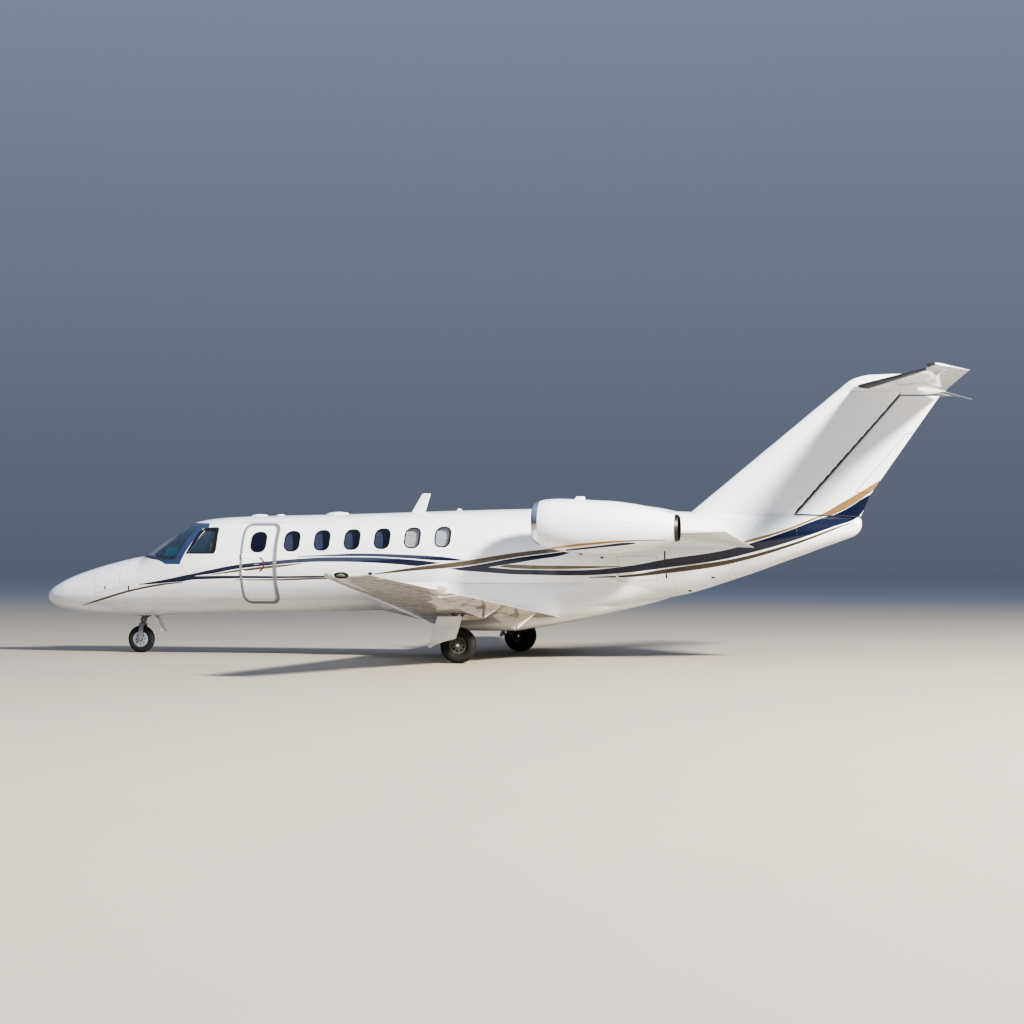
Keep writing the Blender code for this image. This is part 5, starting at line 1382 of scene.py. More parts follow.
def make_window(station, side, body):
    """Seal, pane and what shows behind it of one cabin window."""
    name = "window_%s_%d" % (side, WINDOW_STATIONS.index(station) + 1)
    edges = window_outline(station, -0.016), window_outline(station, 0.004)
    seal = skin_ring(name + "_seal", *edges, -0.010, 0.0012)
    opening = side_cutter(window_outline(station, -0.001), 0.3)
    pane = skin_panel(name + "_pane", station - 0.16, station + 0.16, PANE_THICKNESS, opening)
    pieces = [(seal, SEAL_RUBBER_AND_PAINTED_SHADE, ()), (pane, CABIN_GLASS, ("door_window",) if body == "cabin_door" else ())]
    if station >= WINDOW_STATIONS[5]:
        pieces[1] = (pane, SHADED_GLASS, ())
        pieces.append((behind_pane(name + "_shade", station, drawn_shade(station)), SHADE_WHITE, ()))
    elif station > WINDOW_STATIONS[0]:
        pieces.append((behind_pane(name + "_reveal", station, front_reveal(station)), LINING, ()))
    for piece, material, nodes in pieces:
        if side == "right":
            piece = moved_to_right(piece, piece.name + "_r")
        slot = "tinted_glass" if material in (CABIN_GLASS, SHADED_GLASS) else "cabin_trim"
        finish_piece(piece, body, slot, material, *nodes)


make_door()
for number, station in enumerate(WINDOW_STATIONS):
    make_window(station, "left", "airframe" if number else "cabin_door")
    make_window(station, "right", "airframe")


print("windows done")

# %% [markdown]
# The handle lies in a small recess, drawn as a dark plate on the skin that is painted shade. Two short red
# arcs show which way it turns, and a grey metal ring goes round the doorway.

# %% Door handle, hinges and ring
def door_mark(name, outline, lift, material):
    """A thin plate on the door's skin."""
    plate = skin_panel(name, 3.8, 4.2, 0.002, side_cutter(outline, 0.1), lift)
    finish_piece(plate, "cabin_door", "white_paint", material)
    true_normals(plate, hull_level)


HANDLE = (4.000, 1.515)
for name, front, back, half, corner, lift, material in (
    ("handle_recess", 0.070, 0.055, 0.024, 0.022, 0.0010, PANEL_BLACK_AND_PAINTED_SHADE),
    ("handle_lever", 0.055, 0.040, 0.010, 0.009, 0.0060, BARE_METAL),
):
    low, high = (HANDLE[0] - front, HANDLE[1] - half), (HANDLE[0] + back, HANDLE[1] + half)
    door_mark(name, rounded_outline(low, high, corner, 5), lift, material)
for number, (first, last) in enumerate(((12, 70), (-70, -12))):
    arc = []
    for radius, start, end in ((0.106, first, last), (0.130, last, first)):
        turn = np.radians(np.linspace(start, end, 9))
        arc += zip(HANDLE[0] + radius * np.cos(turn), HANDLE[1] + radius * np.sin(turn))
    door_mark("handle_arc_%d" % (number + 1), arc, 0.0008, MARK_RED)
for body, way, into in (("airframe", -1, (-1, 0.7, 0)), ("cabin_door", 1, (1, 0.7, 0))):
    parts = []
    for height in (1.380, 1.660):
        point = Vector((DOOR_FRONT, -DOOR_HINGE_OUT, height))
        parts += knuckle(point, Vector((0, 0, way)), into, 0.052, 0.010, 0.035)
    finish_piece(join_objects("door_knuckles_" + body, parts), body, "white_paint", WHITE_SKIN)
door_ring = skin_ring("door_surround", door_outline(0.0095), door_outline(0.048), -0.001, 0.0014)
finish_piece(door_ring, "airframe", "white_paint", DOOR_METAL)
print("cabin done")

# %% Tail section and belly fairing
TAIL_WALL = 0.026
tail_place = tail_hatch_frame()
tail = hull_solid("tail_skin", CABIN_AFT, HULL[-1][0])
cut(tail, hull_solid("hollow", CABIN_AFT + 0.03, 13.3, TAIL_WALL))
cut(tail, hatch_cutter(tail_place, TAIL_HATCH, MOVING_GAP * 0.6))
hull_piece(tail, "airframe", "light_skin", LIVERY, INNER_METAL, "tail_section")
tail_cutter = hatch_cutter(tail_place, TAIL_HATCH, 0.0)
tail_hatch = skin_panel("tail_hatch_skin", 9.8, 10.9, HATCH_THICKNESS, tail_cutter)
hull_piece(tail_hatch, "tail_hatch", "light_skin", LIVERY, INNER_METAL, "tail_hatch")
hinge_knuckles("airframe", "tail_hatch", tail_place, TAIL_HATCH["length"], 0.066, 0.75, "tail_knuckles")

# Each row: station, bottom, how far the section has run out into the hull's own
FAIRING = [
    (6.050, 0.740, 0.00), (6.500, 0.640, 0.00), (7.000, 0.510, 0.00), (7.400, 0.436, 0.00),
    (8.200, 0.438, 0.00), (8.500, 0.480, 0.00), (8.900, 0.545, 0.00), (9.300, 0.625, 0.05),
    (9.950, 0.775, 0.35), (10.500, 0.920, 0.80), (10.900, 1.045, 1.00),
]
FAIRING_TOP, FAIRING_LIP, FAIRING_SHARPNESS, FAIRING_STEPS = 1.220, 0.012, 3.0, 72
HULL_CLEARANCE = 0.0006
fairing_rows = smooth_curve(FAIRING)


def fairing_rings(stations, grow=0.0):
    """Sections between a half ellipse and a box: they fill out towards the lower corners."""
    bottom, run_out = fairing_rows(stations).T[..., None]
    along = np.broadcast_to(np.asarray(stations)[:, None], (len(stations), FAIRING_STEPS + 1))
    half = hull_half_width(along, FAIRING_TOP) + FAIRING_LIP + grow
    turn = np.pi * np.arange(FAIRING_STEPS + 1) / FAIRING_STEPS
    z = FAIRING_TOP - (FAIRING_TOP - bottom + grow) * np.abs(np.sin(turn)) ** (2 / FAIRING_SHARPNESS)
    side = half * np.abs(np.cos(turn)) ** (2 / FAIRING_SHARPNESS)
    side += run_out * (np.minimum(side, hull_half_width(along, z, FAIRING_LIP)) - side)
    return np.stack([along, side * np.sign(np.cos(turn)), z], axis=-1)


FAIRING_STATIONS = steps_between(FAIRING[0][0], FAIRING[-1][0], 0.06, [row[0] for row in FAIRING])
fairing = loft("belly_fairing_skin", fairing_rings(FAIRING_STATIONS))
cut(fairing, hull_solid("hull", 5.0, 12.0, -HULL_CLEARANCE))
finish_piece(fairing, "airframe", "composite", WHITE_SKIN, "belly_fairing")
print("tail and fairing done")

# %% [markdown]
# ## Wings
# A wing section is a classic four-digit profile, a little flatter below. The frame's few
# points per section are enough for its solid, but they would show as facets in the polished
# leading edge, so the same formula is used here with many points, closer together at the
# nose. The flaps, ailerons and the fins over the flap pivots keep the frame's outlines.

# %% Wing skins
# Each row: distance from the middle, leading edge, trailing edge, thickness as a share of the chord
WING = [
    (0.350, 6.665, 9.128, 0.140), (2.440, 6.811, 8.794, 0.135), (5.000, 6.990, 8.384, 0.125),
    (7.600, 7.172, 7.968, 0.115), (8.000, 7.235, 7.915, 0.135), (8.110, 7.320, 7.900, 0.125),
    (8.130, 7.400, 7.880, 0.090),
]
WING_ROOT_HEIGHT, WING_ROOT_Y, DIHEDRAL = 0.672, 0.500, 0.0964
LOWER_SIDE = 0.8
FLAP_SPAN, FLAP_CHORDS = (0.950, 4.930), (0.420, 0.360)
FLAP_PIVOT_BACK, FLAP_PIVOT_DROPS = 0.080, (0.294, 0.111)
AILERON_SPAN, AILERON_CHORDS = (5.000, 7.620), (0.270, 0.190)
FLAP_FIN_PLACES, FLAP_FIN_THICKNESS = (1.700, 3.180, 4.400), 0.030
GEAR_BAY_ROOF = 0.815
LEADING_EDGE_SHARE, LEADING_EDGE_END = 0.045, 7.95
SECTION_POINTS, SECTION_CROWDING = 22, 1.25
NOSE_SHADE_ROWS = range(2, 12)
THINNEST = 0.0018
wing_rows = straight_curve(WING)


def wing_height(y):
    return WING_ROOT_HEIGHT + DIHEDRAL * (np.abs(y) - WING_ROOT_Y)


def half_thickness(part, ratio):
    """Half the height of a four-digit profile, at some parts of its length."""
    shape = 0.2969 * np.sqrt(part) - 0.126 * part - 0.3516 * part**2 + 0.2843 * part**3 - 0.1036 * part**4
    return np.maximum(THINNEST, 5 * ratio * shape)


def section_parts(points, crowding):
    """Places from the trailing edge to the nose, closer together at the nose."""
    return ((1 + np.cos(np.pi * np.arange(points) / points)) / 2) ** crowding


def section_ring(y, lead, trail, ratio, height):
    """A wing section on the left side, from the trailing edge over the top and back below."""
    part = section_parts(SECTION_POINTS, SECTION_CROWDING)
    thick = half_thickness(part, ratio) * (trail - lead)
    x, across = lead + part * (trail - lead), np.full(SECTION_POINTS, -y)
    upper = np.column_stack([x, across, height + thick])
    lower = np.column_stack([x, across, height - LOWER_SIDE * thick])
    return np.vstack([upper, [[lead, -y, height]], lower[::-1]])


def line_at(places, values, y):
    return values[0] + (values[1] - values[0]) * (y - places[0]) / (places[1] - places[0])


def flap_lead(y):
    return wing_rows(y)[1] - line_at(FLAP_SPAN, FLAP_CHORDS, y)


def aileron_lead(y):
    return wing_rows(y)[1] - line_at(AILERON_SPAN, AILERON_CHORDS, y)


def behind_cutter(span, lead, gap):
    """Clears the wing behind a flap's or an aileron's nose."""
    low, high = span[0] - gap, span[1] + gap
    outline = [(lead(low) - 0.03, -low), (lead(high) - 0.03, -high), (9.6, -high), (9.6, -low)]
    return prism("behind", outline, 0.2, 1.8, "Z")


print("wing sections ready")

# %% [markdown]
# A flap or an aileron has a round nose on its hinge line, so that the gap ahead of it stays even while it
# turns. The nose lies in shade under the wing, so it gets the dark rubber material here as painted shade.

# %% Flaps and ailerons
def control_ring(y, nose, trail, height, radius, steps=14):
    """A control surface's section: a round nose on the hinge line and straight sides."""
    turn = np.pi / 2 + np.pi * np.arange(steps + 1) / steps
    ring = [(nose + radius * math.cos(a), y, height + radius * math.sin(a)) for a in turn]
    return ring + [(trail, y, height - 0.002), (trail, y, height + 0.002)]


def nose_radius(y, lead):
    front, trail, ratio = wing_rows(y)
    chord = trail - front
    return float(0.9 * half_thickness((lead(y) - front) / chord, ratio) * chord)


def wing_surface(name, span, lead):
    rings = []
    for y in np.linspace(*span, 9):
        radius = nose_radius(y, lead)
        rings.append(control_ring(-y, lead(y) + radius, wing_rows(y)[1], wing_height(y), radius))
    surface = with_materials(loft(name, rings), WING_PAINT_WITH_PAINTED_BOUNCE, SEAL_RUBBER_AND_PAINTED_SHADE)
    # Rows of faces round the nose get the dark rubber material: painted shade.
    for face in surface.data.polygons:
        face.material_index = int(face.index // 2 % len(rings[0]) in NOSE_SHADE_ROWS)
    return surface


def mark_faces(piece, index, chosen):
    """Gives a second material to the faces whose centre, in stations, is chosen."""
    for face in piece.data.polygons:
        centre = face.center
        if chosen(centre.x + MID_STATION, centre.y, centre.z):
            face.material_index = index


def on_leading_edge(station, y, _):
    if abs(y) > LEADING_EDGE_END:
        return False
    lead, trail, _ = wing_rows(abs(y))
    return station - lead < LEADING_EDGE_SHARE * (trail - lead)


LAMP_PLACE, LAMP_RIM = (7.505, -8.074, 1.400), (0.104, 0.041)


def lamp_disc(name, start, end, grow=0.0):
    """An oval plate in the wing tip, standing fore and aft."""
    turn = whole_turn(40)
    x = LAMP_PLACE[0] + (LAMP_RIM[0] + grow) * np.cos(turn)
    z = LAMP_PLACE[2] + (LAMP_RIM[1] + grow) * np.sin(turn)
    return prism(name, np.column_stack([x, z]), start, end)


print("control surfaces ready")

# %% [markdown]
# One cut makes room for the flap, the aileron, the wheel, the leg, the tip lamp and the
# belly fairing. The leading edge is bare polished metal, as its faces' material says.

# %% Cut and finish the wing
fairing_outer = loft("fairing_outer", fairing_rings(FAIRING_STATIONS, HULL_CLEARANCE))
tip_places = (7.75, 7.88, 8.0, 8.06, 8.11, 8.13)
wing_places = np.concatenate([steps_between(0.350, 7.600, 0.25, (2.440, 5.000)), tip_places])
wing = loft("wing_left_skin", [section_ring(y, *wing_rows(y), wing_height(y)) for y in wing_places])
mark_faces(with_materials(wing, WING_PAINT_WITH_PAINTED_BOUNCE, POLISHED), 1, on_leading_edge)
cut(
    wing,
    behind_cutter((FLAP_SPAN[0], AILERON_SPAN[0] - 0.030), flap_lead, 0.012),
    behind_cutter((AILERON_SPAN[0] - 0.020, AILERON_SPAN[1]), aileron_lead, 0.012),
    bar("wheel_bay", (7.78, -1.72, 0.3), (7.78, -1.72, GEAR_BAY_ROOF), 0.31, sides=64),
    block("leg_bay", (7.62, -2.56, 0.3), (7.92, -1.70, GEAR_BAY_ROOF + 0.0008)),
    lamp_disc("lamp_notch", -8.200, -8.060, 0.0012),
    fairing_outer,
)
pair(wing, "airframe", "white_paint", [WING_PAINT_WITH_PAINTED_BOUNCE, POLISHED], "wing_left")
flap = wing_surface("flap_left_skin", FLAP_SPAN, flap_lead)
pair(flap, "flap_left", "white_paint", WING_PAINT_WITH_PAINTED_BOUNCE, "flap_left")


print("wing skins done")

# %% [markdown]
# Each flap hangs from three thin fins. Their front halves belong to the wing and their back
# halves to the flap, and a pin joins them on the hinge line.

# %% Fins over the flap pivots
def flap_pivot(y):
    height = wing_height(y) - line_at(FLAP_SPAN, FLAP_PIVOT_DROPS, y)
    return Vector((float(flap_lead(y)) + FLAP_PIVOT_BACK, -y, float(height)))


def rounded_plate(name, outline, y, thickness, edge):
    """A flat plate with round edges, standing fore and aft."""
    plate = prism(name, outline, -y - thickness / 2, -y + thickness / 2)
    bevel = plate.modifiers.new("edge", "BEVEL")
    bevel.width = edge
    bevel.segments = 4
    bevel.limit_method = "ANGLE"
    return applied(plate)


for number, y in enumerate(FLAP_FIN_PLACES):
    (pivot, _, low), base, trail = flap_pivot(y), float(wing_height(y)), float(wing_rows(y)[1])
    low -= 0.020
    ahead, under = float(flap_lead(y)) - 0.045, base - nose_radius(y, flap_lead) - 0.020
    fixed = [(pivot - 0.44, base - 0.06), (pivot - 0.036, low), (pivot - 0.040, under), (ahead, under)]
    fixed += [(ahead, base - 0.02), (pivot - 0.30, base)]
    moving = [(pivot, low), (trail - 0.03, base - 0.012), (trail - 0.06, base), (pivot + 0.03, base)]
    for body, outline, part in (("airframe", fixed, "front"), ("flap_left", moving, "back")):
        name = "flap_fin_%s_%d_left" % (part, number + 1)
        plate = rounded_plate(name, outline, y, FLAP_FIN_THICKNESS, 0.009)
        pair(plate, body, "white_paint", WING_PAINT_WITH_PAINTED_BOUNCE)
    pin_ends = [flap_pivot(y) + Vector((0, side * 0.0165, 0)) for side in (-1, 1)]
    pair(bar("flap_pin_%d_left" % (number + 1), *pin_ends, 0.011), "airframe", "bare_metal", BARE_METAL)
print("wings done")

# %% [markdown]
# The left aileron carries a trim tab, which stands a little proud of the trailing edge in the
# photograph. It is cut out of the aileron and laid back in, turned up by its own small angle.

# %% Ailerons with the trim tab
TAB_SPAN, TAB_CHORD, TAB_ANGLE = (5.300, 5.680), 0.110, math.radians(44)


def make_aileron():
    """The left aileron with a hole for its tab, and the tab."""
    aileron = wing_surface("aileron_left_skin", AILERON_SPAN, aileron_lead)
    outline = [(float(wing_rows(y)[1]) - TAB_CHORD, -y) for y in TAB_SPAN]
    outline += [(9.2, -TAB_SPAN[1]), (9.2, -TAB_SPAN[0])]
    cut(aileron, prism("tab_hole", outline, 0.5, 1.9, "Z"))
    rings = []
    for y in (TAB_SPAN[0] + 0.003, TAB_SPAN[1] - 0.003):
        trail, height = float(wing_rows(y)[1]), float(wing_height(y))
        front, radius = trail - TAB_CHORD + 0.010, 0.0075
        ring = np.array(control_ring(-y, front, trail, height, radius, 6))
        turn = np.array(Matrix.Rotation(-TAB_ANGLE, 3, "Y"))
        centre = np.array((front, -y, height))
        rings.append((ring - centre) @ turn.T + centre)
    return aileron, loft("trim_tab_left", rings)


aileron, tab = make_aileron()
finish_piece(aileron, "aileron_left", "white_paint", WING_PAINT_WITH_PAINTED_BOUNCE, "aileron_left")
finish_piece(tab, "aileron_left", "white_paint", WING_PAINT_WITH_PAINTED_BOUNCE)
whole_aileron = wing_surface("whole_aileron", AILERON_SPAN, aileron_lead)
aileron_right = moved_to_right(whole_aileron, "aileron_right_skin")
finish_piece(aileron_right, "aileron_right", "white_paint", WING_PAINT_WITH_PAINTED_BOUNCE, "aileron_right")
print("ailerons done")

# %% [markdown]
# ## Tail
# The fin is cut off square ahead of the rudder's round nose, and a dark gap runs down the hinge line as it
# does in the photograph: the fin's back and the rudder's nose get the dark rubber material there as painted
# shade. The tailplane carries black rubber boots on its leading edges, which are part of its mesh and only
# differ in material.

# %% Fin and rudder
# Each row: height, leading edge, trailing edge, thickness
FIN = [
    (2.150, 10.813, 12.586, 0.270), (2.483, 11.215, 12.882, 0.255),
    (4.000, 13.047, 14.227, 0.180), (4.330, 13.445, 14.520, 0.165),
]
FIN_BACK_PART, RUDDER_GAP = 0.62, 0.014
RUDDER_HINGE = ((12.894, 2.373), (14.520, 4.255))
RUDDER_KINK = 2.670
RUDDER_TRAIL = [(2.373, 13.860), (RUDDER_KINK, 14.000), (4.255, 15.100)]
RUDDER_FOOT_FALL = 0.040
RUDDER_NOSE_RADII = (0.085, 0.058)
FIN_POINTS, FIN_CROWDING, POST_SHADE_FROM = 18, 1.2, 2.36
fin_rows = straight_curve(FIN)


def rudder_hinge_at(height):
    (x0, z0), (x1, z1) = RUDDER_HINGE
    return x0 + (x1 - x0) * (height - z0) / (z1 - z0)


def rudder_nose_at(height):
    return line_at((RUDDER_HINGE[0][1], RUDDER_HINGE[1][1]), RUDDER_NOSE_RADII, height)


def rudder_trail_at(height):
    return float(np.interp(height, *zip(*RUDDER_TRAIL)))


def fin_ring(height):
    lead, _, thickness = fin_rows(height)
    full = (rudder_hinge_at(height) - rudder_nose_at(height) - RUDDER_GAP - lead) / FIN_BACK_PART
    part = FIN_BACK_PART * section_parts(FIN_POINTS, FIN_CROWDING)
    thick = half_thickness(part, thickness / full) * full
    x, level = lead + part * full, np.full(FIN_POINTS, height)
    left = np.column_stack([x, -thick, level])
    right = np.column_stack([x, thick, level])
    return np.vstack([left, [[lead, 0, height]], right[::-1]])


fin = loft("fin_skin", [fin_ring(z) for z in steps_between(2.150, 4.330, 0.12, (2.483, 4.0))])
cut(fin, hull_solid("hull", 9.0, HULL[-1][0], -HULL_CLEARANCE))


# Faces on the fin's back and on the rudder's nose get the dark material: painted shade in the hinge gap.
def in_painted_post_shade(station, _, height):
    edge = rudder_hinge_at(height) - rudder_nose_at(height) - 1.5 * RUDDER_GAP
    return height > POST_SHADE_FROM and station > edge


def in_painted_rudder_nose_shade(station, _, height):
    return station < rudder_hinge_at(height) - 0.78 * rudder_nose_at(height)


mark_faces(with_materials(fin, FIN_PAINT, SEAL_RUBBER_AND_PAINTED_SHADE), 1, in_painted_post_shade)
finish_piece(fin, "airframe", "light_skin", [FIN_PAINT, SEAL_RUBBER_AND_PAINTED_SHADE], "vertical_fin")

rudder_rings = []
for height in steps_between(RUDDER_HINGE[0][1], RUDDER_HINGE[1][1], 0.15, (RUDDER_KINK,)):
    radius, trail = rudder_nose_at(height), rudder_trail_at(height)
    below_kink = max(0.0, (RUDDER_KINK - height) / (RUDDER_KINK - RUDDER_HINGE[0][1]))
    back = height - RUDDER_FOOT_FALL * below_kink
    turn = np.pi / 2 + np.pi * np.arange(15) / 14
    ring = [(rudder_hinge_at(height) + radius * math.cos(a), radius * math.sin(a), height) for a in turn]
    rudder_rings.append(ring + [(trail, -0.003, back), (trail, 0.003, back)])
rudder = loft("rudder_skin", rudder_rings)
mark_faces(with_materials(rudder, FIN_PAINT, SEAL_RUBBER_AND_PAINTED_SHADE), 1, in_painted_rudder_nose_shade)
finish_piece(rudder, "rudder", "light_skin", [FIN_PAINT, SEAL_RUBBER_AND_PAINTED_SHADE], "rudder")

RUDDER_TAB = [(13.772, 2.713), (14.579, 3.660)]


def on_rudder(station, height):
    """A point of the rudder's left face."""
    hinge = rudder_hinge_at(height)
    share = (station - hinge) / (rudder_trail_at(height) - hinge)
    return Vector((station, -(rudder_nose_at(height) * (1 - share) + 0.003 * share), height))


tab_ends = [RUDDER_TAB] + [((s, z), (rudder_trail_at(z) - 0.004, z)) for s, z in RUDDER_TAB]
tab_lines = [bar("line", on_rudder(*start), on_rudder(*end), 0.0035, sides=8) for start, end in tab_ends]
pair(join_objects("rudder_tab_line_left", tab_lines), "rudder", "light_skin", SEAL_RUBBER_AND_PAINTED_SHADE)
print("fin and rudder done")

# %% Tailplane and elevators
# Each row: distance from the middle, leading edge, hinge, trailing edge, height, half thickness
STABILIZER_ROOT = (0.000, 13.715, 14.785, 15.180, 4.410, 0.062)
STABILIZER_END = (2.850, 14.952, 15.259, 15.557, 4.466, 0.026)
STABILIZER_TIP = (3.160, 15.085, 15.312, 15.600, 4.472, 0.022)
STABILIZER_SHAPE = [(0.0, 0.0), (0.04, 0.45), (0.15, 0.78), (0.4, 1.0), (0.7, 0.95), (1.0, 0.72)]
HORN_SHAPE = [(0.0, 0.0), (0.06, 0.50), (0.25, 0.85), (0.6, 0.85), (1.0, 0.50)]
ELEVATOR_ROOT_Y, HORN_ROOT_Y = 0.145, 2.872
ELEVATOR_DROOP = math.radians(12.0)
BOOT_START = 0.22
TAILPLANE_POINTS, HORN_POINTS, PYLON_POINTS = 14, 8, 24
stabilizer_rows = straight_curve([STABILIZER_ROOT, STABILIZER_END])


def tailplane_ring(y, lead, back, height, half, shape, points):
    part = ((1 - np.cos(np.pi * np.arange(1, points + 1) / points)) / 2) ** 1.4
    thick = np.interp(part, *zip(*shape)) * half
    x, across = lead + part * (back - lead), np.full(points, y)
    upper = np.column_stack([x, across, height + thick])
    lower = np.column_stack([x, across, height - thick])
    return np.vstack([upper[::-1], [[lead, y, height]], lower])


def mark_boot(piece, points, rows):
    """Gives the second material to the rows of faces round the leading edge."""
    for face in piece.data.polygons:
        row = face.index // 2 % (2 * points + 1)
        if abs(row + 0.5 - points) < rows and abs(face.center.y) > BOOT_START:
            face.material_index = 1


tailplane_rings = []
for y in steps_between(-STABILIZER_END[0], STABILIZER_END[0], 0.2, (0.0, -BOOT_START, BOOT_START)):
    lead, hinge, _, height, half = stabilizer_rows(abs(y))
    back = hinge - 0.02 - 0.55 * half
    tailplane_rings.append(tailplane_ring(y, lead, back, height, half, STABILIZER_SHAPE, TAILPLANE_POINTS))
tailplane = with_materials(loft("stabilizer_skin", tailplane_rings), WHITE_SKIN, BOOT_BLACK)
mark_boot(tailplane, TAILPLANE_POINTS, 5)
finish_piece(tailplane, "airframe", "light_skin", [WHITE_SKIN, BOOT_BLACK], "stabilizer")


def make_elevator():
    """The left elevator with its tip horn, hanging at its parked droop."""
    rings = []
    for row in ((ELEVATOR_ROOT_Y, *stabilizer_rows(ELEVATOR_ROOT_Y)), STABILIZER_END, STABILIZER_TIP):
        y, _, hinge, trail, height, half = row
        rings.append(control_ring(-y, hinge, trail, height, half * 0.55))
    parts = [loft("elevator_left_skin", rings)]
    horn = []
    for row in ((HORN_ROOT_Y, *stabilizer_rows(HORN_ROOT_Y)), STABILIZER_TIP):
        y, lead, hinge, _, height, half = row
        horn.append(tailplane_ring(-y, lead, hinge + 0.02, height, half, HORN_SHAPE, HORN_POINTS))
    parts.append(loft("horn", horn))
    for part in parts:
        with_materials(part, WHITE_SKIN, BOOT_BLACK)
    mark_boot(parts[1], HORN_POINTS, 3)
    elevator = join_objects("elevator_left_skin", parts)
    (_, _, x0, _, z0, _), (y1, _, x1, _, z1, _) = STABILIZER_ROOT, STABILIZER_END
    run = Vector((x1 - x0, -y1, z1 - z0))
    _, hinge, _, height, _ = stabilizer_rows(ELEVATOR_ROOT_Y)
    pivot = Matrix.Translation((hinge - MID_STATION, -ELEVATOR_ROOT_Y, height))
    elevator.data.transform(pivot @ Matrix.Rotation(-ELEVATOR_DROOP, 4, run.normalized()) @ pivot.inverted())
    return elevator


pair(make_elevator(), "elevator_left", "light_skin", [WHITE_SKIN, BOOT_BLACK], "elevator_left")

# Each row: station, bottom, top, half width
print("elevators done")

# %% [markdown]
# A streamlined cap covers the joint between fin and tailplane. It is a loft of ellipses.

# %% Cap over the fin's top
FIN_CAP = [
    (13.420, 4.285, 4.308, 0.008), (13.520, 4.275, 4.391, 0.036), (13.660, 4.275, 4.505, 0.064),
    (13.760, 4.275, 4.555, 0.078), (14.000, 4.275, 4.608, 0.090), (14.500, 4.275, 4.620, 0.092),
    (14.950, 4.285, 4.590, 0.070), (15.200, 4.330, 4.500, 0.025),
]
CAP_SIDES = 48
cap_rows = smooth_curve(FIN_CAP)
cap_rings = []
for station in steps_between(FIN_CAP[0][0], FIN_CAP[-1][0], 0.05, [row[0] for row in FIN_CAP]):
    bottom, top, half = cap_rows(station)
    turn = whole_turn(CAP_SIDES)
    z = (bottom + top) / 2 + (top - bottom) / 2 * np.sin(turn)
    cap_rings.append(np.column_stack([np.full(CAP_SIDES, station), half * np.cos(turn), z]))
finish_piece(loft("fin_cap_skin", cap_rings), "airframe", "composite", WHITE_SKIN, "fin_cap")
print("tail surfaces done")

# %% [markdown]
# ## Engines
# A pod is one closed loft: the outer skin runs back to the nozzle and the duct's wall runs
# forward again inside it. Its front is a bare polished lip. Inside sit the turning fan with
# its spinner, a ring of fixed vanes and the exhaust cone.

# %% Engine pods
NACELLE_Y = 1.400
# Each row: station, radius, height of the centre. The engine's rows have no height.
NACELLE = [
    (8.785, 0.292, 2.200), (8.800, 0.318, 2.199), (8.870, 0.350, 2.196), (9.000, 0.388, 2.187),
    (9.250, 0.418, 2.166), (9.600, 0.429, 2.140), (10.000, 0.422, 2.128), (10.360, 0.385, 2.124),
    (10.600, 0.342, 2.122), (10.850, 0.284, 2.121), (11.110, 0.200, 2.120),
]
INTAKE = [
    (8.780, 0.288, 2.200), (8.820, 0.272, 2.198), (8.950, 0.264, 2.180), (9.200, 0.282, 2.140),
    (9.300, 0.300, 2.130), (10.200, 0.300, 2.121), (10.600, 0.280, 2.120), (10.850, 0.238, 2.120),
    (11.115, 0.186, 2.120),
]
LIP_BACK, LIP_INSIDE_BACK, NOZZLE_BARE_FROM, HOT_DUCT_FROM = 8.895, 8.86, 11.035, 10.3
POD_SIDES = 80
FAN_STATION, FAN_RADIUS, FAN_HEIGHT, FAN_BLADES = 9.340, 0.290, 2.128, 12
ENGINE = [
    (9.420, 0.110), (9.480, 0.150), (9.520, 0.150), (9.521, 0.292), (9.600, 0.292), (9.601, 0.225),
    (10.450, 0.215), (10.700, 0.150), (10.960, 0.030),
]
nacelle_rows = smooth_curve(NACELLE)
intake_rows = smooth_curve(INTAKE)


def pod_rings(curve, stations, grow=0.0):
    radius, height = curve(stations).T[..., None]
    turn = whole_turn(POD_SIDES)
    y = -NACELLE_Y + (radius + grow) * np.cos(turn)
    along = np.broadcast_to(np.asarray(stations)[:, None], y.shape)
    return np.stack([along, y, height + (radius + grow) * np.sin(turn)], axis=-1)


def nacelle_stations(end):
    front = [8.785, 8.788, 8.793, 8.80, 8.815, 8.835, 8.86]
    return np.concatenate([front, steps_between(8.895, end, 0.06)])


outer = pod_rings(nacelle_rows, nacelle_stations(11.110))
inner_stations = np.concatenate([[8.786, 8.795, 8.81, 8.83], steps_between(8.86, 11.105, 0.09)])
inner = pod_rings(intake_rows, inner_stations)
nacelle = loft("nacelle_left_skin", np.concatenate([outer, inner[::-1]]), closed=True)
POD_FINISHES = [NACELLE_PAINT, POLISHED, DUCT_GREY, HOT_STEEL]
with_materials(nacelle, *POD_FINISHES)


def pod_finish(station, y, z):
    """The number of a place's finish on the pod."""
    radius, height = nacelle_rows(station)
    away = math.hypot(abs(y) - NACELLE_Y, z - height)
    inside = away < radius - 0.012 if station > 8.80 else away < 0.288
    if station < (LIP_INSIDE_BACK if inside else LIP_BACK):
        return 1
    if inside:
        return 3 if station > HOT_DUCT_FROM else 2
    return 3 if station > NOZZLE_BARE_FROM else 0


for face in nacelle.data.polygons:
    face.material_index = pod_finish(face.center.x + MID_STATION, face.center.y, face.center.z)
pair(nacelle, "airframe", "composite", POD_FINISHES, "nacelle_left")

print("pods done")

# %% [markdown]
# Behind the fan only the vane ring and the exhaust cone can be seen, so the engine is one
# turned body. Each fan blade is a loft that twists towards its tip.

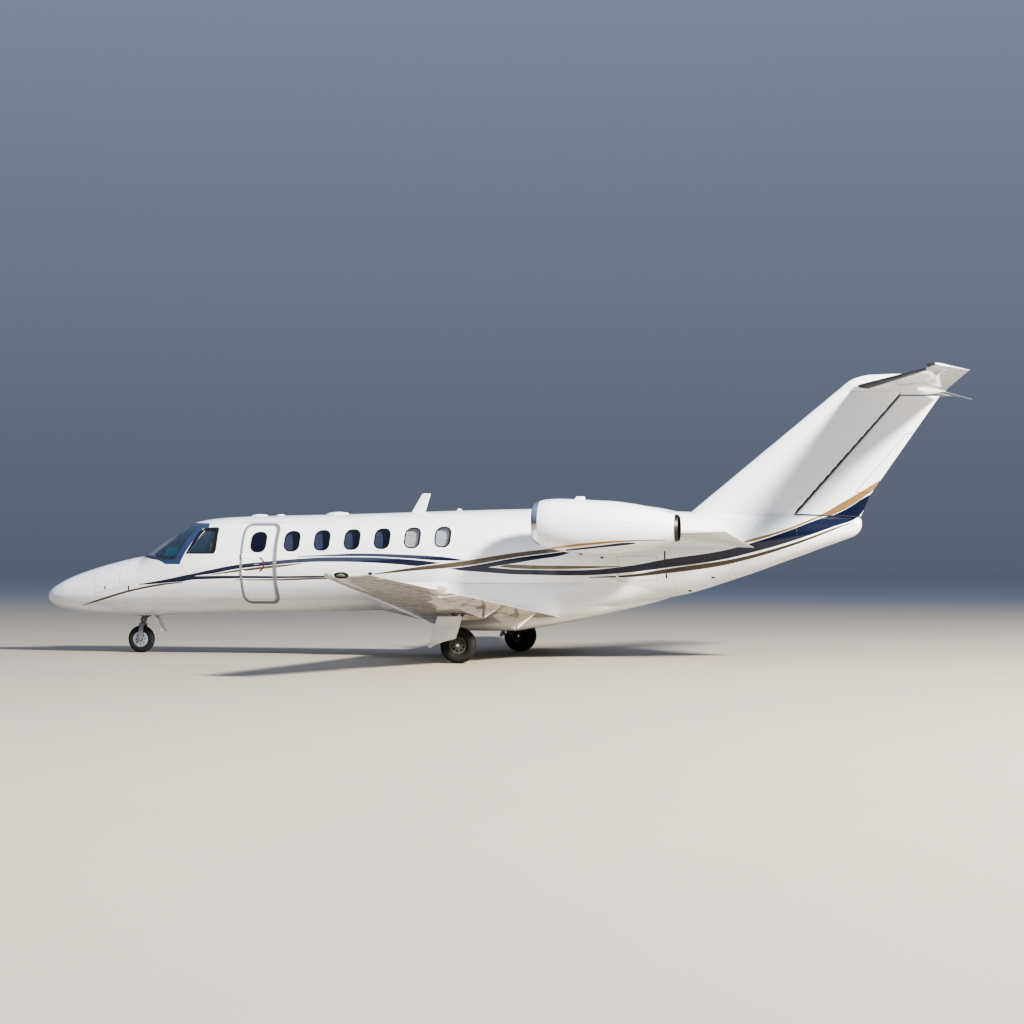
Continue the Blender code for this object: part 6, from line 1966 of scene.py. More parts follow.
# %% Engine block and fan
engine_front = ENGINE[0][0]
engine_profile = [(s - engine_front, r) for s, r in ENGINE]
engine_profile = [(0.0, 0.0)] + engine_profile + [(engine_profile[-1][0], 0.0)]
engine = turned("engine_left_block", engine_profile, (engine_front, -NACELLE_Y, FAN_HEIGHT), 48, "X")
pair(engine, "airframe", "fan_metal", ENGINE_DARK, "engine_left")


def make_fan():
    """Spinner and hub with wide twisted blades."""
    hub = [
        (-0.155, 0.0), (-0.150, 0.012), (-0.135, 0.028), (-0.120, 0.040), (-0.090, 0.062),
        (-0.060, 0.078), (-0.030, 0.090), (0.000, 0.098), (0.040, 0.100), (0.0445, 0.0),
    ]
    parts = [turned("spinner", hub, (FAN_STATION, -NACELLE_Y, FAN_HEIGHT), 48, "X")]
    for k in range(FAN_BLADES):
        rings = []
        for share in np.linspace(0, 1, 7):
            reach = 0.085 + share * (FAN_RADIUS - 0.085)
            lean = math.radians(25 + 33 * share)
            chord, thick = 0.060 + 0.030 * share, 0.010 - 0.006 * share
            ring = []
            for along, side in ((-0.5, 0), (-0.2, -0.5), (0.2, -0.5), (0.5, 0), (0.2, 0.4), (-0.2, 0.4)):
                curl = 0.10 * chord * (1 - 4 * along**2)
                ahead, aside = along * chord, side * thick + curl
                x = ahead * math.cos(lean) - aside * math.sin(lean)
                ring.append((min(x, 0.040), ahead * math.sin(lean) + aside * math.cos(lean), reach))
            rings.append(ring)
        blade = loft("blade", np.array(rings) + (MID_STATION, 0, 0))
        blade.data.transform(Matrix.Rotation(2 * math.pi * k / FAN_BLADES, 4, "X"))
        blade.data.transform(Matrix.Translation((FAN_STATION - MID_STATION, -NACELLE_Y, FAN_HEIGHT)))
        parts.append(blade)
    return join_objects("fan_left_wheel", parts)


pair(make_fan(), "fan_left", "fan_metal", BLADE_METAL, "fan_left")

# Each row: distance from the middle, height, leading edge, trailing edge, half thickness
PYLON = [(0.400, 1.812, 9.350, 12.200, 0.085), (1.190, 2.072, 9.750, 11.816, 0.060)]
PYLON_SHAPE = [(0.0, 0.0), (0.02, 0.38), (0.08, 0.65), (0.25, 1.0), (0.5, 0.65), (0.8, 0.25), (1.0, 0.05)]
pylon_rings = []
for y, height, lead, trail, half in PYLON:
    pylon_rings.append(tailplane_ring(-y, lead, trail, height, half, PYLON_SHAPE, PYLON_POINTS))
pylon = loft("pylon_left_skin", pylon_rings)
pod = loft("pod", pod_rings(nacelle_rows, nacelle_stations(11.110), HULL_CLEARANCE))
cut(pylon, hull_solid("hull", 8.8, 13.0, -HULL_CLEARANCE), pod)
pair(pylon, "airframe", "light_skin", WHITE_SKIN, "pylon_left")
print("engines done")

# %% [markdown]
# ## Landing gear
# The main legs are trailing-link legs: a painted strut, an arm that swings on a knuckle, and a
# shock strut with a bright rod between them. Hoses run down to the brakes. The wheels are
# turned profiles with round holes cut through their webs, and the tyres have real grooves.

# %% Wheels and tyres
MAIN_AXLE_STATION, HALF_TRACK = 7.800, 2.440
MAIN_TYRE = {"radius": 0.280, "width": 0.190, "rim": 0.140}
NOSE_TYRE = {"radius": 0.229, "width": 0.112, "rim": 0.112}
NOSE_AXLE_STATION = 1.690
AXLE_RADIUS = 0.026
GROOVE_DEPTH, GROOVE_WIDTH = 0.006, 0.005
TYRE_WALL = [(0.0, 0.64), (0.30, 0.985), (0.50, 1.0), (0.66, 0.975), (0.88, 0.80), (1.0, 0.42)]
RIM_SHARE, WEB_SHARE, HOLE_RING_SHARE = 0.64, 0.35, 0.62


def tyre_profile(radius, width, rim):
    """Beads, round walls, shoulders, and a tread with four grooves."""
    half, depth = width / 2, radius - rim
    wall = smooth_curve(TYRE_WALL)
    side = [(float(wall(t)[0]) * half, rim + t * depth) for t in np.linspace(0, 1, 16)]
    tread = []
    for place in (0.30, 0.10):
        centre = place * half
        for offset, sunk in ((1, 0), (0.8, 1), (-0.8, 1), (-1, 0)):
            tread.append((centre + offset * GROOVE_WIDTH / 2, radius - sunk * GROOVE_DEPTH))
    right = side + tread
    left = [(-x, r) for x, r in reversed(right)]
    return right + left


def rim_profile(width, rim):
    inner, edge, half = AXLE_RADIUS + 0.0006, rim - 0.0006, RIM_SHARE * width / 2
    web, lip = WEB_SHARE * half, rim - 0.0226
    profile = [
        (half - 0.004, edge), (half, edge - 0.004), (half, lip + 0.004), (half - 0.004, lip),
        (web + 0.006, lip - 0.006), (web, lip - 0.018), (web, inner + 0.026),
        (web + 0.012, inner + 0.020), (web + 0.014, inner),
    ]
    return profile + [(-x, r) for x, r in reversed(profile)]


def wheel_bar(name, centre, reach, turn, low, high, radius, sides):
    """A short bar along the axle's way, some way out from it."""
    x, z = centre[0] + reach * math.cos(turn), centre[2] + reach * math.sin(turn)
    return bar(name, (x, centre[1] + low, z), (x, centre[1] + high, z), radius, sides=sides)


def make_wheel(name, centre, tyre, holes, hole_radius, body, slots, nodes):
    tyre_piece = turned(name + "_tyre_fine", tyre_profile(**tyre), centre, sides=96)
    rim = turned(name + "_rim_fine", rim_profile(tyre["width"], tyre["rim"]), centre, sides=72)
    reach, web = HOLE_RING_SHARE * tyre["rim"], WEB_SHARE * RIM_SHARE * tyre["width"] / 2
    drill_turns = whole_turn(holes) + math.pi / holes
    cut(rim, *[wheel_bar("drill", centre, reach, turn, -0.1, 0.1, hole_radius, 20) for turn in drill_turns])
    bolts = []
    for turn in whole_turn(holes):
        for side in (-1, 1):
            low, high = side * (web - 0.001), side * (web + 0.006)
            bolts.append(wheel_bar("bolt", centre, reach, turn, low, high, 0.006, 6))
    bolt_ring = join_objects(name + "_bolts", bolts)
    finish_piece(tyre_piece, body, slots[0], TYRE_RUBBER, nodes[0])
    finish_piece(rim, body, slots[1], WHEEL_METAL, nodes[1])
    finish_piece(bolt_ring, body, slots[1], WHEEL_METAL)


print("wheel profiles ready")

# %% [markdown]
# A dark disc just inside each main wheel's web shows through its holes: painted shade for the dark inside of
# the wheel. The nose wheel has a plain cover on each side, with eight dark discs round a dark centre disc:
# painted shade for its holes and for the hub's middle.

# %% Main wheels and nose wheel
WHEEL_SLOTS = ("tyre", "fan_metal")
WHEEL_HOLE_SHADE_FACE = [(0.0235, 0.056), (0.0280, 0.056), (0.0280, 0.103), (0.0235, 0.103)]
COVER = [(0.0500, 0.020), (0.0545, 0.020), (0.0545, 0.100), (0.0515, 0.134), (0.0500, 0.134)]
main_centre = (MAIN_AXLE_STATION, -HALF_TRACK, MAIN_TYRE["radius"])
for side, sign in (("left", 1), ("right", -1)):
    centre = (main_centre[0], sign * main_centre[1], main_centre[2])
    nodes = ("main_%s_tyre" % side, "main_%s_rim" % side)
    make_wheel("main_" + side, centre, MAIN_TYRE, 9, 0.016, "main_wheel_" + side, WHEEL_SLOTS, nodes)
    # A dark disc behind the web: painted shade seen through the holes.
    hole_shade = [(sign * a, r) for a, r in WHEEL_HOLE_SHADE_FACE]
    hole_shade = turned("main_%s_brake_face" % side, hole_shade, centre, sides=48)
    finish_piece(hole_shade, "main_wheel_" + side, "fan_metal", SEAL_RUBBER_AND_PAINTED_SHADE)
nose_centre = (NOSE_AXLE_STATION, 0, NOSE_TYRE["radius"])
make_wheel("nose", nose_centre, NOSE_TYRE, 6, 0.011, "nose_wheel", WHEEL_SLOTS, ("nose_tyre", "nose_rim"))
hub_cover, hub_hole_shades = [], []
for sign in (-1, 1):
    # Dark discs on the covers: painted shade for the holes and the hub's middle.
    hub_hole_shades.append(wheel_bar("centre", nose_centre, 0.0, 0.0, sign * 0.052, sign * 0.0565, 0.040, 24))
    hub_cover.append(turned("cover", [(sign * a, r) for a, r in COVER], nose_centre, sides=64))
    for turn in whole_turn(8):
        hub_hole_shades.append(wheel_bar("dot", nose_centre, 0.078, turn, sign * 0.052, sign * 0.0555, 0.011, 16))
finish_piece(join_objects("nose_hub_cover", hub_cover), "nose_wheel", "fan_metal", HUB_COVER)
finish_piece(join_objects("nose_hub_hole_shades", hub_hole_shades), "nose_wheel", "fan_metal", SEAL_RUBBER_AND_PAINTED_SHADE)
print("wheels done")

# %% Main legs
LEG_Y = -HALF_TRACK + 0.175
LEG_X, ARM_PIVOT = 7.70, (7.585, 0.345)
MAIN_DOOR = [
    (7.526, 0.735), (7.913, 0.735), (7.868, 0.551), (7.812, 0.388), (7.640, 0.345), (7.500, 0.300),
    (7.407, 0.243), (7.369, 0.262), (7.440, 0.458),
]
MAIN_DOOR_Y, MAIN_DOOR_THICKNESS = -2.690, 0.024


def make_main_leg():
    """The painted struts, the bright rods and the brake."""
    hub = MAIN_TYRE["radius"]
    (pivot_x, pivot_z), outer_end = ARM_PIVOT, -HALF_TRACK - 0.062
    painted = [
        bar("leg", (LEG_X, LEG_Y, GEAR_BAY_ROOF - 0.002), (LEG_X, LEG_Y, 0.52), 0.052),
        bar("collar", (LEG_X, LEG_Y, 0.560), (LEG_X, LEG_Y, 0.530), 0.060),
        bar("lower", (LEG_X, LEG_Y, 0.54), (pivot_x, LEG_Y, pivot_z), 0.046, 0.040),
        bar("knuckle", (pivot_x, LEG_Y - 0.05, pivot_z), (pivot_x, LEG_Y + 0.05, pivot_z), 0.050),
        bar("arm", (pivot_x, LEG_Y, pivot_z), (MAIN_AXLE_STATION, LEG_Y, hub), 0.036, 0.045),
        bar("shock_body", (7.741, LEG_Y, 0.470), (7.715, LEG_Y, 0.640), 0.036),
        bar("brace", (LEG_X, LEG_Y, 0.560), (7.72, -1.74, 0.760), 0.022, 0.026),
        bar("trunnion", (7.6204, LEG_Y, 0.782), (7.9196, LEG_Y, 0.782), 0.026),
    ]
    bright = [
        bar("rod", (7.765, LEG_Y, 0.300), (7.741, LEG_Y, 0.470), 0.021),
        bar("axle", (MAIN_AXLE_STATION, LEG_Y + 0.03, hub), (MAIN_AXLE_STATION, outer_end, hub), AXLE_RADIUS),
        bar("pivot_pin", (pivot_x, LEG_Y - 0.058, pivot_z), (pivot_x, LEG_Y + 0.058, pivot_z), 0.018),
        bar("brace_end", (7.6204, -1.76, 0.775), (7.80, -1.76, 0.775), 0.020),
    ]
    brake = turned(
        "brake", [(-0.020, 0.050), (0.020, 0.050), (0.020, 0.088), (-0.020, 0.088)],
        (MAIN_AXLE_STATION, LEG_Y + 0.030, hub), sides=48,
    )
    painted = join_objects("main_leg_left_painted", painted)
    return painted, join_objects("main_leg_left_bright", bright), brake


print("leg parts ready")

# %% [markdown]
# A hose is a round section carried along a smooth curve. At each step its two side directions
# are turned as little as possible, so that the hose doesn't twist.

# %% Hoses, brake lines and doors
def tube_along(name, route, radius, sides=10):
    """A hose or wire: a round section carried along a smooth curve through some points."""
    route = np.asarray(route, float)
    length = np.concatenate([[0], np.cumsum(np.linalg.norm(np.diff(route, axis=0), axis=1))])
    curve = smooth_curve(np.column_stack([length, route]))
    centres = curve(np.linspace(0, length[-1], max(6, 5 * len(route))))
    rings = []
    side = Vector((0, 1, 0.01))
    for k, centre in enumerate(centres):
        ahead = Vector(centres[min(k + 1, len(centres) - 1)] - centres[max(k - 1, 0)]).normalized()
        side = (side - ahead * side.dot(ahead)).normalized()
        up = ahead.cross(side)
        rings.append([
            Vector(centre) + side * radius * math.cos(a) + up * radius * math.sin(a)
            for a in whole_turn(sides)
        ])
    return loft(name, rings)


leg_finishes = ((GEAR_GREY_DARKENED_AS_SHADE, ("main_leg_left",)), (CHROME, ()), (ENGINE_DARK, ()))
for piece, (material, nodes) in zip(make_main_leg(), leg_finishes):
    pair(piece, "airframe", "bare_metal", material, *nodes)
hose_route = [
    (7.755, LEG_Y + 0.010, 0.700), (7.790, LEG_Y + 0.020, 0.600), (7.800, LEG_Y + 0.020, 0.480),
    (7.775, LEG_Y + 0.045, 0.380), (7.790, LEG_Y + 0.060, 0.330), (7.800, LEG_Y + 0.055, 0.300),
]
pair(tube_along("brake_hose_left", hose_route, 0.006), "airframe", "tyre", HOSE_RUBBER)
line_route = [
    (7.648, LEG_Y + 0.01, 0.700), (7.640, LEG_Y + 0.01, 0.560), (7.560, LEG_Y + 0.02, 0.400),
    (7.620, LEG_Y + 0.05, 0.325),
]
pair(tube_along("brake_line_left", line_route, 0.004), "airframe", "bare_metal", BARE_METAL)

main_door = rounded_plate("main_door_left_plate", MAIN_DOOR, -MAIN_DOOR_Y, MAIN_DOOR_THICKNESS, 0.006)
door_arms = []
for z in (0.600, 0.655):
    door_arms.append(bar("arm", (LEG_X, MAIN_DOOR_Y + 0.010, z), (LEG_X, LEG_Y - 0.0525, z), 0.014))
pair(main_door, "airframe", "white_paint", WHITE_SKIN, "main_door_left")
pair(join_objects("main_door_arms_left", door_arms), "airframe", "bare_metal", GEAR_GREY_DARKENED_AS_SHADE)
print("main gear done")

# %% Nose gear
NOSE_RAKE = math.radians(8.0)


def nose_axis(height):
    """A point of the leg's raked centre line."""
    x = NOSE_AXLE_STATION - 0.012 + math.tan(NOSE_RAKE) * (height - NOSE_TYRE["radius"])
    return Vector((x, 0, height))


nose_leg = [
    bar("cylinder", nose_axis(0.530), nose_axis(0.700), 0.040),
    bar("collar", nose_axis(0.585), nose_axis(0.533), 0.054),
    bar("collar_top", nose_axis(0.640), nose_axis(0.625), 0.047),
    bar("shaft", (1.742, -0.1246, 0.668), (1.742, 0.1246, 0.668), 0.022),
    bar("brace", (1.735, 0, 0.570), (1.895, 0, 0.672), 0.016),
    bar("brace_shaft", (1.885, -0.1246, 0.668), (1.885, 0.1246, 0.668), 0.018),
]
finish_piece(join_objects("nose_leg_fine", nose_leg), "airframe", "bare_metal", GEAR_GREY_DARKENED_AS_SHADE, "nose_leg")

crown, hub = nose_axis(0.478).x, (NOSE_AXLE_STATION, NOSE_TYRE["radius"])
fork_foot = [(0.032, 0.008), (0.022, 0.028), (0.0, 0.038), (-0.022, 0.028), (-0.032, 0.008)]
fork_outline = [(crown - 0.045, 0.470), (crown + 0.045, 0.470)]
fork_outline += [(hub[0] + ahead, hub[1] - below) for ahead, below in fork_foot]
fork = [block("crown", (crown - 0.045, -0.094, 0.466), (crown + 0.045, 0.094, 0.500))]
fork += [bar("neck", nose_axis(0.490), nose_axis(0.5296), 0.040)]
fork += [rounded_plate("blade", fork_outline, side * 0.082, 0.022, 0.005) for side in (-1, 1)]
axle = bar("nose_axle", (hub[0], -0.088, hub[1]), (hub[0], 0.088, hub[1]), AXLE_RADIUS)
finish_piece(join_objects("nose_fork_fine", fork), "nose_strut", "bare_metal", GEAR_GREY_DARKENED_AS_SHADE, "nose_fork")
finish_piece(axle, "nose_strut", "bare_metal", CHROME)
nose_door_outline = [(1.935, 0.640), (1.960, 0.640), (2.112, 0.372), (2.090, 0.366)]
nose_door = prism("nose_gear_door_fine", nose_door_outline, -0.095, 0.095)
hangers = [block("hanger", (1.942, y - 0.009, 0.630), (2.0196, y + 0.009, 0.665)) for y in (-0.06, 0.06)]
nose_door = join_objects("nose_gear_door_fine", [nose_door] + hangers)
finish_piece(nose_door, "airframe", "white_paint", WHITE_SKIN, "nose_gear_door")
print("nose gear done")

# %% [markdown]
# ## Small fittings
# Aerials stand on the roof, lamps sit in the wing tips, and latches, vents and screws are
# spread over the skin. Each is a small closed body that stands a little proud of the skin.
# Bump in the paint would do from afar, but it has no edge to catch the light from close by.

# %% Roof aerials
# Each row: start, end, height, half width
ROOF_DOMES = [
    (3.63, 3.93, 0.034, 0.085), (4.07, 4.23, 0.024, 0.050), (4.95, 5.35, 0.042, 0.120),
    (7.20, 7.29, 0.036, 0.022),
]
BLADE_AERIAL = [(6.42, 2.380), (6.66, 2.380), (6.755, 2.705), (6.66, 2.712), (6.61, 2.700)]
DOME_FOOT = 0.015


def roof_dome(start, end, height, half_width):
    """A low streamlined cover on the roof's centre line."""
    rings = []
    turn = np.linspace(0, math.pi, 17)
    for share in np.sin(np.linspace(-1.47, 1.47, 17)):
        station = (start + end) / 2 + share * (end - start) / 2
        swell = math.sqrt(1 - share**2)
        roof = float(hull_rows(station)[1]) - DOME_FOOT
        rise = (height * swell + DOME_FOOT) * np.sin(turn)
        across = half_width * swell * np.cos(turn)
        rings.append(np.column_stack([np.full(17, station), across, roof + rise]))
    return loft("dome", rings)


domes = join_objects("roof_aerials", [roof_dome(*row) for row in ROOF_DOMES])
finish_piece(domes, "airframe", "composite", ANTENNA_WHITE)
blade_aerial = rounded_plate("blade_aerial", BLADE_AERIAL, 0.0, 0.022, 0.008)
finish_piece(blade_aerial, "airframe", "composite", ANTENNA_WHITE)
print("aerials", len(ROOF_DOMES) + 1)

# %% Lamps at the tips
LAMP_HALVES = (0.080, 0.052, 0.025)
TIP_MARK_PLACE, TIP_MARK_HALVES = (7.895, -8.085, 1.424), (0.030, 0.014, 0.020)
TAIL_LAMP_PLACE, TAIL_LAMP_HALVES = (15.185, 0.0, 4.413), (0.040, 0.018, 0.024)
EGG_SIDES = 32


def egg(name, centre, halves):
    """An egg-shaped body with its own half length along each axis."""
    rings = []
    turn = whole_turn(EGG_SIDES)
    for way in np.linspace(0.1, math.pi - 0.1, 17):
        across = math.sin(way)
        x = np.full(EGG_SIDES, centre[0] - halves[0] * math.cos(way))
        y = centre[1] + halves[1] * across * np.cos(turn)
        rings.append(np.column_stack([x, y, centre[2] + halves[2] * across * np.sin(turn)]))
    return loft(name, rings)


pair(lamp_disc("tip_lamp_rim_left", -8.084, -8.0612), "airframe", "bare_metal", PANEL_BLACK_AND_PAINTED_SHADE)
pair(egg("tip_mark_left", TIP_MARK_PLACE, TIP_MARK_HALVES), "airframe", "bare_metal", PANEL_BLACK_AND_PAINTED_SHADE)
pair(egg("tip_lamp_left", LAMP_PLACE, LAMP_HALVES), "airframe", "tinted_glass", LAMP_LENS)
finish_piece(egg("tail_lamp", TAIL_LAMP_PLACE, TAIL_LAMP_HALVES), "airframe", "tinted_glass", LAMP_LENS)
print("lamps 3")

# %% Vents, latches and screws
TAIL_SLOTS = [((10.765, 1.618), (10.787, 1.762)), ((10.780, 1.322), (10.802, 1.401))]
TAIL_VENTS = [(11.519, 1.338), (11.127, 1.119), (9.775, 1.650), (9.433, 1.709)]
SCREW_ROWS = [((11.912, 1.580), (11.661, 1.256)), ((12.296, 2.285), (12.092, 1.928))]
NOSE_LATCHES = [
    ((1.216, 1.080), (1.238, 1.135), "nose_hatch_left"),
    ((1.672, 1.060), (1.694, 1.150), "airframe"),
]
POD_SCREW_STATIONS = (9.06, 10.33, 10.38)
POD_SCOOP = [(9.42, 2.550), (9.47, 2.620), (9.60, 2.620), (9.62, 2.550)]
GUTTER = [(3.58, 2.211), (4.37, 2.221), (4.37, 2.226), (3.58, 2.216)]


def studs(name, points, directions, radius, material):
    """Small round heads on a skin and on its reflection."""
    parts = [bar("stud", p - d * 0.004, p + d * 0.0012, radius, sides=8) for p, d in zip(points, directions)]
    return pair(join_objects(name, parts), "airframe", "bare_metal", material)


# The slots and vents are dark plates on the skin: painted shade for their openings.
for number, (low, high) in enumerate(TAIL_SLOTS):
    skin_plate("tail_slot_%d" % (number + 1), rounded_outline(low, high, 0.010, 4), [], 0.0012, PANEL_BLACK_AND_PAINTED_SHADE)
for number, (x, z) in enumerate(TAIL_VENTS):
    outline = rounded_outline((x - 0.028, z - 0.012), (x + 0.028, z + 0.012), 0.011, 4)
    skin_plate("tail_vent_%d" % (number + 1), outline, [], 0.0012, PANEL_BLACK_AND_PAINTED_SHADE)
for number, (low, high, body) in enumerate(NOSE_LATCHES):
    start, end = low[0] - PLATE_MARGIN, high[0] + PLATE_MARGIN
    latch = side_cutter(rounded_outline(low, high, 0.009, 4))
    plate = skin_panel("nose_latch_%d_left" % (number + 1), start, end, 0.003, latch, 0.0012)
    pair(plate, body, "bare_metal", PANEL_BLACK_AND_PAINTED_SHADE, level=hull_level)
gutter = skin_panel("door_gutter", GUTTER[0][0], GUTTER[1][0], 0.003, side_cutter(GUTTER), 0.004)
finish_piece(gutter, "airframe", "white_paint", DOOR_METAL)
screws = on_left_skin(np.concatenate([np.linspace(first, last, 12) for first, last in SCREW_ROWS]))
studs("tail_screws_left", screws, slope_of(hull_level, screws)[0], 0.0065, ENGINE_DARK)
ways = np.array([(0, math.cos(a), math.sin(a)) for a in whole_turn(32)])
for station in POD_SCREW_STATIONS:
    radius, height = nacelle_rows(station)
    ring = np.array((station, -NACELLE_Y, height)) + radius * ways
    studs("pod_screws_%d_left" % round(station * 100), ring, ways, 0.0065, ENGINE_DARK)
pair(rounded_plate("pod_scoop_left", POD_SCOOP, NACELLE_Y, 0.050, 0.012), "airframe", "composite", WHITE_SKIN)
print("fittings done")

# %% [markdown]
# ## Cabin
# The floor carries a carpet, and the seats are leather over foam. Each cushion starts as a
# plain block a little smaller than the frame's, is remeshed, and is blown up a little by a
# cloth simulation, so that its faces crown and its sides pull in between the corners. Piping
# follows afterwards, because a remesh would erase it. One cushion and one back are simulated
# and then placed at all the seats, since the seats are alike.

# %% Floor and panel
FLOOR_TOP, FLOOR_THICKNESS = 0.985, 0.035
ENTRY_PLATE = {"start": 3.500, "end": 4.620, "half_width": 0.420, "height": 0.003}
SEAT_Y, SEAT_GAP = 0.360, 0.0004
# Each seat: station, side, and 1 where it faces aft
CABIN_SEATS = [(s, side, f) for s, f in ((4.95, 1), (6.25, -1), (7.35, -1)) for side in (-1, 1)]
COCKPIT_SEATS = [(2.90, side, -1) for side in (-1, 1)]
SEAT_LOW = FLOOR_TOP + 0.012

floor_low, floor_high = (1.70, -1.0, FLOOR_TOP - FLOOR_THICKNESS), (CABIN_AFT - 0.07, 1.0, FLOOR_TOP)
cabin_floor = block("cabin_floor_carpet", floor_low, floor_high)
overlap(cabin_floor, hull_solid("inside", NOSE_AFT + 0.06, CABIN_AFT, CABIN_WALL + 0.0006, 0.2))
finish_piece(cabin_floor, "airframe", "floor", CARPET, "cabin_floor")
half = ENTRY_PLATE["half_width"]
plate = block(
    "entry_plate", (ENTRY_PLATE["start"], -half, FLOOR_TOP - 0.001),
    (ENTRY_PLATE["end"], half, FLOOR_TOP + ENTRY_PLATE["height"]),
)
finish_piece(plate, "airframe", "floor", BARE_METAL)

panel = [
    block("board", (2.28, -0.56, 1.16), (2.38, 0.56, 1.50)),
    block("glare_shield", (2.06, -0.50, 1.47), (2.36, 0.50, 1.50)),
    block("pedestal", (2.30, -0.12, FLOOR_TOP + SEAT_GAP), (2.62, 0.12, 1.22)),
]
panel = join_objects("instrument_panel_fine", panel)
finish_piece(panel, "airframe", "cabin_trim", PANEL_BLACK_AND_PAINTED_SHADE, "instrument_panel")
print("floor and panel done")

# %% Displays, yokes and seat frames
LEVEL_LINES, HORIZON_HEIGHT = 26.0, 1.36
YOKE_STATION, PILOT_Y = 2.50, 0.36
YOKE = [(-0.11, 1.36), (-0.10, 1.27), (-0.04, 1.24), (0.04, 1.24), (0.10, 1.27), (0.11, 1.36)]


def screen_material():
    """A display: dark glass with faint level lines, as an attitude page has."""
    material, tree, shader = new_material("display_glass", Roughness=0.12, Emission_Strength=0.25)
    axes = add(tree, "ShaderNodeSeparateXYZ", {0: object_coordinates(tree)})
    level = calc(tree, "FRACT", calc(tree, "MULTIPLY", axes.outputs[2], LEVEL_LINES))
    bars = calc(tree, "GREATER_THAN", level, 0.86)
    sky = calc(tree, "GREATER_THAN", axes.outputs[2], HORIZON_HEIGHT)
    page = mix_colours(tree, sky, rgb(66, 44, 26), rgb(30, 70, 120))
    page = mix_colours(tree, bars, page, rgb(190, 200, 205))
    feed(tree, shader, Base_Color=page, Emission_Color=page)
    return material


DISPLAY = screen_material()
for number, y in enumerate((-0.38, -0.13, 0.13, 0.38)):
    screen = block("display_%d" % (number + 1), (2.3795, y - 0.095, 1.26), (2.3835, y + 0.095, 1.45))
    finish_piece(screen, "airframe", "cabin_trim", DISPLAY)
for side in (-1, 1):
    middle = side * PILOT_Y
    route = [(YOKE_STATION, middle + aside, height) for aside, height in YOKE]
    yoke = tube_along("yoke_" + ("left" if side < 0 else "right"), route, 0.011, 12)
    column = bar("column", (2.381, middle, 1.24), (YOKE_STATION, middle, 1.24), 0.014)
    finish_piece(join_objects(yoke.name, [yoke, column]), "airframe", "cabin_trim", PANEL_BLACK_AND_PAINTED_SHADE)

for name, seats, start, end in (
    ("cabin_seats", CABIN_SEATS, 4.70, 7.62),
    ("cockpit_seats", COCKPIT_SEATS, 2.70, 3.20),
):
    low = FLOOR_TOP + SEAT_GAP
    parts = [block("track", (start, y - 0.025, low), (end, y + 0.025, low + 0.022)) for y in (-0.305, 0.305)]
    parts.append(block("cross", (start, -0.30, low), (start + 0.05, 0.30, low + 0.020)))
    for station, side, _ in seats:
        left, right = sorted((side * 0.210, side * 0.385))
        foot = (station - 0.14, left, SEAT_LOW), (station + 0.14, right, SEAT_LOW + 0.215)
        parts.append(block("pedestal", *foot))
    finish_piece(join_objects(name + "_frames", parts), "airframe", "cabin_trim", PANEL_BLACK_AND_PAINTED_SHADE, name)
print("seats", len(CABIN_SEATS) + len(COCKPIT_SEATS))

# %% Seat cushions by cloth simulation
CUSHION_SIZE, BACK_SIZE = (0.50, 0.43, 0.13), (0.11, 0.43, 0.56)
SWELL_CAP = 0.012
VOXEL, CLOTH_PRESSURE, CLOTH_FRAMES = 0.012, 4.0, 20


def softened_block(name, size):
    """A block with round edges, smaller by the cap, remeshed evenly."""
    middle, half = np.array((MID_STATION, 0, 0)), np.array(size) / 2 - SWELL_CAP * 0.7
    pad = block(name, middle - half, middle + half)
    edge = pad.modifiers.new("edge", "BEVEL")
    edge.width, edge.segments = min(size) * 0.22, 4
    even = pad.modifiers.new("even", "REMESH")
    even.mode, even.voxel_size = "VOXEL", VOXEL
    return applied(pad)


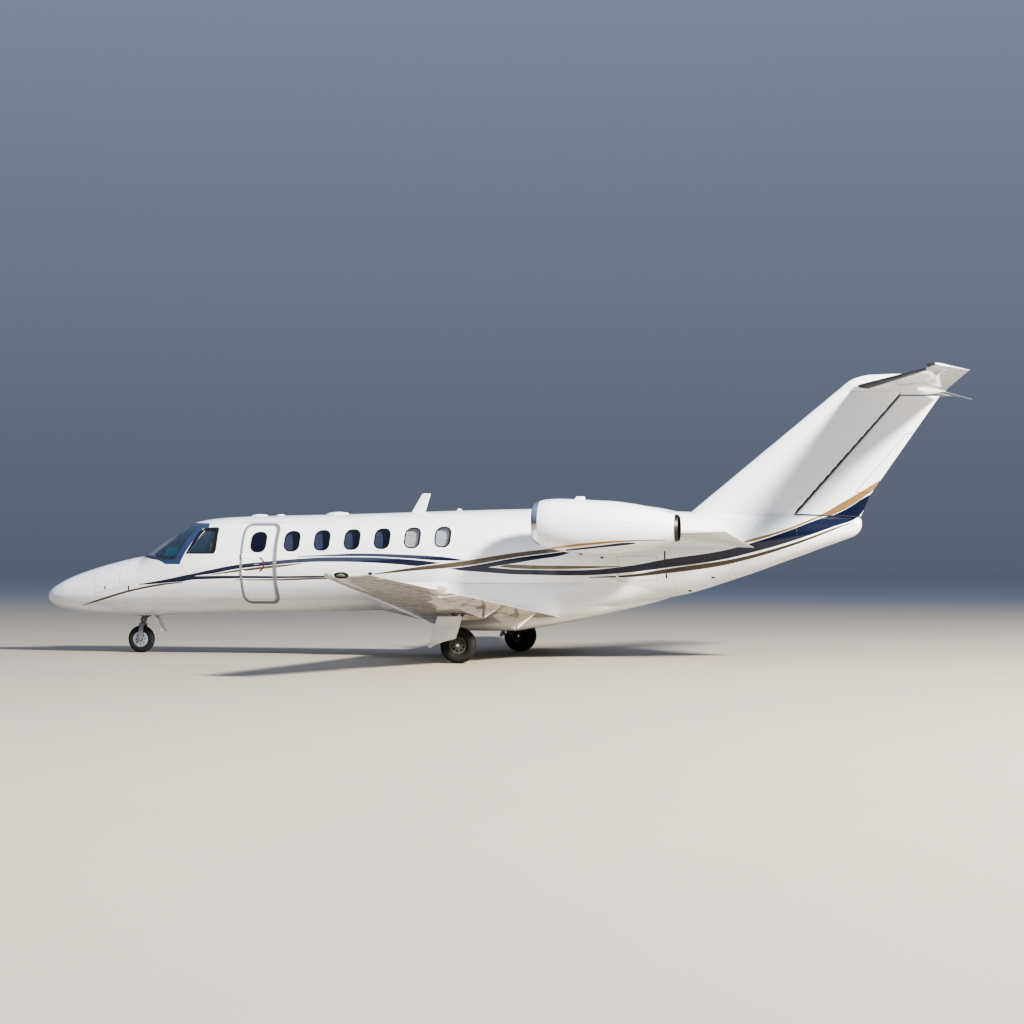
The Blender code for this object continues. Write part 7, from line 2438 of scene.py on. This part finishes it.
def blown_up(pad):
    """Runs the cloth simulation on a pad and keeps each point within the cap."""
    rest = np.array([v.co[:] for v in pad.data.vertices])
    scene = bpy.context.scene
    cloth = pad.modifiers.new("cloth", "CLOTH")
    cloth.settings.use_pressure = True
    cloth.settings.uniform_pressure_force = CLOTH_PRESSURE
    cloth.settings.effector_weights.gravity = 0
    cloth.point_cache.frame_end = CLOTH_FRAMES
    for number in range(1, CLOTH_FRAMES + 1):
        scene.frame_set(number)
    graph = bpy.context.evaluated_depsgraph_get()
    shaped = np.array([v.co[:] for v in pad.evaluated_get(graph).data.vertices])
    pad.modifiers.clear()
    scene.frame_set(1)
    move = shaped - rest
    length = np.linalg.norm(move, axis=1)
    move *= np.minimum(1.0, SWELL_CAP / np.maximum(length, 1e-9))[:, None]
    pad.data.vertices.foreach_set("co", (rest + move).ravel())
    pad.data.update()
    return pad


def make_pad(name, size):
    pad = softened_block(name, size)
    pad = blown_up(pad)
    smoother = pad.modifiers.new("smooth", "SUBSURF")
    smoother.levels = smoother.render_levels = 1
    return with_materials(applied(pad), LEATHER)


print("pad functions ready")

# %% [markdown]
# The piping is a thin cord along the cushion's upper edge. Every seat gets a copy of both cushions.

# %% Piping and all the seats
def piping(name, size, level):
    """A thin cord sewn round a cushion's edge."""
    half = (size[0] / 2 - 0.010, size[1] / 2 - 0.010)
    outline = rounded_outline((-half[0], -half[1]), half, 0.035, 5)
    outline.append(outline[0])
    route = [(MID_STATION + x, y, level) for x, y in outline]
    return tube_along(name, route, 0.0035, 6)


first_cushion, first_back = make_pad("cushion", CUSHION_SIZE), make_pad("back", BACK_SIZE)


def placed(piece, station, y, height):
    """A piece made at the middle of the frame, moved to its place."""
    piece.data.transform(Matrix.Translation((station - MID_STATION, y, height)))
    return piece


for group, seats in (("cabin", CABIN_SEATS), ("cockpit", COCKPIT_SEATS)):
    for number, (station, side, facing) in enumerate(seats):
        label, y = "%s_seat_%d" % (group, number + 1), side * SEAT_Y
        cushion = placed(copied(first_cushion, label + "_cushion"), station, y, SEAT_LOW + 0.285)
        back = placed(copied(first_back, label + "_back"), station - facing * 0.245, y, SEAT_LOW + 0.600)
        for pad in (cushion, back):
            finish_piece(pad, "airframe", "leather", LEATHER, sharp=60)
            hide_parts(group + "_seats")
        cord = piping(label + "_piping", CUSHION_SIZE, SEAT_LOW + 0.335)
        finish_piece(placed(cord, station, y, 0), "airframe", "leather", LEATHER_SEAM)
for source in (first_cushion, first_back):
    bpy.data.objects.remove(source, do_unlink=True)
print("cabin inside done")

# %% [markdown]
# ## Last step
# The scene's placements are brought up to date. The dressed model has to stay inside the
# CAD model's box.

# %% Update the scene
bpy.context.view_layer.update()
